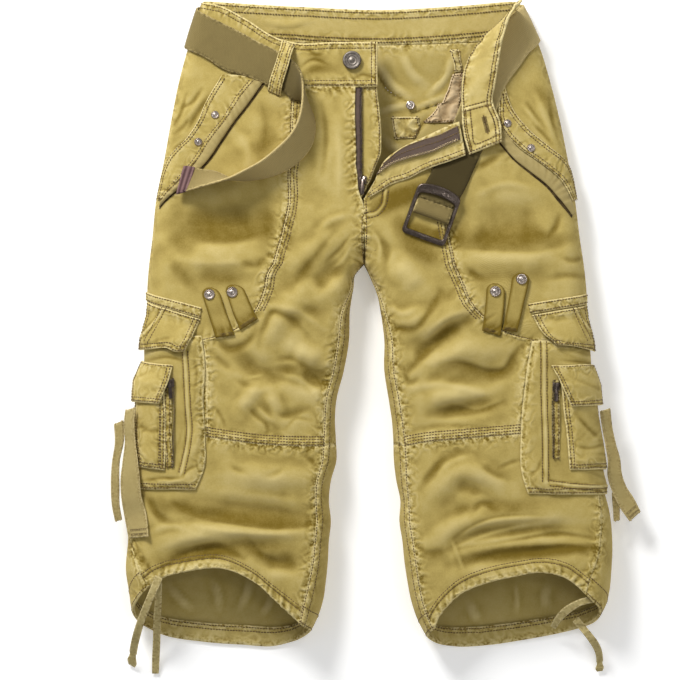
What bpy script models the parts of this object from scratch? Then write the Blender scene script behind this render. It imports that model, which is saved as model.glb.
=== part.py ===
"""Cargo shorts with a web belt, laid flat on a surface with the front up.

The fly is open and the right front corner of the waist is turned out over the hip. Left is -X and
right is +X, the waist points to +Y and the surface that the shorts lie on is Z = 0. Tables are in
millimetres and the objects are built in metres.

Every cloth piece is cut from one wrapped surface for each side of the shorts. A place on it is (u, y):
u runs from 0 at the outer edge over the top to 1 at the inner edge or the front centre line, and
from 0 under the leg to -1. Past the inner edge it goes on, to -2 over the top of the leg.
"""

import math

import bpy
import numpy as np
from mathutils import Matrix, Vector

MM = 0.001
# Middle of the box round the shorts in the tables' millimetres, over the surface they lie on
ORIGIN = (3.867, 0.475, 0.0)

# Cloth, webbing and the gaps between pieces
WALL = 1.6
BAND_WALL = 2.4
FLAP_WALL = 1.4
TAPE_WALL = 1.0
SEAM_GAP = 0.5
LAY_GAP = 0.6
BELT_WIDTH = 40.0
BELT_WALL = 2.2
LOOP_WALL = 1.3
LOOP_WIDTH = 14.0
BELT_STACK = LOOP_WALL + BELT_WALL + 2 * LAY_GAP

# The wrapped surface
CROTCH_Y = 66.4
CENTRE_X = -14.3
CROTCH_DIP = 40.0
EDGE_ROUND = 24.0
LEG_CROWN = 7.0
HIP_CROWN = 5.0
FLY_REACH = 22.0
FLY_BOTTOM_Y = 136.8
FLY_TOP_Y = 191.8
RAISE_START_Y = 257.8
RAISE_END_Y = 299.6

# One row for each section across the shorts, from the waist to the hems: outer edges and height
SECTIONS = [
    # y, left outer, right outer, height
    (356.8, -190.3, 154, 20),
    (334.8, -198, 165, 21),
    (301.8, -207.9, 179.3, 23),
    (268.8, -216.7, 189.2, 26),
    (224.8, -225.5, 200.2, 30),
    (180.8, -233.2, 209, 34),
    (136.8, -242, 216.7, 37),
    (92.8, -246.4, 222.2, 40),
    (54.3, -250.8, 227.7, 42),
    (15.8, -251.9, 229.9, 44),
    (-17.2, -249.7, 227.7, 45),
    (-50.2, -250.8, 228.8, 45),
    (-83.2, -257.4, 231, 45),
    (-127.2, -262.9, 237.6, 45),
    (-171.2, -266.2, 245.3, 46),
    (-204.2, -271.7, 254.1, 47),
    (-237.2, -272.8, 257.4, 48),
    (-270.2, -275, 256.3, 50),
    (-292.2, -271.7, 254.1, 50),
    (-308.7, -269.5, 249.7, 50),
    (-325.2, -265.1, 239.8, 50),
    (-341.7, -257.4, 227.7, 50),
    (-363.7, -240.9, 205.7, 50),
]

# One row for each section of the legs: inner edges, and how far each seam lies in from its edge
LEGS = [
    # y, left inner, right inner, left inseam, right inseam, left outseam, right outseam
    (66.4, -14.3, -14.3, 0, 0, 0, 0),
    (54.3, -24.8, -8.2, 0, 0, 0, 0),
    (37.8, -26.4, -1.1, 3, 2, 0, 0),
    (15.8, -29.7, 3.3, 9, 5, 0, 0),
    (-17.2, -30.8, 7.7, 12, 9, 0, 0),
    (-50.2, -36.3, 7.7, 12, 11, 0, 0),
    (-83.2, -44.6, 12.7, 12, 12, 0, 0),
    (-105.2, -46.2, 16, 12, 12, 0, 0),
    (-127.2, -45.1, 17.6, 14, 13, 0, 0),
    (-149.2, -44.6, 18.2, 16, 14, 0, 2),
    (-171.2, -50.6, 20.9, 16, 12, 0, 5),
    (-193.2, -52.8, 25.3, 15, 10, 1, 9),
    (-215.2, -50.6, 24.2, 16, 12, 2, 12),
    (-237.2, -52.8, 27.5, 16, 12, 4, 15),
    (-259.2, -53.9, 29.7, 17, 13, 12, 19),
    (-281.2, -56.1, 33, 19, 13, 22, 26),
    (-303.2, -59.4, 37.4, 21, 13, 22, 26),
    (-325.2, -67.1, 45.1, 18, 13, 16, 20),
    (-347.2, -80.3, 58.3, 14, 12, 14, 16),
    (-363.7, -93.5, 73.7, 14, 12, 14, 16),
]

# The largest folds, each a ridge or a trough along a line: height at the line, reach on the left
# and on the right of the line as it is walked, and the line's points
FOLDS = [
    # height, reach left, reach right, points (x, y)
    (-7, 34, 30, [(-211.2, 112.6), (-123.2, 117)]),
    (5, 26, 26, [(-222.2, 68.6), (-126.5, 79.6)]),
    (5, 22, 20, [(-84.7, 68.6), (-40.7, 101.6)]),
    (-5, 18, 16, [(-71.5, 37.8), (-35.2, 68.6)]),
    (5, 24, 20, [(-126.5, -22.7), (-84.7, 26.8), (-46.2, 35.6)]),
    (-5, 20, 20, [(-159.5, -30.4), (-126.5, -52.4), (-84.7, -52.4)]),
    (5, 20, 16, [(-93.5, -30.4), (-60.5, -41.4)]),
    (-5, 16, 16, [(-84.7, -63.4), (-46.2, -59)]),
    (4, 14, 14, [(-150.7, -96.4), (-126.5, -61.2)]),
    (4, 12, 12, [(-104.5, -105.2), (-117.7, -72.2)]),
    (6, 22, 22, [(-159.5, -162.4), (-62.7, -169)]),
    (-6, 24, 18, [(-64.9, -213), (-205.7, -193.2)]),
    (6, 20, 18, [(-249.7, -242.7), (-189.2, -228.4), (-68.2, -224)]),
    (-5, 18, 16, [(-233.2, -259.2), (-205.7, -250.4), (-159.5, -247.1)]),
    (-4, 16, 14, [(-126.5, -259.2), (-84.7, -261.4)]),
    (-7, 34, 30, [(102.3, 112.6), (188.1, 112.6)]),
    (5, 24, 24, [(102.3, 73), (201.3, 76.3)]),
    (5, 20, 20, [(16.5, 68.6), (47.3, 37.8)]),
    (5, 20, 24, [(16.5, 2.6), (60.5, 7), (102.3, 26.8)]),
    (-5, 22, 18, [(25.3, -19.4), (58.3, -26), (96.8, -1.8)]),
    (4, 22, 18, [(47.3, -52.4), (82.5, -30.4), (140.8, -28.2)]),
    (-4, 20, 20, [(69.3, -54.6), (113.3, -59), (144.1, -41.4)]),
    (5, 16, 18, [(49.5, -83.2), (102.3, -74.4)]),
    (-5, 14, 14, [(58.3, -99.7), (135.3, -83.2)]),
    (6, 22, 20, [(52.8, -193.2), (93.5, -160.2), (146.3, -182.2)]),
    (-5, 14, 12, [(82.5, -173.4), (115.5, -182.2)]),
    (6, 18, 20, [(52.8, -246), (85.8, -220.7), (184.8, -208.6)]),
    (-5, 16, 18, [(85.8, -237.2), (135.3, -226.2), (228.8, -224)]),
    (3, 14, 14, [(82.5, -250.4), (135.3, -237.2), (201.3, -232.8)]),
    (-4, 15, 15, [(80.3, -261.4), (113.3, -254.8), (201.3, -246)]),
]

# Curves drawn on the top of the shorts, as points (x, y)
WAIST_TOP_LEFT = [(-193.6, 353.5), (-170.5, 348), (-145.2, 334.8), (-105.6, 311.7), (-90.2, 307.9), (-46.2, 308.4), (0, 308.4)]
WAIST_SEAM_LEFT = [(-205.7, 313.9), (-185.9, 306.2), (-166.1, 293), (-126.5, 268.8), (-95.7, 261.1), (-46.2, 260), (0, 260)]
CURVED_SEAM_LEFT = [(-91.3, 260), (-93.5, 211.6), (-95.7, 169.8), (-95.7, 141.2), (-102.3, 102.7), (-112.2, 66.4),
                    (-122.1, 38.9), (-135.3, 10.3), (-152.9, -5.1), (-176, -13.9), (-190.3, -17.2)]
SIDE_SEAM_LEFT = [(-190.3, -17.2), (-187, -43.6), (-185.9, -70), (-185.9, -96.4), (-184.8, -122.8)]
FLY_EDGE_LEFT = [(-24.2, 260), (-24.2, 213.8), (-23.7, 175.3), (-20.9, 147.8), (-16.5, 134.6), (-14.9, 101.6),
                 (-14.4, 66.4)]
KNEE_LEFT = [(-184.8, -122.8), (-128.7, -130.5), (-84.7, -132.7)]
TURN_LINE = [(-14.3, 136.8), (6.6, 170.9), (27.5, 191.8), (66, 209.4), (88, 220.4), (92.4, 238), (92.4, 262.2),
             (97.9, 287.5), (119.9, 315), (140.8, 330.4), (168.3, 332.6)]
TURN_SPLIT = 3
FLY_EDGE_RIGHT = [(-14.2, 66.4), (-13.8, 101.6), (-14.3, 136.8)]
CURVED_SEAM_RIGHT = [(66, 209.4), (69.3, 147.8), (77, 96.1), (81.4, 74.1), (91.3, 46.6), (101.2, 23.5),
                     (118.8, 4.8), (140.8, -9.5), (168.3, -17.2)]
SIDE_SEAM_RIGHT = [(168.3, -17.2), (163.9, -50.2), (159.5, -83.2), (156.2, -119.5)]
KNEE_RIGHT = [(156.2, -119.5), (91.3, -125), (47.3, -129.4)]
BAND_SEAM_OUTER_Y = 313.9
SIDE_TOP_Y = -15
TURN_OUTER_Y = 332.6
KNEE_Y = -132.7
KNEE_OUTER_Y = -120.6
HEM_FRONT_LEFT = [(-248.6, -285.6), (-237.6, -277.9), (-202.4, -268), (-169.4, -265.8), (-133.1, -281.2), (-111.1, -301),
                  (-94.6, -316.4), (-85.2, -325.2)]
HEM_FRONT_RIGHT = [(61.6, -331.8), (73.7, -309.8), (91.3, -293.3), (119.9, -281.2), (148.5, -274.6), (178.2, -270.2),
                   (203.5, -275.7), (216.7, -284.5), (225.5, -292.7)]
HEM_OUTER_LEFT = [(-254.1, -290), (-264.6, -303.2)]
HEM_OUTER_RIGHT = [(234.3, -301), (244.2, -313.1)]
HEM_INNER_LEFT = [(-78.1, -330.7)]
HEM_INNER_RIGHT = [(55, -338.4)]
# Lower edge of the back hems over the width of a leg
HEM_BACK_LEFT = [
    # share of the width from the outer edge, y
    (0.0, -316.4), (0.04, -331.8), (0.12, -340.6), (0.35, -348.3), (0.6, -351.6), (0.85, -352.7),
    (0.95, -347.2), (1.0, -336.2)]
HEM_BACK_RIGHT = [
    (0.0, -323), (0.05, -332.9), (0.15, -338.4), (0.4, -347.2), (0.65, -352.7), (0.85, -353.8),
    (0.95, -351.6), (1.0, -342.8)]
HEM_DEPTH = 21.0
WAIST_TOP_BACK = [(-191.4, 354.1), (-139.7, 350.8), (-84.7, 348), (3.3, 344.7), (80.3, 348), (155.1, 353.8)]
WAIST_SEAM_BACK = [(-203.5, 313.9), (-139.7, 310.6), (-84.7, 308.4), (3.3, 307.3), (80.3, 309.5), (171.6, 313.9)]

BAND_MIDDLE_Y = 330.4
BAND_PROUD = 0.8
BELT_DROP = 3.3
BELT_JOINT_U = 0.12
BELT_WRAP_Y = 349.7
BELT_LEFT_TOP_Y = 345.8
BELT_LEFT_LOW_Y = 303.3
BELT_LEFT_UPPER = [(-189.2, 339.2), (-150.7, 319.4), (-110, 297.4), (-103.4, 293.9)]
BELT_LEFT_LOWER = [(-185.9, 291.1), (-166.7, 278.3), (-139.7, 270.5), (-124.3, 263.9), (-117.7, 261.1)]
BELT_TILT = 5.0
BELT_RIGHT_TOP_Y = 349.1
BELT_RIGHT_LOW_Y = 310.6
BELT_RIGHT = [
    # upper edge x, y, lower edge x, y
    (143, 332.6, 168.3, 299.6),
    (126.5, 310.6, 155.1, 282),
    (110, 284.2, 139.7, 260),
    (96.8, 255.6, 130.9, 235.8),
    (88, 231.4, 124.3, 213.8),
    (79.2, 209.4, 115.5, 192.9),
    (69.3, 186.3, 105.6, 170.9),
    (57.2, 161, 94.6, 146.7),
    (44.1, 138.9, 82.4, 126.8),
]
BELT_RIGHT_LIFTS = [1.4, 1.4, 0.8, 0.8, 3.4, 3.4]
BACK_LOOPS = [("back_left", -128.7), ("back_centre", -7.7), ("back_right", 102.3)]
FRONT_LOOP = [
    # left edge x, y, lift, right edge x, y, lift
    (-104.5, 309.5, 1.4, -90.2, 304, 1.4),
    (-105.6, 304, 6.5, -92.4, 299.6, 9.0),
    (-106.7, 299.6, 9.6, -93.5, 295.2, 15),
    (-111.1, 285.3, 8.6, -97.4, 280.9, 14),
    (-117.2, 267.7, 6.2, -103.4, 262.2, 9.5),
    (-118.3, 262.2, 5, -104.5, 256.7, 8),
    (-119.9, 256.2, 1.4, -105.6, 250.1, 1.4),
]
BELT_TAIL = [
    # high edge x, y, lift, low edge x, y, lift
    (-102.1, 293.2, 7.6, -116.4, 260.1, 2.6),
    (-92.4, 287.5, 12.5, -102.3, 255.1, 3.4),
    (-82.9, 272.1, 25, -93.5, 245.7, 2.5),
    (-81.2, 254.5, 33, -81.4, 242.4, 2),
    (-82.4, 236.5, 35, -71.5, 231.4, 2),
    (-87.3, 218.2, 35, -68.2, 216, 2),
    (-95.3, 205, 34, -72.6, 194, 2),
    (-108.7, 191.6, 32, -84.7, 178.6, 2),
    (-126.7, 177, 32, -102, 166.9, 2),
    (-144.7, 166.9, 33, -128.7, 158.8, 2),
    (-160.4, 159.1, 33, -155.1, 157.7, 2),
    (-178.3, 153.4, 29, -178.3, 166.9, 3.5),
    (-195.1, 148.9, 21, -194, 169.2, 4),
    (-211.8, 144, 12, -204.1, 171.4, 4),
]
TURNED_BAND = [
    # seam edge x, y, lift, top edge x, y, lift
    (149.6, 345.8, 3, 156.2, 353.5, 30),
    (137.5, 333.7, 2.5, 149.6, 348, 36),
    (118.8, 317.2, 2.5, 135.3, 312.8, 34),
    (97.9, 287.5, 3.2, 131.6, 288.6, 24),
    (92.4, 262.2, 4.8, 127.6, 260, 16),
    (92.4, 238, 5.6, 125.4, 245.7, 11),
    (93.5, 213.8, 6.4, 134.2, 218.2, 10),
    (100.1, 185.2, 6.4, 135.3, 199.5, 9),
]
TURNED_FACING = [
    # lower edge x, y, lift, upper edge x, y, lift
    (-9.9, 137.9, 1.8, -5, 150, 1.8),
    (0.6, 143.7, 1.6, 0, 163.2, 1.8),
    (14.3, 152.2, 1.0, 6.6, 176.4, 1.4),
    (35.2, 159.5, 1.2, 27.5, 192.9, 1.6),
    (51.2, 167.9, 3.2, 47.3, 202.3, 3.6),
    (61.6, 172, 5.6, 59.4, 207.8, 5.8),
    (77.4, 177.3, 5.6, 75.9, 215.5, 5.6),
    (96.1, 184.4, 5.6, 89.1, 221, 5.6),
]
TURNED_TAPE = [
    # lower edge x, y, lift, upper edge x, y, lift
    (-1.1, 163.2, 3.6, 7.7, 176.4, 3.6),
    (14.3, 174.2, 3.8, 27.9, 192.4, 4.0),
    (35.3, 181.6, 5.0, 48.4, 200.6, 6.4),
    (59.5, 187.9, 8.2, 69.3, 207.2, 8.2),
    (77.4, 196.3, 8.2, 80.3, 212.7, 8.2),
    (90.2, 201.7, 8.2, 87.5, 216, 8.2),
]
TAPE_EDGE = [(-30.8, 258.9), (-30.8, 213.8), (-29.7, 175.3), (-27.5, 152.2), (-23.1, 143.4)]
TAPE_TEETH = [(-17.6, 258.9), (-17.6, 213.8), (-17.6, 175.3), (-17.6, 152.2), (-17.6, 143.4)]
SHIELD_LEFT = [(-30.8, 258.4), (-30.8, 235.8), (-30.8, 213.8), (-30.8, 191.8), (-29.7, 164.3), (-27.5, 147.8), (-24.2, 135.7)]
SHIELD_RIGHT = [(0, 258.4), (2.2, 235.8), (4.4, 213.8), (4.4, 195.1), (-1.1, 173.1), (-8.8, 154.4),
                (-17.6, 135.7)]

# The belt's frame buckle
BAR_CENTRE = (58.9, 119.2)
BAR_HEIGHT = 4.9
BUCKLE_TURN = -17.0
BUCKLE_TILT = 5.0
BUCKLE_WIDTH = 50.0
BUCKLE_SIDE = 3.4
BUCKLE_ABOVE = 27.0
BUCKLE_BELOW = 27.0
BUCKLE_TOP_BAR = 8.0
BUCKLE_END_BAR = 4.0
BUCKLE_THICK = 2.4
BUCKLE_ARCH = 5.0
BAR_DEPTH = 2.4
LOOP_RADIUS = 2.1
LOOP_TAIL = 12.4
LOOP_REACH = 12.4

BUTTON_PLACE = (-27.5, 288.1)
BUTTON_LIFT = 1.6
BUTTON_PROFILE = [(0, 0), (3.5, 0), (3.5, 1.6), (8.6, 1.6), (10.3, 3.0), (9.6, 4.6), (7.6, 5.0),
                  (5.4, 4.2), (0, 4.2)]

# Pieces that lie on the panels. A line is points (x, y) down the piece's outer or inner edge; where
# it is a pair of ys it runs down the side of the leg, turned under its edge by the wrap angle
EDGE_WRAP = 34
POCKET_WALL = 1.4
FLANGE = 3.0
POCKET_BEND = 9.0
POCKETS = [
    # name, side, rows, columns, flange lift, puff, outer line, inner line
    ("cargo_pocket_left", -1, 8, 6, 1.5, 3.2, [-12.8, -180],
     [(-191.4, -12.8), (-188.1, -61.2), (-188.1, -116.2), (-190.3, -162.4), (-198, -180)]),
    ("small_pocket_left", -1, 5, 2, 7.4, 2.6, [(-257.4, -54.6), (-257.4, -94.2), (-255.2, -155.8)],
     [(-229.9, -56.8), (-229.9, -105.2), (-231, -159.1)]),
    ("cargo_pocket_right", 1, 8, 6, 1.5, 3.2, [-17.2, -186.6],
     [(168.3, -18.3), (160.6, -66.7), (156.2, -117.3), (157.3, -162.4), (163.9, -184.4)]),
    ("small_pocket_right", 1, 5, 3, 7.4, 2.6, [(233.2, -59), (238.7, -105.2), (245.3, -160.2)],
     [(199.1, -61.2), (203.5, -105.2), (209, -158)]),
]
FLAPS = [
    # name, side, rows, columns, wall, finish, lifts down the piece, outer line, inner line
    ("pocket_band_left", -1, 2, 6, 1.4, "twill", [0.9, 0.9], [(-250.8, 35.6), (-250.8, 25.7)],
     [(-191.4, 18), (-193.6, 7)]),
    ("upper_flap_left", -1, 6, 6, 1.6, "twill", [0.9, 1.2, 5.2, 8.6, 9.2],
     [(-249.7, 24.6), (-249.7, 4.8), (-250.8, -28.2)], [(-193.1, 5.4), (-200.2, -10.6), (-209, -28.2)]),
    ("small_flap_left", -1, 4, 4, 1.4, "twill", [6.8, 13.4, 13.4], [(-250.8, -40.3), (-253, -66.7), (-255.2, -86.5)],
     [(-222.2, -44.7), (-227.7, -66.7), (-235.4, -87.6)]),
    ("pocket_band_right", 1, 2, 6, 1.4, "twill", [0.9, 0.9], [(227.7, 33.4), (227.7, 22.4)],
     [(165, 22.4), (167.2, 11.4)]),
    ("upper_flap_right", 1, 6, 6, 1.6, "twill", [0.9, 1.2, 5.2, 8.6, 9.2],
     [(227.7, 20.8), (227.7, -0.7), (227.7, -30.4)], [(168.3, 9.8), (178.2, -7.3), (193.6, -22.7)]),
    ("small_flap_right", 1, 4, 4, 1.4, "twill", [7.3, 13.4, 13.4], [(229.9, -44.7), (232.1, -66.7), (234.3, -89.8)],
     [(189.2, -44.7), (199.1, -66.7), (209, -89.8)]),
    ("slant_band_left", -1, 9, 2, 1.0, "twill", [1.6, 1.6],
     [(-168.3, 268.8), (-190.3, 235.8), (-203.5, 205), (-234.3, 175.3), (-239.8, 130.2)],
     [(-144.1, 268.8), (-167.2, 236.7), (-184.8, 206.5), (-202.4, 183), (-231, 130.2)]),
    ("slant_band_right", 1, 9, 2, 1.0, "twill", [1.6, 1.6],
     [(149.6, 242.4), (160.6, 218.2), (187, 194), (209, 167.6), (216.7, 119.2)],
     [(134.2, 242.4), (138.6, 208.3), (154, 183), (184.8, 147.8), (201.3, 119.2)]),
    ("tab_left_1", -1, 3, 1, 1.4, "twill", [1.4, 1.4], [(-192.5, 38.9), (-184.8, 14.7), (-177.1, -10)],
     [(-173.8, 40), (-166.1, 16.9), (-157.3, -7.3)]),
    ("tab_left_2", -1, 3, 1, 1.4, "twill", [1.4, 1.4], [(-167.2, 42.2), (-159.5, 20.2), (-150.7, -2.9)],
     [(-148, 43.3), (-140.8, 26.8), (-132.6, 9.7)]),
    ("tab_right_1", 1, 3, 1, 1.4, "twill", [1.4, 1.4], [(138.1, 43.3), (137.5, 18), (133.1, -9.5)],
     [(118.8, 44.4), (117.7, 21.3), (114.4, -2.9)]),
    ("tab_right_2", 1, 3, 1, 1.4, "twill", [2.2, 2.2], [(166.1, 55.4), (159.5, 24.6), (151.8, -8.4)],
     [(147.4, 56.5), (143, 25.7), (136.4, -6.2)]),
]
BANDS = [
    # name, wall, finish, steps, rows of x, y, z at the left edge and the right edge
    ("strap_left", 1.6, "webbing", 10, [
        (-273.9, -94.2, 42, -262.9, -90.9, 51), (-275.6, -109.6, 42, -264.6, -107.4, 51),
        (-274.5, -127.2, 41, -263.5, -125, 50), (-277.2, -151.4, 41, -260.7, -147, 53),
        (-279.4, -171.2, 41, -258.5, -166.8, 54), (-278.3, -191, 40, -256.9, -186.6, 53),
        (-275, -210.8, 38, -251.9, -204.2, 51.9), (-270.6, -232.8, 42, -248.6, -230.6, 59)]),
    ("strap_right", 1.6, "webbing", 10, [
        (243.1, -95.3, 36, 254.1, -92, 33), (245.9, -114, 34, 256.3, -111.8, 31),
        (249.7, -133.8, 33, 260.7, -131.6, 30), (252.1, -149.2, 32, 265.1, -147, 29),
        (251.7, -164.6, 32, 267.3, -164.6, 29), (256.9, -182.2, 30, 272.8, -178.9, 27),
        (264, -197.6, 28, 279.4, -188.8, 26), (276.1, -215.2, 27, 287.7, -204.8, 26)]),
]
TIES = [
    # name, rows of x, y, z at the left edge and the right edge
    ("tie_left_1", [
        (-243.1, -272.4, 54.6, -232.1, -277.9, 56.3), (-250.8, -292.2, 54, -240.9, -296.6, 54), (-259.6, -313.1, 46, -249.7, -317.5, 46),
        (-267.3, -334, 34, -256.3, -337.3, 33), (-272.8, -356, 14, -261.8, -359.3, 13), (-275, -371.4, 2, -264, -378, 2)]),
    ("tie_left_2", [
        (-243.1, -281.2, 49, -233.2, -281.2, 49), (-244.2, -305.4, 40, -234.3, -305.4, 40), (-246.4, -327.4, 28, -235.4, -327.4, 27),
        (-247.5, -349.4, 14, -236.5, -349.4, 13), (-248.6, -369.2, 5, -237.6, -369.2, 5), (-248.6, -383.5, 1.5, -238.7, -383.5, 1.5)]),
    ("tie_right_1", [
        (234.3, -294.4, 44.6, 237.6, -304.3, 42.6), (218.9, -298.8, 45, 223.3, -307.6, 44), (204.6, -306.5, 38, 212.3, -315.3, 37),
        (195.8, -316.4, 28, 203.5, -324.1, 27), (189.2, -329.6, 15, 196.9, -334, 14)]),
    ("tie_right_2", [
        (213.4, -327.4, 18.4, 222.2, -319.7, 18.4), (223.3, -338.4, 28, 232.1, -332.9, 28), (232.1, -350.5, 24, 242, -345, 24),
        (238.7, -363.7, 10, 248.6, -360.4, 10), (239.8, -381.3, 2, 249.7, -380.2, 2)]),
]
TIE_WALL = 1.2
# Zip sliders: half widths and heights of the body, its rails and the pull tab between them
SLIDER_LENGTH = 9.0
SLIDER_PROFILE = [(-4, 0), (4, 0), (4, 2), (2.8, 2), (2.8, 3.8), (1.7, 3.8), (1.7, 2), (-1.7, 2),
                  (-1.7, 3.8), (-2.8, 3.8), (-2.8, 2), (-4, 2)]
TAB_PLAN = [(-1.3, 0.5), (-1.3, -5), (-2.1, -6), (-2.1, -15), (-1.2, -16.5), (1.2, -16.5), (2.1, -15),
            (2.1, -6), (1.3, -5), (1.3, 0.5)]
TAB_WALL = 1.0
TAB_HEIGHT = 2.4
SLIDERS = [
    # name, x, y, lift, turn in degrees
    ("fly", -16.2, 157.7, -2.3, 0),
    ("cargo_left", -224.6, -64.5, 6.2, 2),
    ("cargo_right", 194, -67.8, 6.2, -2),
]

# Rows and columns of the panels' grids
FLY_ROWS = 8
CASING_EDGE = 0.5
CASING_GAPS = [0.6, 2.4, 3.2]
HIP_ROWS = 13
SIDE_ROWS = 6
RISE_ROWS = 9
LOWER_ROWS = 13
HIP_COLUMNS = 7
CENTRE_COLUMNS = 9
SIDE_COLUMNS = 4
UPPER_ROWS = HIP_ROWS + SIDE_ROWS
INSEAM_ROWS = UPPER_ROWS - RISE_ROWS
BACK_COLUMNS = [0, 0.045, 0.09, 0.15, 0.35, 0.65, 0.85, 0.91, 0.955, 1]
BAND_FLY_COLUMNS = 2

COLOURS = {
    # name: (red, green, blue, roughness, metallic)
    "twill": (0.45, 0.36, 0.14, 0.9, 0.0),
    "twill_back": (0.40, 0.32, 0.13, 0.9, 0.0),
    "webbing": (0.30, 0.25, 0.11, 0.85, 0.0),
    "binding": (0.16, 0.09, 0.09, 0.8, 0.0),
    "zip_tape": (0.14, 0.12, 0.09, 0.8, 0.0),
    "lining": (0.45, 0.34, 0.22, 0.9, 0.0),
    "gunmetal": (0.22, 0.21, 0.21, 0.35, 1.0),
    "steel": (0.45, 0.43, 0.42, 0.3, 1.0),
}


def ease(t):
    """Smooth step from 0 to 1."""
    t = np.clip(t, 0.0, 1.0)
    return t * t * (3 - 2 * t)


def through(nodes, values, at):
    """Values of a smooth curve through the nodes, level past its ends."""
    nodes, values = np.asarray(nodes, float), np.asarray(values, float)
    slopes = np.gradient(values, nodes, axis=0)
    at = np.clip(at, nodes[0], nodes[-1])
    i = np.clip(np.searchsorted(nodes, at) - 1, 0, len(nodes) - 2)
    step = nodes[i + 1] - nodes[i]
    t = (at - nodes[i]) / step
    if values.ndim == 2:
        step, t = step[..., None], t[..., None]
    return ((2 * t**3 - 3 * t**2 + 1) * values[i] + (t**3 - 2 * t**2 + t) * step * slopes[i]
            + (3 * t**2 - 2 * t**3) * values[i + 1] + (t**3 - t**2) * step * slopes[i + 1])


def column(rows, index, y):
    """A table's column at each y, as a smooth curve through its rows."""
    table = np.array(sorted(rows), float)
    return through(table[:, 0], table[:, index], y)


def fold_height(x, y):
    """Height of the folds over the smooth top at each place."""
    total = np.zeros(np.shape(x))
    for height, left, right, points in FOLDS:
        nearest = np.ones(np.shape(x))
        for (ax, ay), (bx, by) in zip(points, points[1:]):
            dx, dy = bx - ax, by - ay
            t = np.clip(((x - ax) * dx + (y - ay) * dy) / (dx * dx + dy * dy), 0, 1)
            off_x, off_y = x - ax - t * dx, y - ay - t * dy
            away = np.hypot(off_x, off_y)
            turn = (dx * off_y - dy * off_x) / (math.hypot(dx, dy) * away + 1e-9)
            reach = (left + right) / 2 + turn * (left - right) / 2
            nearest = np.minimum(nearest, away / reach)
        total += height * np.cos(math.pi / 2 * nearest) ** 2
    return total


def inner_edge(side, y, upper):
    """X of a side's inner edge: the inside of the leg, and above the crotch the centre line."""
    leg = column(LEGS, 1 if side < 0 else 2, y)
    reach = FLY_REACH * ease((y - FLY_BOTTOM_Y) / (FLY_TOP_Y - FLY_BOTTOM_Y)) * (side < 0)
    hip = CENTRE_X + np.where(upper, reach, 0.0)
    return np.where(y > CROTCH_Y, hip, leg)


def base(side, u, y):
    """Points of a side's wrapped surface."""
    u, y = np.broadcast_arrays(np.round(u, 9), np.asarray(y, float))
    u = np.where(y > CROTCH_Y + 1e-6, np.clip(u, -1, 1), u)
    upper = ((u > 0) & (u <= 1)) | (u < -1)
    t = np.where(u > 1, 2 - u, np.where(u < -1, 2 + u, np.abs(u)))
    outer = column(SECTIONS, 1 if side < 0 else 2, y)
    half = column(SECTIONS, 3, y) / 2
    span = np.abs(inner_edge(side, y, upper) - outer)
    bend = np.minimum(EDGE_ROUND, 1.1 * half)
    arc = math.pi / 2 * np.sqrt((bend**2 + half**2) / 2)
    length = 2 * arc + span - 2 * bend
    run = t * length
    joined = np.sin(math.pi / 2 * np.clip((y - CROTCH_Y) / CROTCH_DIP, 0, 1))
    turn_out = np.clip(run / arc, 0, 1) * math.pi / 2
    turn_in = np.clip((length - run) / arc, 0, 1) * math.pi / 2
    from_outer = bend * (1 - np.cos(turn_out))
    from_inner = bend * ((1 - joined) * (1 - np.cos(turn_in)) + joined * turn_in * 2 / math.pi)
    middle = np.clip(run - arc, 0, span - 2 * bend)
    x = outer - side * (from_outer + middle + bend - from_inner)
    rise = np.sin(turn_out) * (np.sin(turn_in) * (1 - joined) + joined)
    crown = ((1 - joined) * LEG_CROWN * np.sin(math.pi * t)
             + joined * HIP_CROWN * np.sin(math.pi / 2 * t))
    raised = BELT_STACK * ease((y - RAISE_START_Y) / (RAISE_END_Y - RAISE_START_Y))
    top = half * (1 + rise) + rise * (crown + fold_height(x, y))
    bottom = half * (1 - rise) + rise * raised
    return np.stack([x, y, np.where(upper, top, bottom)], axis=-1)


def surface(side, u, y):
    """Points of a side's wrapped surface and its outward normals there."""
    u, y = np.broadcast_arrays(np.asarray(u, float), np.asarray(y, float))
    limit = np.where(y > CROTCH_Y, 1.0, 2.0)
    ahead = base(side, np.minimum(u + 2e-3, limit), y)
    behind = base(side, np.maximum(u - 2e-3, -limit), y)
    ahead_y = np.where(np.abs(y - CROTCH_Y) < 0.3, CROTCH_Y, y + 0.3)
    along = base(side, u, ahead_y) - base(side, u, y - 0.3)
    normal = -side * np.cross(ahead - behind, along)
    normal /= np.linalg.norm(normal, axis=-1, keepdims=True)
    return base(side, u, y), normal


def find_u(side, x, y, upper=True):
    """The u of a place on the top, or on the underside, from its x and y."""
    u = np.linspace(0, 1, 400)[1:]
    found = base(side, u if upper else -u, np.full(u.shape, float(y)))[:, 0]
    share = np.interp(x * -side, found * -side, u)
    return share if upper else -share


def on_top(side, points):
    """(u, y) of places drawn on the top."""
    return [(find_u(side, x, y), y) for x, y in points]


def top_height(x, y):
    """Height of the top surface at a place."""
    side = -1 if x < CENTRE_X else 1
    return float(base(side, find_u(side, x, y), y)[..., 2])


def sample(points, count):
    """Points spread evenly along a smooth curve through the given ones."""
    points = np.array(points, float)
    scale = np.array([200.0, 1.0]) if points.shape[1] == 2 else np.ones(points.shape[1])
    run = np.concatenate([[0], np.cumsum(np.linalg.norm(np.diff(points * scale, axis=0), axis=1))])
    return through(run, points, np.linspace(0, run[-1], count + 1))


def resample(line, count):
    """A line's points spread evenly, at a new number of steps."""
    run = shares(line)
    at = np.linspace(0, 1, count + 1)
    return np.stack([np.interp(at, run, line[:, k]) for k in range(line.shape[1])], axis=-1)


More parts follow.
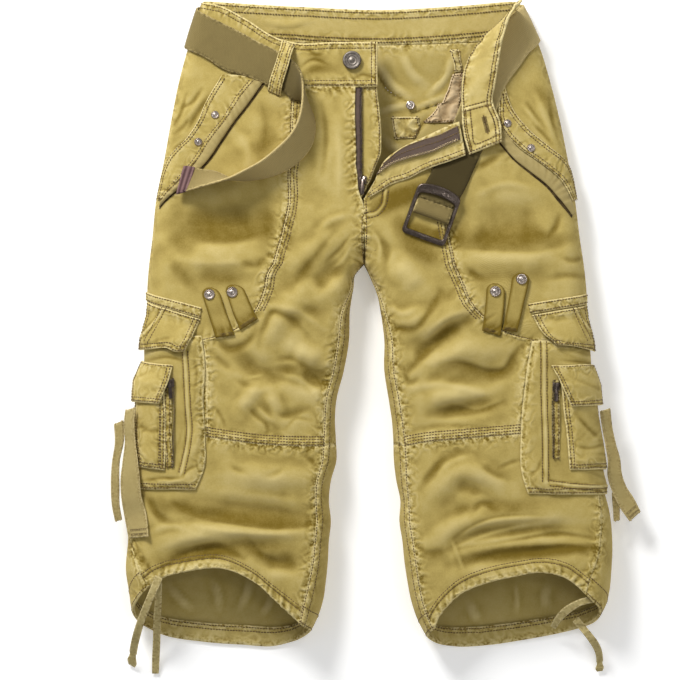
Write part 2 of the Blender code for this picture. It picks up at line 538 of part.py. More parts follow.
def chain(*curves):
    """One line of points from curves that follow each other."""
    return np.concatenate([curves[0]] + [curve[1:] for curve in curves[1:]])


def seam_line(side, inner, start_y, end_y, count, back=False):
    """(u, y) along an outseam or inseam; the back panels count u the other way round."""
    index = (3 if inner else 5) + (side > 0)
    points = []
    for y in np.linspace(start_y, end_y, count + 1):
        inset = float(column(LEGS, index, y))
        if inner:
            edge = float(inner_edge(side, y, True)) + side * inset
            u = find_u(side, edge, y) if y <= CROTCH_Y and inset > 0.01 else 1.0
            u = u - 2 if back else u
        else:
            edge = float(column(SECTIONS, 1 if side < 0 else 2, y)) - side * inset
            u = find_u(side, edge, y) if inset > 0.01 else 0.0
        points.append((u, y))
    return np.array(points)


def shares(line):
    """Share of a line's length at each of its points."""
    run = np.concatenate([[0], np.cumsum(np.linalg.norm(np.diff(line * [200.0, 1.0], axis=0), axis=1))])
    return run / run[-1]


def coons(top, bottom, left, right):
    """Grid of (u, y) that fills four border lines; top and bottom run left to right, the others down."""
    s = ((shares(top) + shares(bottom)) / 2)[None, :, None]
    t = ((shares(left) + shares(right)) / 2)[:, None, None]
    across = (1 - t) * top[None] + t * bottom[None]
    down = (1 - s) * left[:, None] + s * right[:, None]
    corners = ((1 - s) * (1 - t) * top[0] + s * (1 - t) * top[-1]
               + (1 - s) * t * bottom[0] + s * t * bottom[-1])
    return across + down - corners


def inset(points, gap):
    """The grid with its border moved in by a gap."""
    grid = points.copy()
    for axis in (0, 1):
        rows = np.moveaxis(grid, axis, 0)
        for edge, beside in ((0, 1), (-1, -2)):
            step = rows[beside] - rows[edge]
            rows[edge] += gap * step / np.linalg.norm(step, axis=-1, keepdims=True)
    return grid


def material(name):
    """The material of a named finish."""
    if name in bpy.data.materials:
        return bpy.data.materials[name]
    red, green, blue, roughness, metallic = COLOURS[name]
    made = bpy.data.materials.new(name)
    made.use_nodes = True
    shader = made.node_tree.nodes["Principled BSDF"]
    shader.inputs["Base Color"].default_value = (red, green, blue, 1)
    shader.inputs["Roughness"].default_value = roughness
    shader.inputs["Metallic"].default_value = metallic
    return made


def add_object(name, vertices, faces, finish):
    """A named object from points in millimetres."""
    mesh = bpy.data.meshes.new(name)
    mesh.from_pydata([tuple(v) for v in (np.asarray(vertices) - ORIGIN) * MM], [], faces)
    mesh.materials.append(material(finish))
    mesh.shade_smooth()
    mesh.set_sharp_from_angle(angle=math.radians(40))
    made = bpy.data.objects.new(name, mesh)
    bpy.context.scene.collection.objects.link(made)
    return made


def wall(name, points, normals, outer, inner, finish, ring=False):
    """A cloth wall over a grid of points, between two offsets along the normals."""
    rows, columns = points.shape[:2]
    outer = np.broadcast_to(np.asarray(outer, float), (rows, columns))[..., None]
    inner = np.broadcast_to(np.asarray(inner, float), (rows, columns))[..., None]
    vertices = np.concatenate([(points + normals * outer).reshape(-1, 3),
                               (points + normals * inner).reshape(-1, 3)])
    below = rows * columns

    def at(i, j):
        return i * columns + j % columns

    across = columns if ring else columns - 1
    faces = []
    for i in range(rows - 1):
        for j in range(across):
            a, b, c, d = at(i, j), at(i, j + 1), at(i + 1, j + 1), at(i + 1, j)
            for face in ([a, b, c], [a, c, d]):
                faces.append(face)
                faces.append([below + v for v in reversed(face)])
    borders = [[at(0, j) for j in range(across + 1)], [at(rows - 1, j) for j in range(across, -1, -1)]]
    if not ring:
        borders += [[at(i, columns - 1) for i in range(rows)], [at(i, 0) for i in range(rows - 1, -1, -1)]]
    for border in borders:
        for a, b in zip(border, border[1:]):
            faces.append([b, a, below + a, below + b])
    i, j = rows // 2, columns // 2
    facing = np.cross(points[i, j] - points[i, j - 1], points[i, j] - points[i - 1, j])
    if np.dot(facing, normals[i, j]) < 0:
        faces = [face[::-1] for face in faces]
    return add_object(name, vertices, faces, finish)


def panel(name, side, top, bottom, left, right, finish="twill", outer=0.0, inner=-WALL):
    """A panel of the wrapped surface inside four border lines of (u, y)."""
    grid = coons(top, bottom, left, right)
    points, normals = surface(side, grid[..., 0], grid[..., 1])
    return wall(name, inset(points, SEAM_GAP / 2), normals, outer, inner, finish)


def ribbon(name, edge_a, edge_b, outer, inner, finish, columns=2):
    """A strip between two edges in space, its wall between two offsets from the line across."""
    edge_a, edge_b = np.asarray(edge_a, float), np.asarray(edge_b, float)
    share = np.linspace(0, 1, columns)[None, :, None]
    points = edge_a[:, None] * (1 - share) + edge_b[:, None] * share
    along = np.gradient(points, axis=0)
    normals = np.cross(np.broadcast_to((edge_b - edge_a)[:, None], points.shape), along)
    normals /= np.linalg.norm(normals, axis=-1, keepdims=True)
    if normals[0, 0, 2] < 0:
        normals = -normals
    return wall(name, points, normals, outer, inner, finish)


def back_seam_y(x):
    """Y of the back waistband's seam at each x."""
    return through(*zip(*WAIST_SEAM_BACK), x)


def under_waist(side, u, curve, drop=0.0):
    """(u, y) where a curve over x meets each u on the underside."""
    u = np.asarray(u, float)
    x = base(side, u, np.full(u.shape, BAND_MIDDLE_Y))[..., 0]
    return np.stack([u, through(*zip(*curve), x) - drop], axis=-1)


def side_lines(side):
    """Seams and edges that a side's panels share, as arrays of (u, y)."""
    left = side < 0
    curved = CURVED_SEAM_LEFT if left else CURVED_SEAM_RIGHT
    side_seam = SIDE_SEAM_LEFT if left else SIDE_SEAM_RIGHT
    knee = KNEE_LEFT if left else KNEE_RIGHT
    fly = FLY_EDGE_LEFT if left else FLY_EDGE_RIGHT[::-1]
    hem = HEM_FRONT_LEFT if left else HEM_FRONT_RIGHT[::-1]
    lines = {
        "curved": sample(on_top(side, curved), HIP_ROWS),
        "side_seam": sample(on_top(side, side_seam), SIDE_ROWS),
        "fly": sample(on_top(side, fly), RISE_ROWS),
        "inseam": seam_line(side, True, CROTCH_Y, KNEE_Y, INSEAM_ROWS),
        "inseam_back": seam_line(side, True, CROTCH_Y, KNEE_Y, INSEAM_ROWS, back=True),
        "outseam_hip": seam_line(side, False, BAND_SEAM_OUTER_Y, SIDE_TOP_Y, HIP_ROWS),
        "outseam_side": seam_line(side, False, SIDE_TOP_Y, KNEE_OUTER_Y, SIDE_ROWS),
        "centre_back": np.array([(-1.0, y) for y in
                                 np.linspace(back_seam_y(CENTRE_X), CROTCH_Y, RISE_ROWS + 1)]),
    }
    lines["fly"][-1] = lines["inseam"][0] = (1.0, CROTCH_Y)
    outer_end, inner_end = lines["outseam_side"][-1], lines["inseam"][-1]
    lines["knee_side"] = sample([outer_end, lines["side_seam"][-1]], SIDE_COLUMNS)
    lines["knee_centre"] = sample(np.array(on_top(side, knee) + [tuple(inner_end)]), CENTRE_COLUMNS)
    hem_line = np.array(on_top(side, hem))
    lines["hem_front"] = sample(hem_line, SIDE_COLUMNS + CENTRE_COLUMNS)
    lines["outseam_lower"] = seam_line(side, False, KNEE_OUTER_Y, hem_line[0][1], LOWER_ROWS)
    lines["inseam_lower"] = seam_line(side, True, KNEE_Y, hem_line[-1][1], LOWER_ROWS)
    lines["inseam_lower_back"] = seam_line(side, True, KNEE_Y, hem_line[-1][1], LOWER_ROWS, back=True)
    lines["outseam_lower"][-1] = hem_line[0]
    lines["inseam_lower"][-1] = hem_line[-1]
    lines["inseam_lower_back"][-1] = hem_line[-1] - [2.0, 0.0]
    return lines


def back_columns(line):
    """A line that runs under the leg, at the back panels' columns."""
    run = shares(line)
    return through(run, line, np.array(BACK_COLUMNS))


def straight(start, end):
    """A straight line of (u, y) at the back panels' columns."""
    start, end = np.asarray(start), np.asarray(end)
    return start + (end - start) * np.array(BACK_COLUMNS)[:, None]


def hem_back_line(side, lines):
    """(u, y) along the back hem, from the outseam round under the leg to the inseam."""
    rows = HEM_BACK_LEFT if side < 0 else HEM_BACK_RIGHT
    outer_points = HEM_OUTER_LEFT if side < 0 else HEM_OUTER_RIGHT
    inner_points = HEM_INNER_LEFT if side < 0 else HEM_INNER_RIGHT
    points = [tuple(lines["outseam_lower"][-1])] + on_top(side, outer_points)
    for share, y in rows:
        outer = float(column(SECTIONS, 1 if side < 0 else 2, y))
        x = outer + share * (float(inner_edge(side, y, False)) - outer)
        points.append((find_u(side, x, y, upper=False) if 0 < share < 1 else -share, y))
    points += [(u - 2, y) for u, y in on_top(side, inner_points)]
    return np.array(points + [tuple(lines["inseam_lower_back"][-1])])


def waist_seam_left(lines):
    """The left front waist seam as (u, y): over the hip, the centre panel and the fly shield."""
    seam = [(0.0, BAND_SEAM_OUTER_Y)] + on_top(-1, WAIST_SEAM_LEFT[1:])
    seam = sample(seam, 300)
    first = int(np.argmin(np.abs(seam[:, 0] - lines["curved"][0][0])))
    second = int(np.argmin(np.abs(seam[:, 0] - lines["fly"][0][0])))
    return (resample(seam[:first + 1], HIP_COLUMNS), resample(seam[first:second + 1], CENTRE_COLUMNS),
            resample(seam[second:], BAND_FLY_COLUMNS))


def build_side(side):
    """The panels of one side and the casing in its hem."""
    name = "left" if side < 0 else "right"
    lines = side_lines(side)
    if side < 0:
        hip_top, centre_top, _ = waist_seam_left(lines)
        lines["curved"][0] = hip_top[-1]
        lines["fly"][0] = centre_top[-1]
        outer_hip = lines["outseam_hip"]
    else:
        turned = on_top(side, TURN_LINE)
        hip_top = sample(turned[TURN_SPLIT:][::-1], HIP_COLUMNS)
        centre_top = sample(turned[:TURN_SPLIT + 1][::-1], CENTRE_COLUMNS)
        hip_top[0] = (0.0, TURN_OUTER_Y)
        outer_hip = lines["outseam_hip"].copy()
        outer_hip[0] = hip_top[0]
    hip_bottom = sample([outer_hip[-1], lines["curved"][-1]], HIP_COLUMNS)
    panel("hip_front_" + name, side, hip_top, hip_bottom, outer_hip, lines["curved"])
    side_top = sample([lines["outseam_side"][0], lines["side_seam"][0]], SIDE_COLUMNS)
    panel("side_panel_" + name, side, side_top, lines["knee_side"], lines["outseam_side"],
          lines["side_seam"])
    panel("centre_front_" + name, side, centre_top, lines["knee_centre"],
          chain(lines["curved"], lines["side_seam"]), chain(lines["fly"], lines["inseam"]))
    panel("lower_front_" + name, side, chain(lines["knee_side"], lines["knee_centre"]),
          lines["hem_front"], lines["outseam_lower"], lines["inseam_lower"])

    outer = chain(lines["outseam_hip"], lines["outseam_side"])
    inner = chain(lines["centre_back"], lines["inseam_back"])
    waist = under_waist(side, -np.array(BACK_COLUMNS), WAIST_SEAM_BACK)
    waist[0], waist[-1] = outer[0], inner[0]
    panel("upper_back_" + name, side, waist, straight(outer[-1], inner[-1]),
          outer, inner, "twill_back")
    hem_back = hem_back_line(side, lines)
    panel("lower_back_" + name, side, straight(outer[-1], inner[-1]), back_columns(hem_back),
          lines["outseam_lower"], lines["inseam_lower_back"], "twill_back")
    build_casing(side, name, chain(back_columns(hem_back), lines["hem_front"][::-1] - [2.0, 0.0])[:-1])


def build_casing(side, name, loop):
    """The turned-in hem of a leg: a band all round inside the opening."""
    grid = np.stack([loop + [0.0, depth] for depth in (CASING_EDGE, HEM_DEPTH / 2, HEM_DEPTH)])
    points, normals = surface(side, grid[..., 0], grid[..., 1])
    under = -WALL - np.array(CASING_GAPS)[:, None]
    wall("hem_casing_" + name, points, normals, under, under - TAPE_WALL, "twill", ring=True)


def cover(name, side, grid, lifts, thickness, finish, gap=0.0):
    """A piece that lies over the wrapped surface, at a height over it for each grid point."""
    points, normals = surface(side, grid[..., 0], grid[..., 1])
    if gap:
        points = inset(points, gap)
    lifts = np.broadcast_to(np.asarray(lifts, float), grid.shape[:2])
    return wall(name, points, normals, lifts + thickness, lifts, finish)


def wrap_u(side, y, degrees):
    """The u reached by turning under the outer edge by an angle."""
    half = float(column(SECTIONS, 3, y)) / 2
    bend = min(EDGE_ROUND, 1.1 * half)
    arc = math.pi / 2 * math.sqrt((bend**2 + half**2) / 2)
    span = abs(float(inner_edge(side, y, False)) - float(column(SECTIONS, 1 if side < 0 else 2, y)))
    return -degrees / 90 * arc / (2 * arc + span - 2 * bend)


def strip(side, outer, inner, down, across):
    """Grid of (u, y) between two lines down a piece, at shares down it and across it."""
    if np.ndim(outer[0]) == 0:
        outer = [(wrap_u(side, y, EDGE_WRAP), y) for y in np.linspace(*outer, 6)]
    else:
        outer = on_top(side, outer)
    outer, inner = resample(sample(outer, 60), 200), resample(sample(on_top(side, inner), 60), 200)
    at = np.round(np.asarray(down) * 200).astype(int)
    across = np.asarray(across)[None, :, None]
    return outer[at][:, None] * (1 - across) + inner[at][:, None] * across


def flanged(length, steps):
    """Shares along a pocket, with its flange and its bend at both ends, and the puff at each."""
    first, second = FLANGE / length, POCKET_BEND / length
    middle = np.linspace(second, 1 - second, steps + 1)
    return (np.concatenate([[0, first], middle, [1 - first, 1]]),
            np.concatenate([[0, 0], np.ones(steps + 1), [0, 0]]))


def build_overlays():
    """Pockets, flaps, tabs and bands that lie on the panels."""
    for name, side, rows, columns, lift, puff, outer, inner in POCKETS:
        grid = strip(side, outer, inner, [0, 0.5, 1], [0, 1])
        points, _ = surface(side, grid[..., 0], grid[..., 1])
        tall = np.linalg.norm(points[2] - points[0], axis=-1).mean()
        wide = np.linalg.norm(points[1, 1] - points[1, 0]) * 1.15
        down, high = flanged(tall, rows)
        across, full = flanged(wide, columns)
        grid = strip(side, outer, inner, down, across)
        cover(name, side, grid, lift + puff * np.outer(high, full), POCKET_WALL, "twill")
    for name, side, rows, columns, thickness, finish, lifts, outer, inner in FLAPS:
        grid = strip(side, outer, inner, np.linspace(0, 1, rows + 1), np.linspace(0, 1, columns + 1))
        heights = np.interp(np.linspace(0, 1, rows + 1), np.linspace(0, 1, len(lifts)), lifts)
        cover(name, side, grid, heights[:, None], thickness, finish)
    for name, thickness, finish, steps, rows in BANDS:
        left, right = [row[:3] for row in rows], [row[3:] for row in rows]
        ribbon(name, sample(left, steps), sample(right, steps), thickness, 0.0, finish)
    for name, rows in TIES:
        left, right = [row[:3] for row in rows], [row[3:] for row in rows]
        ribbon(name, sample(left, 8), sample(right, 8), TIE_WALL, 0.0, "webbing")


def prism(name, outline, thickness, place, finish):
    """A prism: an outline in its own plane, extruded by a thickness."""
    count = len(outline)
    vertices = [place @ Vector((x, y, level)) for level in (0, thickness) for x, y in outline]
    faces = [list(range(count))[::-1], list(range(count, 2 * count))]
    faces += [[k, (k + 1) % count, count + (k + 1) % count, count + k] for k in range(count)]
    area = sum(a[0] * b[1] - b[0] * a[1] for a, b in zip(outline, outline[1:] + outline[:1]))
    if area < 0:
        faces = [face[::-1] for face in faces]
    return add_object(name, vertices, faces, finish)


def build_sliders():
    """Zip sliders, each with a pull tab that hinges between its rails."""
    for name, x, y, lift, turn in SLIDERS:
        side = -1 if x < CENTRE_X else 1
        point, normal = surface(side, find_u(side, x, y), y)
        place = stand_at(point + normal * (lift + SEAM_GAP), normal, turn)
        stand = (Matrix.Translation((0, SLIDER_LENGTH / 2, 0)) @ Matrix.Rotation(math.pi / 2, 4, "X"))
        prism(name + "_slider", SLIDER_PROFILE, SLIDER_LENGTH, place @ stand, "gunmetal")
        prism(name + "_pull_tab", TAB_PLAN, TAB_WALL, place @ Matrix.Translation((0, 0, TAB_HEIGHT)),
              "gunmetal")


def build_waistbands():
    """The back band and the left front band, each on the wrapped surface."""
    halves = []
    for side in (-1, 1):
        u = -np.array(BACK_COLUMNS)[::-side]
        top, seam = under_waist(side, u, WAIST_TOP_BACK), under_waist(side, u, WAIST_SEAM_BACK)
        grid = top + (seam - top) * np.linspace(0, 1, 4)[:, None, None]
        halves.append(surface(side, grid[..., 0], grid[..., 1]))
    points = np.concatenate([halves[0][0], halves[1][0][:, 1:]], axis=1)
    normals = np.concatenate([halves[0][1], halves[1][1][:, 1:]], axis=1)
    wall("back_waistband", inset(points, SEAM_GAP / 2), normals, 0.0, -BAND_WALL, "twill_back")

    side = -1
    seam = chain(*waist_seam_left(side_lines(side)))
    top = sample([(0.0, WAIST_TOP_LEFT[0][1])] + on_top(side, WAIST_TOP_LEFT[1:]), len(seam) - 1)
    grid = np.stack([top + share * (seam - top) for share in np.linspace(0, 1, 4)])
    points, normals = surface(side, grid[..., 0], grid[..., 1])
    wall("front_waistband_left", inset(points, SEAM_GAP / 2), normals, BAND_PROUD,
         BAND_PROUD - BAND_WALL, "twill")


def build_fly():
    """The left side of the open fly: the zip tape on its shield."""
    side = -1
    left = sample(on_top(side, TAPE_EDGE), FLY_ROWS)
    right = sample(on_top(side, TAPE_TEETH), FLY_ROWS)
    cover("zip_tape_left", side, np.stack([left, right], axis=1), -WALL - LAY_GAP - TAPE_WALL,
          TAPE_WALL, "zip_tape")
    left = sample(on_top(side, SHIELD_LEFT), FLY_ROWS)
    right = sample(on_top(side, SHIELD_RIGHT), FLY_ROWS)
    grid = np.stack([left, (left + right) / 2, right], axis=1)
    cover("fly_shield", side, grid, -WALL - 2 * LAY_GAP - TAPE_WALL - FLAP_WALL, FLAP_WALL, "twill")


def edges(rows, shared=False):
    """Two edges in space from rows of plan points, each with a height over the top there."""
    first, second = [], []
    for ax, ay, a_lift, bx, by, b_lift in rows:
        ground = top_height(ax, ay)
        first.append((ax, ay, ground + a_lift))
        second.append((bx, by, (ground if shared else top_height(bx, by)) + b_lift))
    return first, second


def build_turned_front():
    """The right front corner that is turned out: waistband, fly facing and its zip tape."""
    a, b = edges(TURNED_BAND, shared=True)
    ribbon("front_waistband_right", sample(a, 16), sample(b, 16), BAND_WALL, 0.0, "twill", columns=4)
    a, b = edges(TURNED_FACING)
    ribbon("fly_facing", sample(a, 10), sample(b, 10), FLAP_WALL, 0.0, "twill", columns=3)
    a, b = edges(TURNED_TAPE)
    ribbon("zip_tape_right", sample(a, 8), sample(b, 8), TAPE_WALL, 0.0, "zip_tape")


def belt_grid(upper, lower, count):
    """Grid of (u, y) between a belt's edges, closer together where it turns round the side."""
    upper, lower = sample(upper, 200), sample(lower, 200)
    turn = int(np.argmax(upper[:, 0] > BELT_JOINT_U))
    at = np.concatenate([np.linspace(0, turn, 9)[:-1], np.linspace(turn, 200, count - 7)]).astype(int)
    upper, lower = upper[at], lower[at]
    return np.stack([upper, (upper + lower) / 2, lower], axis=1)


def build_belt():
    """The belt in its stretches: back, left front, tail, right side and the buckle's loop."""
    halves = []
    for side in (-1, 1):
        u = -np.linspace(BELT_JOINT_U + 0.004, 1, 7)[::-side]
        upper = under_waist(side, u, WAIST_TOP_BACK, BELT_DROP)[:, None]
        grid = upper - np.array([[0, 0], [0, BELT_WIDTH / 2], [0, BELT_WIDTH]])
        halves.append(surface(side, grid[..., 0], grid[..., 1]))
    points = np.concatenate([halves[0][0], halves[1][0][1:]])
    normals = np.concatenate([halves[0][1], halves[1][1][1:]])
    wall("belt_back", points, normals, LAY_GAP + BELT_WALL, LAY_GAP, "webbing")

    side = -1
    upper = [(-BELT_JOINT_U, BELT_WRAP_Y), (0.0, BELT_LEFT_TOP_Y)] + on_top(side, BELT_LEFT_UPPER)
    lower = [(-BELT_JOINT_U, BELT_WRAP_Y - BELT_WIDTH), (0.0, BELT_LEFT_LOW_Y)]
    lower += on_top(side, BELT_LEFT_LOWER)
    grid = belt_grid(upper, lower, 16)
    along = np.linspace(-1.5, 1, len(grid))[:, None]
    tilt = ease(along) * BELT_TILT * np.linspace(1, 0, 3)[None, :]
    cover("belt_front_left", side, grid, BAND_PROUD + LAY_GAP + tilt, BELT_WALL, "webbing")

    a, b = edges(BELT_TAIL)
    ribbon("belt_tail", sample(a, 26), sample(b, 26), BELT_WALL / 2, -BELT_WALL / 2, "webbing", 3)

    side = 1
    upper = [(-BELT_JOINT_U, BELT_WRAP_Y), (0.0, BELT_RIGHT_TOP_Y)]
    lower = [(-BELT_JOINT_U, BELT_WRAP_Y - BELT_WIDTH), (0.0, BELT_RIGHT_LOW_Y)]
    upper += on_top(side, [row[:2] for row in BELT_RIGHT])
    lower += on_top(side, [row[2:4] for row in BELT_RIGHT])
    grid = belt_grid(upper, lower, 22)
    along = np.linspace(0, 1, len(grid))
    lifts = np.interp(along, [0, 0.3, 0.5, 0.86, 0.95, 1], BELT_RIGHT_LIFTS)
    cover("belt_right", side, grid, lifts[:, None], BELT_WALL, "webbing")


def build_loops():
    """Belt loops: three under the back and one over the belt on the left front."""
    over, under = 2 * LAY_GAP + BELT_WALL, LAY_GAP
    for name, x in BACK_LOOPS:
        side = -1 if x < CENTRE_X else 1
        top = float(through(*zip(*WAIST_TOP_BACK), x))
        belt_top = top - BELT_DROP
        rows = [
            # y, lift of the loop's inner face
            (top - 0.3, under), (belt_top + 2.3, under), (belt_top + 1.4, over),
            (belt_top - BELT_WIDTH - 1.4, over), (belt_top - BELT_WIDTH - 3.4, 2 * under),
            (belt_top - BELT_WIDTH - 9.0, 2 * under)]
        grid = np.array([[(find_u(side, x + edge, y, upper=False), y)
                          for edge in (-LOOP_WIDTH / 2, LOOP_WIDTH / 2)] for y, lift in rows])
        if side > 0:
            grid = grid[:, ::-1]
        lifts = np.array([[lift] * 2 for y, lift in rows])
        cover("belt_loop_" + name, side, grid, lifts, LOOP_WALL, "twill_back")
    a, b = edges(FRONT_LOOP)
    ribbon("belt_loop_front_left", a, b, LOOP_WALL, 0.0, "twill")


def plate(name, columns, rows, solid, bend, thickness, place, finish):
    """A flat frame: the solid cells between columns and rows, bent in plan, with a thickness."""
    index, vertices, faces = {}, [], []

    def at(i, j, level):
        key = (i, j, level)
        if key not in index:
            index[key] = len(vertices)
            x, y = bend(columns[j], rows[i])
            vertices.append(place @ Vector((x, y, level * thickness)))
        return index[key]

    count_i, count_j = len(rows) - 1, len(columns) - 1
    for i in range(count_i):
        for j in range(count_j):
            if not solid(i, j):
                continue
            ring = [(i, j), (i, j + 1), (i + 1, j + 1), (i + 1, j)]
            beside = [(i - 1, j), (i, j + 1), (i + 1, j), (i, j - 1)]
            faces.append([at(*corner, 1) for corner in ring])
            faces.append([at(*corner, 0) for corner in ring[::-1]])
            for k, (bi, bj) in enumerate(beside):
                if 0 <= bi < count_i and 0 <= bj < count_j and solid(bi, bj):
                    continue
                p, q = ring[k], ring[(k + 1) % 4]
                faces.append([at(*q, 1), at(*p, 1), at(*p, 0), at(*q, 0)])
    return add_object(name, vertices, faces, finish)


def build_buckle():
    """The frame buckle with its centre bar, and the webbing's end looped round that bar."""
    turn = Matrix.Rotation(math.radians(BUCKLE_TURN), 4, "Z")
    above, below = turn @ Vector((0, BUCKLE_ABOVE, 0)), turn @ Vector((0, -BUCKLE_BELOW, 0))
    high = top_height(BAR_CENTRE[0] + above.x, BAR_CENTRE[1] + above.y)
    low = top_height(BAR_CENTRE[0] + below.x, BAR_CENTRE[1] + below.y)
    slope = math.atan2(high - low, BUCKLE_ABOVE + BUCKLE_BELOW)
    ground = top_height(*BAR_CENTRE)
    lay = Matrix.Translation((*BAR_CENTRE, ground)) @ turn @ Matrix.Rotation(slope, 4, "X")
    place = lay @ Matrix.Translation((0, 0, BAR_HEIGHT)) @ Matrix.Rotation(
        math.radians(BUCKLE_TILT), 4, "X")
    half = BUCKLE_WIDTH / 2
    inner = half - BUCKLE_SIDE
    columns = [-half, -inner, -inner * 0.75, -inner * 0.4, 0, inner * 0.4, inner * 0.75, inner, half]
    top, bottom = BUCKLE_ABOVE, -BUCKLE_BELOW
    rows = [top, top - BUCKLE_TOP_BAR, BAR_DEPTH / 2, -BAR_DEPTH / 2, bottom + BUCKLE_END_BAR, bottom]

    def solid(i, j):
        return i in (0, 2, 4) or j in (0, len(columns) - 2)

    def bend(x, y):
        rise = BUCKLE_ARCH * (1 - (x / half) ** 2) if y > BAR_DEPTH else 0.0
        return x, y + rise

    lowered = place @ Matrix.Translation((0, 0, -BUCKLE_THICK / 2))
    plate("buckle", columns[::-1], rows, solid, bend, BUCKLE_THICK, lowered, "gunmetal")

    radius = LOOP_RADIUS
    path = [(-LOOP_TAIL, LAY_GAP + BELT_WALL), (-8.0, LAY_GAP + BELT_WALL)]
    path += [(radius * math.sin(a), BAR_HEIGHT - radius * math.cos(a))
             for a in np.linspace(math.radians(20), math.radians(160), 6)]
    path += [(-7.0, BAR_HEIGHT + radius - 1.2), (-LOOP_REACH, 3.4)]
    sides = [[], []]
    for along, height in path:
        for edge, across in zip(sides, (-BELT_WIDTH / 2, BELT_WIDTH / 2)):
            edge.append(lay @ Vector((across, -along, height)))
    ribbon("belt_buckle_loop", sides[0], sides[1], 0.0, -BELT_WALL, "webbing")


def stand_at(point, normal, turn):
    """The frame of a hard piece: its Z along a normal and its Y towards the waist, then turned."""
    normal = Vector(normal).normalized()
    up = (Vector((0, 1, 0)) - normal * normal.y).normalized()
    frame = Matrix((up.cross(normal), up, normal)).transposed().to_4x4()
    return (Matrix.Translation(Vector(point)) @ frame
            @ Matrix.Rotation(math.radians(turn), 4, "Z"))


def turned(name, profile, place, finish, sides=12):
    """A round solid from a profile of (radius, height) that starts and ends on its axis."""
    vertices, faces = [], []
    for radius, height in profile:
        for k in range(sides if radius > 0 else 1):
            a = 2 * math.pi * k / sides
            vertices.append(place @ Vector((radius * math.cos(a), radius * math.sin(a), height)))
    start = 0
    for (r0, _), (r1, _) in zip(profile, profile[1:]):
        n0, n1 = (sides if r0 > 0 else 1), (sides if r1 > 0 else 1)
        low = [start + k % n0 for k in range(sides + 1)]
        high = [start + n0 + k % n1 for k in range(sides + 1)]
        for k in range(sides):
            face = [low[k], low[k + 1], high[k + 1], high[k]]
            faces.append([v for n, v in enumerate(face) if v not in face[:n]])
        start += n0
    return add_object(name, vertices, faces, finish)


def build_button():
    """The shank button on the left front waistband."""
    point, normal = surface(-1, find_u(-1, *BUTTON_PLACE), BUTTON_PLACE[1])
    place = stand_at(point + normal * BUTTON_LIFT, normal, 0.0)
    turned("button", BUTTON_PROFILE, place, "steel", 16)


def main():
    """Builds the shorts."""
    for item in list(bpy.data.objects):
        bpy.data.objects.remove(item)
    for side in (-1, 1):
        build_side(side)
    build_waistbands()
    build_fly()
    build_turned_front()
    build_belt()
    build_loops()
    build_buckle()
    build_button()
    build_overlays()
    build_sliders()


main()
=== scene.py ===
"""Looks of the cargo shorts: washed twill, webbing, zips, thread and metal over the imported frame.

Tables are in millimetres and meshes in metres. Left is -X, right is +X and the waist points to +Y.
Cloth pieces are cut from one wrapped surface for each side, as in the frame: u runs from 0 at the
outer edge over the top to 1 at the inner edge, and from 0 under the leg to -1.
"""

import logging
import math
from dataclasses import dataclass, field
from enum import Enum, IntEnum
from typing import Optional, Sequence

import bmesh
import bpy
import numpy as np
from mathutils import Matrix, Vector


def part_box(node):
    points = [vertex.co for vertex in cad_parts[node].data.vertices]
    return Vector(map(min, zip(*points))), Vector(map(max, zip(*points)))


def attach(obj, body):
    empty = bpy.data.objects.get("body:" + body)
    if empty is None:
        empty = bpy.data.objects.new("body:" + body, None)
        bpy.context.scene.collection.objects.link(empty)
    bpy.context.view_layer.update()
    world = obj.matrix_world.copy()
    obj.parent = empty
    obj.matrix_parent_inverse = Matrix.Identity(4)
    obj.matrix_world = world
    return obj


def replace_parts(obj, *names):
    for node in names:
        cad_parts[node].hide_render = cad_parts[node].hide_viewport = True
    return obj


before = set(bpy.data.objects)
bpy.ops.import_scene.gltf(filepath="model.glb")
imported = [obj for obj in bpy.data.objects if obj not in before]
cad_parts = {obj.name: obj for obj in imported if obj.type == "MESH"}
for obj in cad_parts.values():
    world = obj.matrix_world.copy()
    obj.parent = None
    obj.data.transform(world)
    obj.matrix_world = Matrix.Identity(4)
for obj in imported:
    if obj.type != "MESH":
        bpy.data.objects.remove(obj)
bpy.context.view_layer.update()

LOG = logging.getLogger("shorts")
MM = 0.001
ORIGIN = np.array((3.867, 0.475, 0.0))
BODY = "shorts"

WALL = 1.6
BAND_WALL = 2.4
FLAP_WALL = 1.4
TAPE_WALL = 1.0
LAY_GAP = 0.6
BELT_WIDTH = 40.0
BELT_WALL = 2.2
LOOP_WALL = 1.3
LOOP_WIDTH = 14.0
BELT_STACK = LOOP_WALL + BELT_WALL + 2 * LAY_GAP
BELT_COLUMNS = 14

CROTCH_Y = 66.4
CENTRE_X = -14.3
CROTCH_DIP = 40.0
EDGE_ROUND = 24.0
LEG_CROWN = 7.0
HIP_CROWN = 5.0
FLY_REACH = 22.0
FLY_BOTTOM_Y = 136.8
FLY_TOP_Y = 191.8
RAISE_START_Y = 257.8
RAISE_END_Y = 299.6

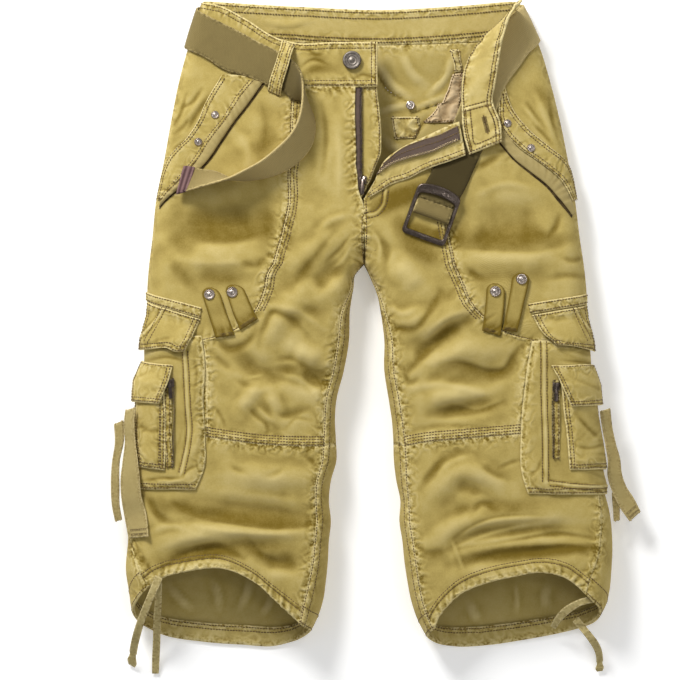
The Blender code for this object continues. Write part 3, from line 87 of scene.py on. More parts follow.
# One row for each section across the shorts, from the waist to the hems
SECTIONS = [
    # y, left outer, right outer, height
    (356.8, -190.3, 154, 20),
    (334.8, -198, 165, 21),
    (301.8, -207.9, 179.3, 23),
    (268.8, -216.7, 189.2, 26),
    (224.8, -225.5, 200.2, 30),
    (180.8, -233.2, 209, 34),
    (136.8, -242, 216.7, 37),
    (92.8, -246.4, 222.2, 40),
    (54.3, -250.8, 227.7, 42),
    (15.8, -251.9, 229.9, 44),
    (-17.2, -249.7, 227.7, 45),
    (-50.2, -250.8, 228.8, 45),
    (-83.2, -257.4, 231, 45),
    (-127.2, -262.9, 237.6, 45),
    (-171.2, -266.2, 245.3, 46),
    (-204.2, -271.7, 254.1, 47),
    (-237.2, -272.8, 257.4, 48),
    (-270.2, -275, 256.3, 50),
    (-292.2, -271.7, 254.1, 50),
    (-308.7, -269.5, 249.7, 50),
    (-325.2, -265.1, 239.8, 50),
    (-341.7, -257.4, 227.7, 50),
    (-363.7, -240.9, 205.7, 50),
]

# One row for each section of the legs: inner edges, and how far each seam lies in from its edge
LEGS = [
    # y, left inner, right inner, left inseam, right inseam, left outseam, right outseam
    (66.4, -14.3, -14.3, 0, 0, 0, 0),
    (54.3, -24.8, -8.2, 0, 0, 0, 0),
    (37.8, -26.4, -1.1, 3, 2, 0, 0),
    (15.8, -29.7, 3.3, 9, 5, 0, 0),
    (-17.2, -30.8, 7.7, 12, 9, 0, 0),
    (-50.2, -36.3, 7.7, 12, 11, 0, 0),
    (-83.2, -44.6, 12.7, 12, 12, 0, 0),
    (-105.2, -46.2, 16, 12, 12, 0, 0),
    (-127.2, -45.1, 17.6, 14, 13, 0, 0),
    (-149.2, -44.6, 18.2, 16, 14, 0, 2),
    (-171.2, -50.6, 20.9, 16, 12, 0, 5),
    (-193.2, -52.8, 25.3, 15, 10, 1, 9),
    (-215.2, -50.6, 24.2, 16, 12, 2, 12),
    (-237.2, -52.8, 27.5, 16, 12, 4, 15),
    (-259.2, -53.9, 29.7, 17, 13, 12, 19),
    (-281.2, -56.1, 33, 19, 13, 22, 26),
    (-303.2, -59.4, 37.4, 21, 13, 22, 26),
    (-325.2, -67.1, 45.1, 18, 13, 16, 20),
    (-347.2, -80.3, 58.3, 14, 12, 14, 16),
    (-363.7, -93.5, 73.7, 14, 12, 14, 16),
]

# Folds: height at the line, reach on the left and right of it as it is walked, and its points
FOLDS = [
    # height, reach left, reach right, points (x, y)
    (-7, 34, 30, [(-211.2, 112.6), (-123.2, 117)]),
    (5, 26, 26, [(-222.2, 68.6), (-126.5, 79.6)]),
    (5, 22, 20, [(-84.7, 68.6), (-40.7, 101.6)]),
    (-5, 18, 16, [(-71.5, 37.8), (-35.2, 68.6)]),
    (5, 24, 20, [(-126.5, -22.7), (-84.7, 26.8), (-46.2, 35.6)]),
    (-5, 20, 20, [(-159.5, -30.4), (-126.5, -52.4), (-84.7, -52.4)]),
    (5, 20, 16, [(-93.5, -30.4), (-60.5, -41.4)]),
    (-5, 16, 16, [(-84.7, -63.4), (-46.2, -59)]),
    (4, 14, 14, [(-150.7, -96.4), (-126.5, -61.2)]),
    (4, 12, 12, [(-104.5, -105.2), (-117.7, -72.2)]),
    (6, 22, 22, [(-159.5, -162.4), (-62.7, -169)]),
    (-6, 24, 18, [(-64.9, -213), (-205.7, -193.2)]),
    (6, 20, 18, [(-249.7, -242.7), (-189.2, -228.4), (-68.2, -224)]),
    (-5, 18, 16, [(-233.2, -259.2), (-205.7, -250.4), (-159.5, -247.1)]),
    (-4, 16, 14, [(-126.5, -259.2), (-84.7, -261.4)]),
    (-7, 34, 30, [(102.3, 112.6), (188.1, 112.6)]),
    (5, 24, 24, [(102.3, 73), (201.3, 76.3)]),
    (5, 20, 20, [(16.5, 68.6), (47.3, 37.8)]),
    (5, 20, 24, [(16.5, 2.6), (60.5, 7), (102.3, 26.8)]),
    (-5, 22, 18, [(25.3, -19.4), (58.3, -26), (96.8, -1.8)]),
    (4, 22, 18, [(47.3, -52.4), (82.5, -30.4), (140.8, -28.2)]),
    (-4, 20, 20, [(69.3, -54.6), (113.3, -59), (144.1, -41.4)]),
    (5, 16, 18, [(49.5, -83.2), (102.3, -74.4)]),
    (-5, 14, 14, [(58.3, -99.7), (135.3, -83.2)]),
    (6, 22, 20, [(52.8, -193.2), (93.5, -160.2), (146.3, -182.2)]),
    (-2, 14, 12, [(82.5, -173.4), (115.5, -182.2)]),
    (6, 18, 20, [(52.8, -246), (85.8, -220.7), (184.8, -208.6)]),
    (-5, 16, 18, [(85.8, -237.2), (135.3, -226.2), (228.8, -224)]),
    (3, 14, 14, [(82.5, -250.4), (135.3, -237.2), (201.3, -232.8)]),
    (-4, 15, 15, [(80.3, -261.4), (113.3, -254.8), (201.3, -246)]),
]

# Creases that are too fine for the frame, in the same columns
CREASES = [
    # height, reach left, reach right, points (x, y)
    (-2.0, 12, 10, [(-210, 97), (-168, 92), (-122, 100)]),
    (1.4, 9, 10, [(-219, 71), (-167, 66), (-126, 75)]),
    (-2.0, 12, 8, [(-151, 69), (-131, 64), (-118, 77)]),
    (-2.8, 12, 12, [(-41, 108), (-57, 88), (-76, 64), (-94, 40)]),
    (2.2, 8, 5, [(-65, 102), (-50, 113), (-30, 119)]),
    (1.8, 5, 4, [(-52, 58), (-38, 69), (-28, 86)]),
    (-1.8, 4, 4, [(-56, 69), (-43, 80), (-30, 97)]),
    (-3.2, 6, 14, [(-131, -24), (-124, -4), (-114, 14), (-96, 7), (-76, -11)]),
    (2.6, 10, 8, [(-113, 18), (-89, 14), (-60, -4)]),
    (-3.0, 14, 6, [(-116, -40), (-95, -37), (-72, -49), (-50, -55)]),
    (-2.4, 8, 10, [(-85, -46), (-67, -59), (-52, -70)]),
    (2.2, 7, 6, [(-113, -52), (-80, -63), (-56, -85)]),
    (-2.6, 13, 6, [(-118, -94), (-100, -100), (-76, -92)]),
    (-2.8, 7, 9, [(-177, -17), (-161, -26), (-143, -20), (-131, -6)]),
    (-2.0, 8, 8, [(-182, -30), (-170, -41), (-157, -50)]),
    (1.4, 4, 2.5, [(-142, -58), (-133, -57), (-125, -55)]),
    (-1.8, 9, 7, [(-157, -59), (-142, -66), (-126, -68)]),
    (-2.4, 6, 4, [(-142, -90), (-131, -101), (-121, -110), (-120, -121)]),
    (-1.8, 5, 4, [(-180, -86), (-170, -101), (-165, -114)]),
    (1.8, 5, 4, [(-133, -88), (-118, -103), (-104, -110)]),
    (-1.6, 5, 4, [(-100, -114), (-89, -103), (-72, -105)]),
    (-1.6, 6, 5, [(-160, -154), (-151, -159), (-142, -161)]),
    (-1.7, 6, 5, [(-123, -165), (-113, -164), (-102, -157)]),
    (-2.4, 8, 4, [(-79, -143), (-72, -149), (-65, -160)]),
    (-3.2, 15, 5, [(-221, -196), (-204, -205), (-179, -211), (-148, -217), (-116, -221), (-78, -220)]),
    (2.6, 5, 9, [(-210, -216), (-173, -223), (-126, -228), (-76, -226)]),
    (-2.6, 7, 15, [(-142, -231), (-133, -246), (-116, -257), (-94, -262)]),
    (-3.2, 8, 4, [(-236, -271), (-221, -258), (-202, -248), (-179, -244), (-161, -248), (-146, -255)]),
    (-2.6, 8, 8, [(-254, -187), (-248, -193), (-241, -206), (-226, -217)]),
    (2.0, 8, 6, [(-250, -228), (-226, -220), (-204, -224)]),
    (-2.0, 6, 6, [(-263, -250), (-252, -261), (-245, -275)]),
    (-2.0, 9, 7, [(1, 97), (10, 80), (8, 62)]),
    (1.8, 4, 4, [(-6, 102), (3, 86), (1, 69)]),
    (-3.2, 8, 9, [(6, 11), (19, -2), (41, -4), (53, 9), (69, 36)]),
    (2.2, 9, 5, [(8, 22), (28, 11), (47, 20)]),
    (-3.4, 8, 13, [(100, 3), (78, -8), (59, -24), (45, -39), (30, -55)]),
    (2.8, 10, 8, [(107, 16), (76, 7), (52, -13)]),
    (-3.4, 6, 15, [(70, -44), (87, -41), (104, -46), (122, -52), (138, -50), (151, -30), (164, -15)]),
    (-2.0, 7, 7, [(29, -55), (36, -63), (47, -57)]),
    (2.2, 9, 7, [(30, -72), (69, -66), (120, -77)]),
    (-3.0, 4, 15, [(82, -88), (107, -95), (138, -84)]),
    (-2.2, 7, 7, [(108, 170), (118, 176), (135, 185)]),
    (1.8, 7, 7, [(109, 141), (135, 152), (173, 148)]),
    (-2.6, 22, 8, [(87, 84), (135, 80), (179, 81), (199, 88)]),
    (-2.2, 7, 5, [(188, 97), (195, 106), (199, 119)]),
    (-2.2, 8, 5, [(201, 73), (212, 69), (226, 73)]),
    (-1.8, 8, 6, [(186, 49), (204, 53), (228, 51)]),
    (-1.8, 7, 7, [(98, 62), (107, 53), (120, 49)]),
    (-2.4, 7, 8, [(48, -178), (57, -165), (72, -147)]),
    (2.2, 7, 7, [(67, -160), (82, -149), (102, -143)]),
    (-2.2, 9, 6, [(111, -151), (124, -162), (140, -169)]),
    (-1.6, 4, 4, [(131, -157), (144, -151), (157, -147)]),
    (-3.4, 14, 4, [(82, -234), (98, -222), (125, -211), (154, -208), (186, -208)]),
    (-2.2, 8, 5, [(104, -206), (113, -195), (129, -202)]),
    (2.6, 4, 7, [(87, -242), (113, -231), (148, -222), (186, -216)]),
    (-3.4, 4, 10, [(88, -244), (124, -239), (154, -234), (201, -228), (239, -233)]),
    (-2.8, 8, 12, [(153, -250), (190, -244), (236, -244)]),
    (1.8, 3, 4, [(80, -233), (87, -250), (94, -268)]),
    (-1.8, 9, 9, [(38, -237), (52, -248), (76, -246)]),
    (-1.8, 6, 7, [(38, -116), (69, -110), (109, -112)]),
    (-2.6, 5, 4, [(-208, 212), (-197, 229), (-184, 247)]),
    (-2.6, 4, 4, [(-216, 236), (-204, 242), (-192, 258)]),
    (2.2, 5, 4, [(-212, 220), (-200, 236), (-188, 253)]),
    (-2.0, 4, 4, [(-221, 209), (-212, 216), (-206, 227)]),
    (-2.4, 5, 4, [(164, 242), (175, 223), (188, 203)]),
    (2.0, 6, 5, [(173, 251), (184, 225), (197, 201)]),
    (-2.0, 5, 4, [(188, 247), (192, 218), (201, 192)]),
    (1.8, 12, 12, [(-160, 216), (-142, 192), (-140, 163)]),
    (-1.8, 14, 12, [(-126, 242), (-122, 214), (-126, 183)]),
    (-1.6, 7, 6, [(-60, 242), (-56, 203), (-60, 163)]),
    (1.6, 10, 8, [(-45, 225), (-41, 181), (-43, 141)]),
    (-2.6, 4, 3, [(-209, 252), (-214, 234), (-222, 218)]),
    (-3.0, 3, 3, [(-223, 191), (-217, 195), (-208, 201)]),
    (2.4, 4, 4, [(158, 240), (173, 224), (187, 205)]),
    (-2.8, 5, 3, [(170, 219), (180, 209), (190, 197)]),
    (-2.2, 4, 3, [(-246, -23), (-234, -17), (-221, -14)]),
    (-2.8, 4, 3, [(-260, -28), (-235, -23), (-219, -30)]),
    (2.2, 3, 3, [(-256, -35), (-230, -29), (-204, -24)]),
    (-2.2, 3, 3, [(-250, -40), (-226, -36), (-208, -41)]),
    (-2.4, 4, 3, [(-268, -81), (-254, -64), (-239, -50)]),
    (1.8, 4, 3, [(-262, -84), (-249, -71), (-239, -61)]),
    (-1.8, 8, 8, [(-258, -105), (-243, -116), (-230, -112)]),
    (-2.4, 3, 3, [(-257, -171), (-236, -168), (-212, -168)]),
    (2.0, 3, 3, [(-250, -176), (-226, -173), (-201, -165)]),
    (-2.4, 3, 3, [(-212, -165), (-205, -158), (-196, -154)]),
    (2.2, 8, 5, [(-204, -151), (-197, -127), (-191, -107)]),
    (-2.0, 5, 4, [(-199, -72), (-196, -57), (-199, -35)]),
    (-2.6, 4, 3, [(188, -15), (208, -22), (234, -30)]),
    (2.4, 3, 3, [(204, -30), (221, -36), (239, -39)]),
    (-2.4, 3, 3, [(199, -39), (219, -42), (238, -46)]),
    (-2.4, 4, 3, [(210, -59), (223, -68), (239, -78)]),
    (1.8, 3, 3, [(214, -56), (228, -63), (239, -69)]),
    (-2.8, 5, 3, [(212, -96), (222, -113), (234, -128)]),
    (-1.8, 4, 4, [(212, -132), (228, -136), (241, -127)]),
    (-2.4, 3, 3, [(160, -166), (172, -160), (178, -145)]),
    (-2.4, 3, 3, [(164, -169), (175, -179), (192, -186)]),
    (2.0, 5, 5, [(168, -151), (185, -178), (218, -184)]),
    (-2.0, 4, 3, [(179, 14), (192, 5), (208, 7)]),
    (-1.8, 3, 3, [(208, 16), (214, 7), (217, -6)]),
    (-2.0, 4, 3, [(-85, 280), (-72, 289), (-52, 284)]),
    (-2.2, 3, 3, [(-28, 267), (-16, 273), (-3, 269)]),
    (-1.8, 3, 3, [(-78, 304), (-67, 295), (-58, 297)]),
]

# Creases of the back, seen through the open waist and hems, in the same columns
BACK_CREASES = [
    # height, reach left, reach right, points (x, y)
    (3.2, 9, 5, [(1, 284), (15, 263), (34, 249)]),
    (-2.6, 3, 3, [(-1, 280), (12, 258), (32, 246)]),
    (-2.4, 3, 3, [(38, 232), (56, 239), (76, 244)]),
    (-2.2, 3, 3, [(78, 284), (72, 273), (63, 263)]),
    (-2.0, 4, 4, [(45, 212), (50, 220), (56, 228)]),
    (2.4, 5, 5, [(4, 234), (21, 239), (38, 241)]),
    (2.6, 6, 8, [(58, 253), (74, 273), (84, 295)]),
    (2.2, 5, 4, [(41, 236), (56, 242), (76, 251)]),
    (2.0, 8, 8, [(8, 207), (16, 196), (30, 192)]),
    (2.0, 6, 10, [(28, 300), (38, 278), (54, 264)]),
    (1.8, 5, 4, [(-126, 333), (-100, 329), (-72, 334)]),
    (2.2, 7, 7, [(-228, -288), (-217, -301), (-206, -312)]),
    (2.0, 6, 8, [(-179, -283), (-174, -299), (-173, -312)]),
    (2.0, 8, 6, [(-140, -279), (-144, -297), (-151, -312)]),
    (1.8, 6, 6, [(-116, -299), (-120, -310), (-126, -319)]),
    (2.0, 8, 8, [(102, -305), (107, -319), (113, -327)]),
    (2.2, 4, 4, [(153, -288), (154, -303), (153, -316)]),
    (2.0, 8, 8, [(188, -286), (185, -301), (188, -312)]),
]

# Painted shade (below 0) and painted light (above 0): shadows such as those under the belt tail and the
# turned corner, dark troughs and lit ridges, in the same columns
PAINTED_SHADE_AND_LIGHT = [
    # shade below 0 or light above 0, reach left, reach right, points (x, y)
    (-1.5, 30, 20, [(-221, 115), (-178, 99), (-118, 104)]),
    (-0.55, 14, 14, [(-124, 141), (-120, 113), (-120, 69)]),
    (-1.0, 14, 14, [(-228, 102), (-212, 86), (-190, 80)]),
    (-2.6, 14, 14, [(23, 113), (45, 99), (69, 95), (87, 97)]),
    (-1.9, 7, 7, [(-208, -256), (-182, -246), (-155, -250)]),
    (-0.8, 9, 10, [(-234, 84), (-219, 62), (-199, 38)]),
    (-0.6, 8, 8, [(-190, 53), (-164, 48), (-140, 53)]),
    (-0.5, 6, 8, [(-153, 69), (-140, 71), (-124, 70)]),
    (-0.5, 8, 8, [(-96, 141), (-96, 104), (-107, 69)]),
    (-0.5, 8, 6, [(-182, -127), (-129, -132), (-60, -136)]),
    (-0.6, 10, 12, [(-166, 183), (-142, 192), (-113, 203)]),
    (-0.6, 8, 8, [(-221, 227), (-219, 207), (-230, 192)]),
    (-0.6, 6, 8, [(170, 269), (186, 242), (197, 212)]),
    (-2.2, 14, 16, [(-6, 126), (16, 135), (58, 152)]),
    (-1.6, 14, 12, [(25, 97), (41, 82), (72, 69)]),
    (-1.3, 6, 6, [(-85, 272), (-65, 280), (-43, 278)]),
    (-1.2, 5, 5, [(-78, 302), (-67, 293), (-54, 289)]),
    (-0.5, 5, 5, [(-25, 269), (-12, 275), (-2, 271)]),
    (-0.6, 9, 9, [(98, 60), (111, 47), (118, 33)]),
    (-0.6, 20, 20, [(-52, 97), (-72, 69), (-89, 44)]),
    (0.5, 14, 14, [(-47, 60), (-45, 27), (-47, -6)]),
    (0.7, 22, 18, [(-111, -13), (-85, -24), (-60, -30)]),
    (-0.6, 14, 16, [(-177, -26), (-151, -30), (-126, -6)]),
    (-0.6, 12, 14, [(-111, -44), (-85, -52), (-56, -66)]),
    (0.5, 12, 12, [(-173, -83), (-151, -85), (-111, -70)]),
    (0.6, 12, 10, [(-102, -68), (-72, -79), (-52, -96)]),
    (-0.5, 12, 12, [(-116, -92), (-89, -96), (-72, -88)]),
    (0.8, 18, 12, [(-188, -173), (-140, -173), (-72, -178)]),
    (-1.9, 14, 8, [(-239, -195), (-199, -206), (-151, -215), (-72, -222)]),
    (0.6, 6, 8, [(-230, -231), (-182, -228), (-126, -235), (-78, -239)]),
    (-1.0, 16, 16, [(-144, -239), (-118, -249), (-85, -252)]),
    (-1.6, 12, 5, [(-241, -268), (-202, -252), (-170, -246), (-146, -255)]),
    (-0.6, 12, 12, [(-263, -246), (-250, -259), (-241, -266)]),
    (-0.6, 12, 12, [(-252, -193), (-239, -202), (-226, -215)]),
    (-1.4, 24, 12, [(80, 95), (135, 88), (201, 92)]),
    (0.6, 16, 16, [(120, 141), (148, 141), (179, 130)]),
    (0.5, 12, 10, [(94, 73), (135, 73), (188, 73)]),
    (-0.5, 10, 10, [(-1, 102), (8, 82), (6, 60)]),
    (0.55, 18, 20, [(23, 69), (47, 53), (56, 33)]),
    (-0.7, 10, 12, [(12, 3), (38, -6), (56, 7), (78, 31)]),
    (-0.8, 8, 14, [(98, -2), (67, -19), (47, -39), (30, -57)]),
    (0.6, 14, 14, [(65, -30), (87, -19), (111, -13)]),
    (-0.75, 10, 16, [(74, -44), (104, -48), (135, -52), (157, -24)]),
    (0.6, 10, 10, [(30, -74), (69, -68), (126, -79)]),
    (-0.7, 8, 16, [(82, -92), (109, -101), (140, -90)]),
    (-0.6, 14, 12, [(52, -173), (63, -156), (76, -140)]),
    (0.6, 14, 14, [(76, -176), (109, -171), (142, -176)]),
    (-0.6, 10, 8, [(113, -154), (129, -162), (146, -165)]),
    (-0.9, 15, 4, [(85, -231), (111, -213), (154, -205), (184, -205)]),
    (0.8, 6, 7, [(89, -238), (125, -226), (184, -216), (236, -215)]),
    (-1.9, 9, 14, [(91, -252), (125, -247), (179, -244), (245, -243)]),
    (0.6, 12, 14, [(102, -268), (122, -255), (138, -246)]),
    (-0.5, 14, 14, [(38, -242), (58, -250), (76, -250)]),
    (-0.6, 8, 8, [(102, 168), (120, 176), (135, 185)]),
    (-0.5, 12, 12, [(-210, 212), (-199, 234), (-186, 251)]),
    (-0.4, 14, 14, [(-124, 236), (-120, 203), (-126, 170)]),
    (-0.4, 10, 12, [(-85, 225), (-72, 181), (-72, 137)]),
    (0.4, 12, 12, [(-45, 225), (-41, 181), (-45, 132)]),
    (0.4, 12, 14, [(-164, 214), (-146, 192), (-151, 176)]),
]

WAIST_TOP_LEFT = [(-193.6, 353.5), (-170.5, 348), (-145.2, 334.8), (-105.6, 311.7), (-90.2, 307.9),
                  (-46.2, 308.4), (0, 308.4)]
WAIST_SEAM_LEFT = [(-205.7, 313.9), (-185.9, 306.2), (-166.1, 293), (-126.5, 268.8), (-95.7, 261.1),
                   (-46.2, 260), (0, 260)]
CURVED_SEAM_LEFT = [(-91.3, 260), (-93.5, 211.6), (-95.7, 169.8), (-95.7, 141.2), (-102.3, 102.7),
                    (-112.2, 66.4),
                    (-122.1, 38.9), (-135.3, 10.3), (-152.9, -5.1), (-176, -13.9), (-190.3, -17.2)]
SIDE_SEAM_LEFT = [(-190.3, -17.2), (-187, -43.6), (-185.9, -70), (-185.9, -96.4), (-184.8, -122.8)]
FLY_EDGE_LEFT = [(-24.2, 260), (-24.2, 213.8), (-23.7, 175.3), (-20.9, 147.8), (-16.5, 134.6),
                 (-14.9, 101.6),
                 (-14.4, 66.4)]
KNEE_LEFT = [(-184.8, -122.8), (-128.7, -130.5), (-84.7, -132.7)]
TURN_LINE = [(-14.3, 136.8), (6.6, 170.9), (27.5, 191.8), (66, 209.4), (88, 220.4), (92.4, 238),
             (92.4, 262.2),
             (97.9, 287.5), (119.9, 315), (140.8, 330.4), (168.3, 332.6)]
TURN_SPLIT = 3
FLY_EDGE_RIGHT = [(-14.2, 66.4), (-13.8, 101.6), (-14.3, 136.8)]
CURVED_SEAM_RIGHT = [(66, 209.4), (69.3, 147.8), (77, 96.1), (81.4, 74.1), (91.3, 46.6), (101.2, 23.5),
                     (118.8, 4.8), (140.8, -9.5), (168.3, -17.2)]
SIDE_SEAM_RIGHT = [(168.3, -17.2), (163.9, -50.2), (159.5, -83.2), (156.2, -119.5)]
KNEE_RIGHT = [(156.2, -119.5), (91.3, -125), (47.3, -129.4)]
BAND_SEAM_OUTER_Y = 313.9
SIDE_TOP_Y = -15
TURN_OUTER_Y = 332.6
KNEE_Y = -132.7
KNEE_OUTER_Y = -120.6
HEM_FRONT_LEFT = [(-248.6, -285.6), (-237.6, -277.9), (-202.4, -268), (-169.4, -265.8),
                  (-133.1, -281.2), (-111.1, -301),
                  (-94.6, -316.4), (-85.2, -325.2)]
HEM_FRONT_RIGHT = [(61.6, -331.8), (73.7, -309.8), (91.3, -293.3), (119.9, -281.2), (148.5, -274.6),
                   (178.2, -270.2),
                   (203.5, -275.7), (216.7, -284.5), (225.5, -292.7)]
HEM_OUTER_LEFT = [(-254.1, -290), (-264.6, -303.2)]
HEM_OUTER_RIGHT = [(234.3, -301), (244.2, -313.1)]
HEM_INNER_LEFT = [(-78.1, -330.7)]
HEM_INNER_RIGHT = [(55, -338.4)]
# Lower edge of the back hems over the width of a leg
HEM_BACK_LEFT = [
    # share of the width from the outer edge, y
    (0.0, -316.4), (0.04, -331.8), (0.12, -340.6), (0.35, -348.3), (0.6, -351.6), (0.85, -352.7),
    (0.95, -347.2), (1.0, -336.2)]
HEM_BACK_RIGHT = [
    (0.0, -323), (0.05, -332.9), (0.15, -338.4), (0.4, -347.2), (0.65, -352.7), (0.85, -353.8),
    (0.95, -351.6), (1.0, -342.8)]
HEM_DEPTH = 21.0
WAIST_TOP_BACK = [(-191.4, 354.1), (-139.7, 350.8), (-84.7, 348), (3.3, 344.7), (80.3, 348), (155.1, 353.8)]
WAIST_SEAM_BACK = [(-203.5, 313.9), (-139.7, 310.6), (-84.7, 308.4), (3.3, 307.3), (80.3, 309.5),
                   (171.6, 313.9)]

BAND_MIDDLE_Y = 330.4
BAND_PROUD = 0.8
BELT_DROP = 3.3
BELT_JOINT_U = 0.12
BELT_WRAP_Y = 349.7
BELT_LEFT_TOP_Y = 345.8
BELT_LEFT_LOW_Y = 303.3
BELT_LEFT_UPPER = [(-189.2, 339.2), (-150.7, 319.4), (-110, 297.4), (-103.4, 293.9)]
BELT_LEFT_LOWER = [(-185.9, 291.1), (-166.7, 278.3), (-139.7, 270.5), (-124.3, 263.9), (-117.7, 261.1)]
BELT_TILT = 5.0
BELT_RIGHT_TOP_Y = 349.1
BELT_RIGHT_LOW_Y = 310.6
BELT_RIGHT = [
    # upper edge x, y, lower edge x, y
    (143, 332.6, 168.3, 299.6),
    (126.5, 310.6, 155.1, 282),
    (110, 284.2, 139.7, 260),
    (96.8, 255.6, 130.9, 235.8),
    (88, 231.4, 124.3, 213.8),
    (79.2, 209.4, 115.5, 192.9),
    (69.3, 186.3, 105.6, 170.9),
    (57.2, 161, 94.6, 146.7),
    (44.1, 138.9, 82.4, 126.8),
]
BELT_RIGHT_LIFTS = [1.4, 1.4, 0.8, 0.8, 3.4, 3.4]
BACK_LOOPS = [("back_left", -128.7), ("back_centre", -7.7), ("back_right", 102.3)]
FRONT_LOOP = [
    # left edge x, y, lift, right edge x, y, lift
    (-104.5, 309.5, 1.4, -90.2, 304, 1.4),
    (-105.6, 304, 6.5, -92.4, 299.6, 9.0),
    (-106.7, 299.6, 9.6, -93.5, 295.2, 15),
    (-111.1, 285.3, 8.6, -97.4, 280.9, 14),
    (-117.2, 267.7, 6.2, -103.4, 262.2, 9.5),
    (-118.3, 262.2, 5, -104.5, 256.7, 8),
    (-119.9, 256.2, 1.4, -105.6, 250.1, 1.4),
]
BELT_TAIL = [
    # high edge x, y, lift, low edge x, y, lift
    (-102.1, 293.2, 7.6, -116.4, 260.1, 2.6),
    (-92.4, 287.5, 12.5, -102.3, 255.1, 3.4),
    (-82.9, 272.1, 25, -93.5, 245.7, 2.5),
    (-81.2, 254.5, 33, -81.4, 242.4, 2),
    (-82.4, 236.5, 35, -71.5, 231.4, 2),
    (-87.3, 218.2, 35, -68.2, 216, 2),
    (-95.3, 205, 34, -72.6, 194, 2),
    (-108.7, 191.6, 32, -84.7, 178.6, 2),
    (-126.7, 177, 32, -102, 166.9, 2),
    (-144.7, 166.9, 33, -128.7, 158.8, 2),
    (-160.4, 159.1, 33, -155.1, 157.7, 2),
    (-178.3, 153.4, 29, -178.3, 166.9, 3.5),
    (-195.1, 148.9, 21, -194, 169.2, 4),
    (-211.8, 144, 12, -204.1, 171.4, 4),
]
TAIL_BINDING = [(-207.4, 145.4, 14, -199.7, 170.7, 5.5), (-214.1, 143.5, 11, -206.1, 171.8, 4.6),
                (-218.5, 142.3, 9, -210.8, 172, 4)]
TURNED_BAND = [
    # seam edge x, y, lift, top edge x, y, lift
    (149.6, 345.8, 3, 156.2, 353.5, 30),
    (137.5, 333.7, 2.5, 149.6, 348, 36),
    (118.8, 317.2, 2.5, 135.3, 312.8, 34),
    (97.9, 287.5, 3.2, 131.6, 288.6, 24),
    (92.4, 262.2, 4.8, 127.6, 260, 16),
    (92.4, 238, 5.6, 125.4, 245.7, 11),
    (93.5, 213.8, 6.4, 134.2, 218.2, 10),
    (100.1, 185.2, 6.4, 135.3, 199.5, 9),
]
TURNED_FACING = [
    # lower edge x, y, lift, upper edge x, y, lift
    (-9.9, 137.9, 1.8, -5, 150, 1.8),
    (0.6, 143.7, 1.6, 0, 163.2, 1.8),
    (14.3, 152.2, 1.0, 6.6, 176.4, 1.4),
    (35.2, 159.5, 1.2, 27.5, 192.9, 1.6),
    (51.2, 167.9, 3.2, 47.3, 202.3, 3.6),
    (61.6, 172, 5.6, 59.4, 207.8, 5.8),
    (77.4, 177.3, 5.6, 75.9, 215.5, 5.6),
    (96.1, 184.4, 5.6, 89.1, 221, 5.6),
]
TURNED_TAPE = [
    # lower edge x, y, lift, upper edge x, y, lift
    (-1.1, 163.2, 3.6, 7.7, 176.4, 3.6),
    (14.3, 174.2, 3.8, 27.9, 192.4, 4.0),
    (35.3, 181.6, 5.0, 48.4, 200.6, 6.4),
    (59.5, 187.9, 8.2, 69.3, 207.2, 8.2),
    (77.4, 196.3, 8.2, 80.3, 212.7, 8.2),
    (90.2, 201.7, 8.2, 87.5, 216, 8.2),
]
TAPE_EDGE = [(-30.8, 258.9), (-30.8, 213.8), (-29.7, 175.3), (-27.5, 152.2), (-23.1, 143.4)]
TAPE_TEETH = [(-17.6, 258.9), (-17.6, 213.8), (-17.6, 175.3), (-17.6, 152.2), (-17.6, 143.4)]
SHIELD_LEFT = [(-30.8, 258.4), (-30.8, 235.8), (-30.8, 213.8), (-30.8, 191.8), (-29.7, 164.3),
               (-27.5, 147.8), (-24.2, 135.7)]
SHIELD_RIGHT = [(0, 258.4), (2.2, 235.8), (4.4, 213.8), (4.4, 195.1), (-1.1, 173.1), (-8.8, 154.4),
                (-17.6, 135.7)]

BAR_CENTRE = (58.9, 119.2)
BUTTON_PLACE = (-27.5, 288.1)
BUTTON_LIFT = 1.6

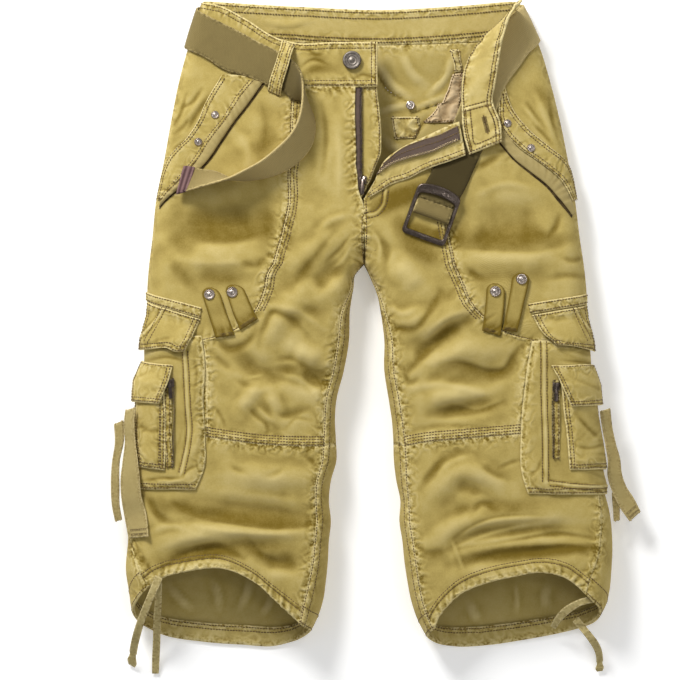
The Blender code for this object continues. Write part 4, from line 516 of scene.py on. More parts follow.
EDGE_WRAP = 34
POCKET_WALL = 1.4
POCKETS = [
    # name, side, flange lift, puff, outer line, inner line
    ("cargo_pocket_left", -1, 1.5, 3.2, [-12.8, -180],
     [(-191.4, -12.8), (-188.1, -61.2), (-188.1, -116.2), (-190.3, -162.4), (-198, -180)]),
    ("small_pocket_left", -1, 7.4, 2.6, [(-257.4, -54.6), (-257.4, -94.2), (-255.2, -155.8)],
     [(-229.9, -56.8), (-229.9, -105.2), (-231, -159.1)]),
    ("cargo_pocket_right", 1, 1.5, 3.2, [-17.2, -186.6],
     [(168.3, -18.3), (160.6, -66.7), (156.2, -117.3), (157.3, -162.4), (163.9, -184.4)]),
    ("small_pocket_right", 1, 7.4, 2.6, [(233.2, -59), (238.7, -105.2), (245.3, -160.2)],
     [(199.1, -61.2), (203.5, -105.2), (209, -158)]),
]
FLAPS = [
    # name, side, wall, finish, lifts down the piece, outer line, inner line
    ("pocket_band_left", -1, 1.4, "twill", [0.9, 0.9], [(-250.8, 35.6), (-250.8, 25.7)],
     [(-191.4, 18), (-193.6, 7)]),
    ("upper_flap_left", -1, 1.6, "twill", [0.9, 1.2, 5.2, 8.6, 9.2],
     [(-249.7, 24.6), (-249.7, 4.8), (-250.8, -28.2)], [(-193.1, 5.4), (-200.2, -10.6), (-209, -28.2)]),
    ("small_flap_left", -1, 1.4, "twill", [6.8, 13.4, 13.4], [(-250.8, -40.3), (-253, -66.7),
     (-255.2, -86.5)],
     [(-222.2, -44.7), (-227.7, -66.7), (-235.4, -87.6)]),
    ("pocket_band_right", 1, 1.4, "twill", [0.9, 0.9], [(227.7, 33.4), (227.7, 22.4)],
     [(165, 22.4), (167.2, 11.4)]),
    ("upper_flap_right", 1, 1.6, "twill", [0.9, 1.2, 5.2, 8.6, 9.2],
     [(227.7, 20.8), (227.7, -0.7), (227.7, -30.4)], [(168.3, 9.8), (178.2, -7.3), (193.6, -22.7)]),
    ("small_flap_right", 1, 1.4, "twill", [7.3, 13.4, 13.4], [(229.9, -44.7), (232.1, -66.7),
     (234.3, -89.8)],
     [(189.2, -44.7), (199.1, -66.7), (209, -89.8)]),
    ("slant_band_left", -1, 1.0, "twill", [1.6, 1.6],
     [(-169.4, 273.2), (-185.9, 245.7), (-196.9, 220.4), (-207.9, 203.9), (-227.7, 180.8), (-239.8, 136.8)],
     [(-130.9, 271), (-149.6, 247.2), (-165, 223.3), (-180.1, 203.9), (-196.9, 177.5), (-232.1, 137.9)]),
    ("slant_band_right", 1, 1.0, "twill", [1.6, 1.6],
     [(138.6, 262.2), (149.1, 233.6), (165, 213.8), (189.2, 192.9), (207.9, 174.2), (216.7, 137.9)],
     [(133.1, 260), (137, 212.7), (156.2, 191.8), (176.4, 177.5), (196.9, 161), (212.3, 134.6)]),
    ("piping_left", -1, 1.8, "webbing", [0.9, 0.9],
     [(-132, 269.9), (-150.7, 246.1), (-166.1, 222.2), (-181.2, 202.8), (-198, 176.4), (-233.2, 136.8)],
     [(-125.4, 263.9), (-144.1, 238), (-156.2, 222.6), (-170.5, 201.7), (-189.2, 174.8), (-236.5, 129.1)]),
    ("piping_right", 1, 1.8, "webbing", [0.9, 0.9],
     [(137, 212.7), (155.1, 190.7), (175.3, 176.4), (195.8, 159.9), (211.2, 133.5), (214.5, 121.4)],
     [(134.2, 199.5), (151.2, 179.7), (167.2, 167.1), (187, 151.1), (201.3, 134.6), (212.3, 119.2)]),
    ("mouth_left", -1, 0.5, "lining_shadow", [0.3, 0.3],
     [(-126.5, 264.4), (-145.2, 238.5), (-157.3, 223.1), (-171.6, 202.2), (-190.3, 175.3), (-237.6, 129.1)],
     [(-123, 262.7), (-142, 236.7), (-154.1, 221.1), (-168.3, 200.2), (-187.2, 173.4), (-237.6, 125.8)]),
    ("mouth_right", 1, 0.5, "lining_shadow", [0.3, 0.3],
     [(135.3, 200.2), (152.4, 180.6), (168.3, 168), (188.1, 152), (202.4, 135.5), (213, 119.2)],
     [(133.3, 197.1), (150, 178), (166.1, 164.8), (185.5, 148.7), (198.7, 132.4), (211.9, 116.4)]),
    ("tab_left_1", -1, 1.4, "twill", [1.4, 1.4], [(-192.5, 38.9), (-184.8, 14.7), (-176, -14.4)],
     [(-173.8, 40), (-166.1, 16.9), (-155.7, -11.7)]),
    ("tab_left_2", -1, 1.4, "twill", [1.4, 1.4], [(-167.2, 42.2), (-159.5, 20.2), (-149.1, -6.2)],
     [(-148, 43.3), (-140.8, 26.8), (-130.4, 5.9)]),
    ("tab_right_1", 1, 1.4, "twill", [1.4, 1.4], [(138.1, 43.3), (137.5, 18), (133.7, -12.8)],
     [(118.8, 44.4), (117.7, 21.3), (114.4, -6.7)]),
    ("tab_right_2", 1, 1.4, "twill", [2.2, 2.2], [(166.1, 55.4), (159.5, 24.6), (151.8, -8.4)],
     [(147.4, 56.5), (143, 25.7), (136.4, -6.2)]),
]
STRAPS = [
    # name, node it stands for, rows of x, y, z at the left edge and the right edge
    ("strap_left", "strap_left", [
        (-273.9, -94.2, 42, -262.9, -90.9, 51), (-275.6, -109.6, 42, -264.6, -107.4, 51),
        (-274.5, -127.2, 41, -263.5, -125, 50), (-277.2, -151.4, 41, -260.7, -147, 53),
        (-279.4, -171.2, 41, -258.5, -166.8, 54), (-278.3, -191, 40, -256.9, -186.6, 53),
        (-275, -210.8, 38, -251.9, -204.2, 51.9), (-270.6, -232.8, 42, -248.6, -230.6, 59)]),
    ("strap_right", "strap_right", [
        (243.1, -95.3, 36, 254.1, -92, 33), (245.9, -114, 34, 256.3, -111.8, 31),
        (249.7, -133.8, 33, 260.7, -131.6, 30), (252.1, -149.2, 32, 265.1, -147, 29),
        (251.7, -164.6, 32, 267.3, -164.6, 29), (256.9, -182.2, 30, 272.8, -178.9, 27),
        (264, -197.6, 28, 279.4, -188.8, 26), (276.1, -215.2, 27, 287.7, -204.8, 26)]),
    ("under_strap_left", "", [
        (-287.1, -109.6, 34, -277.2, -105.2, 36), (-286, -127.2, 34, -276.7, -127.2, 36),
        (-289.3, -151.4, 32, -281.1, -149.2, 35),
        (-290.4, -180, 31, -281.6, -180, 34), (-289.3, -198.7, 30, -281.6, -196.5, 33),
        (-286, -215.2, 29, -278.9, -213, 32)]),
    ("under_strap_right", "", [
        (256.9, -184.4, 26, 265.1, -184.4, 24), (257.4, -193.2, 25, 265.1, -193.2, 23),
        (258.5, -204.2, 24, 265.1, -202, 23),
        (259.1, -215.2, 24, 265.1, -214.1, 23)]),
]
TIES = [
    # name, rows of x, y, z at the left edge and the right edge
    ("tie_left_1", [
        (-243.1, -272.4, 54.6, -232.1, -277.9, 56.3), (-250.8, -292.2, 54, -240.9, -296.6, 54),
        (-259.6, -313.1, 46, -249.7, -317.5, 46),
        (-267.3, -334, 34, -256.3, -337.3, 33), (-272.8, -356, 14, -261.8, -359.3, 13),
        (-275, -371.4, 2, -264, -378, 2)]),
    ("tie_left_2", [
        (-243.1, -281.2, 49, -233.2, -281.2, 49), (-244.2, -305.4, 40, -234.3, -305.4, 40),
        (-246.4, -327.4, 28, -235.4, -327.4, 27),
        (-247.5, -349.4, 14, -236.5, -349.4, 13), (-248.6, -369.2, 5, -237.6, -369.2, 5),
        (-248.6, -383.5, 1.5, -238.7, -383.5, 1.5)]),
    ("tie_right_1", [
        (234.3, -294.4, 44.6, 237.6, -304.3, 42.6), (218.9, -298.8, 45, 223.3, -307.6, 44),
        (204.6, -306.5, 38, 212.3, -315.3, 37),
        (195.8, -316.4, 28, 203.5, -324.1, 27), (189.2, -329.6, 15, 196.9, -334, 14)]),
    ("tie_right_2", [
        (213.4, -327.4, 18.4, 222.2, -319.7, 18.4), (223.3, -338.4, 28, 232.1, -332.9, 28),
        (232.1, -350.5, 24, 242, -345, 24),
        (238.7, -363.7, 10, 248.6, -360.4, 10), (239.8, -381.3, 2, 249.7, -380.2, 2)]),
]
TIE_WALL = 1.2
SLIDERS = [
    # name, x, y, lift, turn in degrees
    ("fly", -16.2, 157.7, -2.3, 0),
    ("cargo_left", -224.6, -64.5, 6.2, 2),
    ("cargo_right", 194, -67.8, 6.2, -2),
]
CARGO_TAPES = [
    # name, side, edge away from the teeth, edge with the teeth
    ("cargo_tape_left", -1, [(-228.3, -59), (-229, -155.8)], [(-220.6, -59), (-221.7, -155.8)]),
    ("cargo_tape_right", 1, [(198, -61.2), (198, -145.9)], [(190.3, -61.2), (190.3, -145.9)]),
]
STUDS = [
    # x, y, lift, radius, height
    (-177.3, 228.4, 2.6, 4.6, 1.9), (-195.3, 199.1, 2.6, 4.6, 1.9),
    (142.5, 219.3, 2.6, 4.6, 1.9), (167.8, 192.1, 2.6, 4.6, 1.9),
    (-182.6, 32.1, 2.8, 6.2, 2.4), (-158.1, 34.5, 2.8, 6.2, 2.4),
    (128.3, 35.6, 2.8, 6.2, 2.4), (156.9, 48.8, 3.6, 6.2, 2.4), (36.3, 240.8, -4.4, 5.0, 0.8),
]

# What shows on the inside of the back
INSIDE = [
    # name, finish, lift, edge on the left, edge on the right
    ("inside_patch", "twill_inside", 0.4, [(16, 228.1), (17.6, 216), (19.8, 203.9)],
     [(45.7, 228.1), (46.2, 216), (41.8, 205)]),
    ("inside_seam", "twill_inside", 0.2, [(80.3, 301.8), (83.1, 289.7), (85.2, 277.6)],
     [(90.2, 301.8), (92.4, 289.7), (94.6, 277.6)]),
    ("pocket_lining", "lining", 1.0, [(82.5, 275.4), (77, 255.6), (66, 238), (51.7, 221.5)],
     [(94.6, 276.5), (92.4, 255.6), (91.3, 238), (90.8, 222.6)]),
]

# Painted light and shade along the belt's right stretch and its tail, at shares of their length
BELT_SHARES = (0, 0.3, 0.45, 0.62, 0.8, 0.9, 1)
BELT_LIGHT_AND_SHADE = (0.7, 0.9, 0.8, 0.0, -1.3, -1.5, -0.6)
TAIL_SHARES = (0, 0.14, 0.3, 0.6, 0.75, 1)
TAIL_LIGHT_AND_SHADE = (-0.75, -0.6, 0.6, 1.0, 0.4, -0.1)

# Distances of rows of stitches from a border; by side, shares of a seam that they run over
SEAM_ROWS = (1.3, 5.4)
THIRD_ROW = 9.0
KNEE_ROWS = (1.3, 4.4, 7.5, 10.6)
HIP_ROW = 1.4
HEM_ROWS = (12.5, 17.0)
FELLED_ROWS = (1.0, 9.0)
BACK_HEM_ROWS = (2.0, 19.0)
BAND_ROWS = (2.0, 6.6)
FACING_ROWS = (2.0, 6.5)
TO_TABS = {-1: 0.6, 1: 0.575}
FLY_ROW = {-1: (0.37, 0.51, 2.0), 1: (0.02, 0.22, 3.6)}
SLANT_STARTS = {"slant_band_left": 0.03, "slant_band_right": 0.07}
TACK_SHARE = 0.8
BUTTONHOLE = [(116.1, 227), (120.5, 208.9)]

# Rows of stitches that cross a piece, with the distance to the second row on the line's left
DRAWN_ROWS = [
    # piece, gap, points (x, y)
    ("upper_flap_left", -4.4, [(-229.4, 19.1), (-239.8, -0.7), (-250.3, -19.4)]),
    ("upper_flap_right", 4.4, [(213.4, 16.9), (221.1, -0.7), (228.8, -17.2)]),
    ("cargo_pocket_left", 6.0, [(-212.3, -30.4), (-209.6, -83.2), (-207.9, -122.8), (-215.6, -160.2)]),
    ("cargo_pocket_right", 6.6, [(177.7, -19.4), (177.9, -76.6), (179.3, -127.2), (179.3, -170.1)]),
    ("cargo_pocket_right", 5.4, [(188.1, -175.6), (214.5, -178.9), (247.5, -181.1)]),
    ("small_pocket_left", 0.0, [(-236.5, -94.2), (-237.1, -122.8), (-237.6, -151.4)]),
    ("centre_front_right", -6.0, [(12.1, 144.5), (9.4, 129.1), (1.1, 119.2), (-12.1, 115.4)]),
    ("front_waistband_right", 0.0, [(96.3, 233.6), (97.9, 213.8), (102.9, 190.7)]),
    ("front_waistband_right", 0.0, [(101.2, 233.6), (103.4, 213.8), (106.7, 196.8), (117.7, 200.1),
     (129.2, 205.6)]),
    ("front_waistband_right", 0.0, [(119.9, 238), (127.6, 220.4), (129.2, 205.6)]),
    ("front_waistband_right", -4.6, [(94.6, 236.9), (106.7, 240.2), (119.9, 243.5)]),
]


class Border(IntEnum):
    """The four borders of a piece's grid."""

    TOP = 0
    BOTTOM = 1
    LEFT = 2
    RIGHT = 3


SIDES = (Border.LEFT, Border.RIGHT)


def ease(t: np.ndarray) -> np.ndarray:
    """Smooth step from 0 to 1."""
    t = np.clip(t, 0.0, 1.0)
    return t * t * (3 - 2 * t)


def through(nodes: Sequence, values: Sequence, at: np.ndarray) -> np.ndarray:
    """Values of a smooth curve through the nodes, level past its ends.

    Args:
        nodes: Where each value holds.
        values: The values, one row for each node.
        at: Where the curve is wanted.
    Returns:
        The curve's values there.
    """
    nodes, values = np.asarray(nodes, float), np.asarray(values, float)
    slopes = np.gradient(values, nodes, axis=0)
    at = np.clip(at, nodes[0], nodes[-1])
    i = np.clip(np.searchsorted(nodes, at) - 1, 0, len(nodes) - 2)
    step = nodes[i + 1] - nodes[i]
    t = (at - nodes[i]) / step
    if values.ndim == 2:
        step, t = step[..., None], t[..., None]
    return ((2 * t**3 - 3 * t**2 + 1) * values[i] + (t**3 - 2 * t**2 + t) * step * slopes[i]
            + (3 * t**2 - 2 * t**3) * values[i + 1] + (t**3 - t**2) * step * slopes[i + 1])


def lengths(points: np.ndarray, axis: int = 0) -> np.ndarray:
    """Run along a line, or along each line of a grid, from its start."""
    step = np.linalg.norm(np.diff(points, axis=axis), axis=-1)
    zero = np.zeros_like(np.take(step, [0], axis=axis))
    return np.concatenate([zero, np.cumsum(step, axis=axis)], axis=axis)


def scaled(points: np.ndarray) -> np.ndarray:
    """Points of (u, y) with u brought to about the same size as y."""
    return points * ([200.0, 1.0] if points.shape[1] == 2 else [1.0] * points.shape[1])


def sample(points: Sequence, count: int) -> np.ndarray:
    """Points spread evenly along a smooth curve through the given ones."""
    points = np.array(points, float)
    run = lengths(scaled(points))
    return through(run, points, np.linspace(0, run[-1], count + 1))


def sample_plan(points: Sequence, count: int) -> np.ndarray:
    """Places (x, y) spread evenly along a smooth curve through the given ones."""
    return sample(np.column_stack([np.array(points, float), np.zeros(len(points))]), count)[:, :2]


def bridged(first: np.ndarray, second: np.ndarray, count: int) -> np.ndarray:
    """Grid with a number of points on each straight line across from one line to another."""
    share = np.linspace(0, 1, count)[None, :, None]
    return first[:, None] * (1 - share) + second[:, None] * share


def shares(line: np.ndarray) -> np.ndarray:
    """Share of a line's length at each of its points."""
    run = lengths(scaled(line))
    return run / run[-1]


def resample(line: np.ndarray, count: int) -> np.ndarray:
    """A line's points spread evenly, at a new number of steps."""
    run, at = shares(line), np.linspace(0, 1, count + 1)
    return np.stack([np.interp(at, run, line[:, k]) for k in range(line.shape[1])], axis=-1)


def chain(*curves: np.ndarray) -> np.ndarray:
    """One line of points from curves that follow each other."""
    return np.concatenate([curves[0]] + [curve[1:] for curve in curves[1:]])


def coons(top: np.ndarray, bottom: np.ndarray, left: np.ndarray, right: np.ndarray) -> np.ndarray:
    """Grid of (u, y) that fills four border lines.

    Args:
        top: Border from left to right.
        bottom: Border from left to right.
        left: Border from the top down.
        right: Border from the top down.
    Returns:
        The grid, one row for each point of the left border.
    """
    s = ((shares(top) + shares(bottom)) / 2)[None, :, None]
    t = ((shares(left) + shares(right)) / 2)[:, None, None]
    across = (1 - t) * top[None] + t * bottom[None]
    down = (1 - s) * left[:, None] + s * right[:, None]
    corners = ((1 - s) * (1 - t) * top[0] + s * (1 - t) * top[-1]
               + (1 - s) * t * bottom[0] + s * t * bottom[-1])
    return across + down - corners


def blurred(height: np.ndarray, times: int) -> np.ndarray:
    """A height map smoothed by repeated averaging with its neighbours."""
    for _ in range(times):
        for axis in (0, 1):
            ahead, behind = np.roll(height, 1, axis), np.roll(height, -1, axis)
            height = (ahead + 2 * height + behind) / 4
    return height


def beside(line: np.ndarray, x: np.ndarray, y: np.ndarray) -> tuple:
    """Where places lie by a line.

    Args:
        line: The line's points (x, y).
        x: X of the places.
        y: Y of the places.
    Returns:
        Their distance, run along and offset to its left, and the line's length.
    """
    away, run, offset, start = np.full(x.shape, 1e9), np.zeros(x.shape), np.zeros(x.shape), 0.0
    for (ax, ay), (bx, by) in zip(line, line[1:]):
        dx, dy = bx - ax, by - ay
        length = math.hypot(dx, dy) + 1e-9
        t = np.clip(((x - ax) * dx + (y - ay) * dy) / length**2, 0, 1)
        off_x, off_y = x - ax - t * dx, y - ay - t * dy
        distance = np.hypot(off_x, off_y)
        closer = distance < away
        away = np.where(closer, distance, away)
        run = np.where(closer, start + t * length, run)
        offset = np.where(closer, (dx * off_y - dy * off_x) / length, offset)
        start += length
    return away, run, offset, start


@dataclass
class Relief:
    """Height of the folds, creases and seam puckers over the smooth top, held as a map, with a map of painted
    shade and light.
    """

    low: tuple[float, float] = (-300.0, -385.0)
    high: tuple[float, float] = (300.0, 385.0)
    step: float = 1.0
    pucker: float = 0.75
    pucker_reach: float = 9.0
    slack: float = 1.6
    seed: int = 7
    height: np.ndarray = field(init=False)
    tone: np.ndarray = field(init=False)

    def __post_init__(self) -> None:
        """Lay the folds, the creases and the painted shade and light."""
        self.xs = np.arange(self.low[0], self.high[0] + self.step, self.step)
        self.ys = np.arange(self.low[1], self.high[1] + self.step, self.step)
        self.height = np.zeros((len(self.ys), len(self.xs)))
        self.shade = np.zeros_like(self.height)
        self.random = np.random.default_rng(self.seed)
        for row in FOLDS:
            self.add_fold(self.height, 2.0, *row)
        sharp, self.back = np.zeros_like(self.height), np.zeros_like(self.height)
        for row in CREASES:
            self.add_fold(sharp if min(row[1:3]) < 5 else self.height, 1.6, *row)
        self.height = blurred(self.height, 7) + 0.6 * blurred(sharp, 2)
        for row in BACK_CREASES:
            self.add_fold(self.back, 2.0, *row)
        for row in PAINTED_SHADE_AND_LIGHT:
            self.add_fold(self.shade, 2.0, *row)
        loose = self.random.normal(0, 1, self.height.shape)
        loose = blurred(loose, 90)
        self.height += self.slack * loose / np.abs(loose).max()

    def near(self, line: np.ndarray, reach: float) -> tuple:
        """The window of the map round a line, and where its places lie by the line."""
        low = np.maximum(((line.min(0) - reach - self.low) / self.step).astype(int), 0)
        high = np.maximum(((line.max(0) + reach - self.low) / self.step).astype(int) + 2, low + 1)
        window = slice(low[1], high[1]), slice(low[0], high[0])
        return window, *beside(line, *np.meshgrid(self.xs[window[1]], self.ys[window[0]]))

    def add_fold(self, field_map: np.ndarray, power: float, height: float, left: float, right: float,
                 points: Sequence) -> None:
        """Add a ridge or a trough along a line to a map.

        Args:
            field_map: The map that it is added to.
            power: Shape of its sides, 2 for a round one and less for a sharp crest.
            height: Height at the line.
            left: Reach on the left of the line as it is walked.
            right: Reach on its right.
            points: The line's points.
        """
        line = sample_plan(points, 6 * len(points))
        window, away, run, offset, length = self.near(line, max(left, right))
        reach = (left + right) / 2 + offset / (away + 1e-6) * (left - right) / 2
        share = np.clip(away / reach, 0, 1)
        side = np.cos(math.pi / 2 * share) ** 2 if power == 2.0 else (1 - share) ** power
        along = np.clip(np.minimum(run, length - run) / (0.34 * length), 0, 1)
        field_map[window] += height * side * (0.3 + 0.7 * ease(along))

    def add_pucker(self, line: np.ndarray, strength: float = 1.0) -> None:
        """Add the ripples that thread pulls into the cloth beside a seam.

        Args:
            line: The seam's points (x, y).
            strength: Share of the usual height.
        """
        window, away, run, offset, _ = self.near(line, self.pucker_reach * 2)
        phases = self.random.uniform(0, 2 * math.pi, 6)
        slant = run + 0.7 * offset * np.sin(run / 31 + phases[3])
        wave = (np.sin(slant * 2 * math.pi / 8.3 + phases[0] + 1.5 * np.sin(run / 17 + phases[4]))
                + 0.8 * np.sin(slant * 2 * math.pi / 13.7 + phases[1])
                + 0.5 * np.sin(slant * 2 * math.pi / 5.6 + phases[2]))
        power = 0.6 + 0.4 * np.sin(run / 23 + phases[5])
        self.height[window] += (self.pucker * strength * power * wave / 1.6
                                * np.exp(-((away / self.pucker_reach) ** 2)))

    def finish(self) -> None:
        """Work out each place's tone: ridges lighter and troughs darker, partly wash wear and partly painted
        light and shade, with the table of painted shade and light added in.
        """
        fine = (self.height - blurred(self.height, 8)) / 0.3
        broad = (self.height - blurred(self.height, 90)) / 1.7
        tone = 0.45 * np.tanh(fine) + 0.5 * np.tanh(broad) + 0.8 * blurred(self.shade, 16)
        self.tone = np.tanh(np.where(tone > 0, 0.6, 1.35) * tone)
        # The back seen through the openings: painted light overall, lighter on its ridges and painted shade
        # in its troughs.
        self.back_tone = np.clip(0.25 + (self.back - blurred(self.back, 60)) / 1.2, -1, 1)

    def at(self, values: np.ndarray, x: np.ndarray, y: np.ndarray) -> np.ndarray:
        """Values of a map at places, between its points."""
        j = np.clip((x - self.low[0]) / self.step, 0, len(self.xs) - 1.001)
        i = np.clip((y - self.low[1]) / self.step, 0, len(self.ys) - 1.001)
        j0, i0 = j.astype(int), i.astype(int)
        fj, fi = j - j0, i - i0
        return ((values[i0, j0] * (1 - fj) + values[i0, j0 + 1] * fj) * (1 - fi)
                + (values[i0 + 1, j0] * (1 - fj) + values[i0 + 1, j0 + 1] * fj) * fi)


@dataclass
class Wrap:
    """The surface that a side of the shorts lies in, over the top and back under the leg."""

    relief: Relief
    sections: np.ndarray = field(default_factory=lambda: np.array(sorted(SECTIONS), float))
    legs: np.ndarray = field(default_factory=lambda: np.array(sorted(LEGS), float))

    def section(self, index: int, y: np.ndarray) -> np.ndarray:
        """A column of the sections table at each y."""
        return through(self.sections[:, 0], self.sections[:, index], y)

    def outer_edge(self, side: int, y: np.ndarray) -> np.ndarray:
        """X of a side's outer edge."""
        return self.section(1 if side < 0 else 2, y)

    def inner_edge(self, side: int, y: np.ndarray, upper: np.ndarray) -> np.ndarray:
        """X of a side's inner edge: the inside of the leg, and above the crotch the centre line."""
        leg = through(self.legs[:, 0], self.legs[:, 1 if side < 0 else 2], y)
        reach = FLY_REACH * ease((y - FLY_BOTTOM_Y) / (FLY_TOP_Y - FLY_BOTTOM_Y)) * (side < 0)
        return np.where(y > CROTCH_Y, CENTRE_X + np.where(upper, reach, 0.0), leg)

    def plan(self, side: int, u: np.ndarray, y: np.ndarray) -> dict[str, np.ndarray]:
        """Where a place lies in plan, and the parts that its height is made from."""
        u, y = np.broadcast_arrays(np.round(u, 9), np.asarray(y, float))
        u = np.where(y > CROTCH_Y + 1e-6, np.clip(u, -1, 1), u)
        upper = ((u > 0) & (u <= 1)) | (u < -1)
        t = np.where(u > 1, 2 - u, np.where(u < -1, 2 + u, np.abs(u)))
        outer, half = self.outer_edge(side, y), self.section(3, y) / 2
        span = np.abs(self.inner_edge(side, y, upper) - outer)
        bend = np.minimum(EDGE_ROUND, 1.1 * half)
        arc = math.pi / 2 * np.sqrt((bend**2 + half**2) / 2)
        length = 2 * arc + span - 2 * bend
        run = t * length
        joined = np.sin(math.pi / 2 * np.clip((y - CROTCH_Y) / CROTCH_DIP, 0, 1))
        turn_out = np.clip(run / arc, 0, 1) * math.pi / 2
        turn_in = np.clip((length - run) / arc, 0, 1) * math.pi / 2
        from_outer = bend * (1 - np.cos(turn_out))
        from_inner = bend * ((1 - joined) * (1 - np.cos(turn_in)) + joined * turn_in * 2 / math.pi)
        middle = np.clip(run - arc, 0, span - 2 * bend)
        x = outer - side * (from_outer + middle + bend - from_inner)
        rise = np.sin(turn_out) * (np.sin(turn_in) * (1 - joined) + joined)
        crown = ((1 - joined) * LEG_CROWN * np.sin(math.pi * t)
                 + joined * HIP_CROWN * np.sin(math.pi / 2 * t))
        return {"x": x, "y": y, "half": half, "rise": rise, "crown": crown, "upper": upper}

    def base(self, side: int, u: np.ndarray, y: np.ndarray) -> np.ndarray:
        """Points of a side's wrapped surface."""
        p = self.plan(side, u, y)
        raised = BELT_STACK * ease((p["y"] - RAISE_START_Y) / (RAISE_END_Y - RAISE_START_Y))
        folds = self.relief.at(self.relief.height, p["x"], p["y"])
        top = p["half"] * (1 + p["rise"]) + p["rise"] * (p["crown"] + folds)
        raised = raised + self.relief.at(self.relief.back, p["x"], p["y"])
        bottom = p["half"] * (1 - p["rise"]) + p["rise"] * raised
        return np.stack([p["x"], p["y"], np.where(p["upper"], top, bottom)], axis=-1)

    def tone_at(self, points: np.ndarray) -> np.ndarray:
        """The top's tone at a piece's points: wear with painted light and shade."""
        return self.relief.at(self.relief.tone, points[..., 0], points[..., 1])

    def surface(self, side: int, u: np.ndarray, y: np.ndarray) -> tuple[np.ndarray, np.ndarray]:
        """Points of a side's wrapped surface and its outward normals there."""
        u, y = np.broadcast_arrays(np.asarray(u, float), np.asarray(y, float))
        limit = np.where(y > CROTCH_Y, 1.0, 2.0)
        ahead = self.base(side, np.minimum(u + 4e-3, limit), y)
        behind = self.base(side, np.maximum(u - 4e-3, -limit), y)
        ahead_y = np.where(np.abs(y - CROTCH_Y) < 0.8, CROTCH_Y, y + 0.8)
        along = self.base(side, u, ahead_y) - self.base(side, u, y - 0.8)
        normal = -side * np.cross(ahead - behind, along)
        normal /= np.linalg.norm(normal, axis=-1, keepdims=True)
        return self.base(side, u, y), normal

    def find_u(self, side: int, x: np.ndarray, y: np.ndarray, upper: bool = True) -> np.ndarray:
        """The u of places on the top, or on the underside, from their x and y."""
        x, y = np.broadcast_arrays(np.asarray(x, float), np.asarray(y, float))
        low, high = np.full(x.shape, 1e-6), np.ones(x.shape)
        for _ in range(22):
            middle = (low + high) / 2
            short = (self.plan(side, middle if upper else -middle, y)["x"] - x) * -side < 0
            low, high = np.where(short, middle, low), np.where(short, high, middle)
        share = (low + high) / 2
        return share if upper else -share

    def on_top(self, side: int, points: Sequence) -> np.ndarray:
        """(u, y) of places drawn on the top."""
        points = np.array(points, float)
        return np.stack([self.find_u(side, points[:, 0], points[:, 1]), points[:, 1]], axis=-1)

    def top_height(self, x: float, y: float) -> float:
        """Height of the top surface at a place."""
        side = -1 if x < CENTRE_X else 1
        return float(self.base(side, self.find_u(side, x, y), y)[..., 2])

    def drawn(self, points: Sequence, lift: float, count: int) -> tuple[np.ndarray, np.ndarray]:
        """A smooth line drawn on the top.

        Args:
            points: Places (x, y) that the line goes through.
            lift: Height over the surface.
            count: Steps along the line.
        Returns:
            Its points and the normals there.
        """
        line = sample_plan(points, count)
        side = np.where(line[:, 0] < CENTRE_X, -1, 1)
        result, normals = np.zeros((len(line), 3)), np.zeros((len(line), 3))
        for one in (-1, 1):
            mask = side == one
            if mask.any():
                u = self.find_u(one, line[mask, 0], line[mask, 1])
                result[mask], normals[mask] = self.surface(one, u, line[mask, 1])
        return result + normals * lift, normals


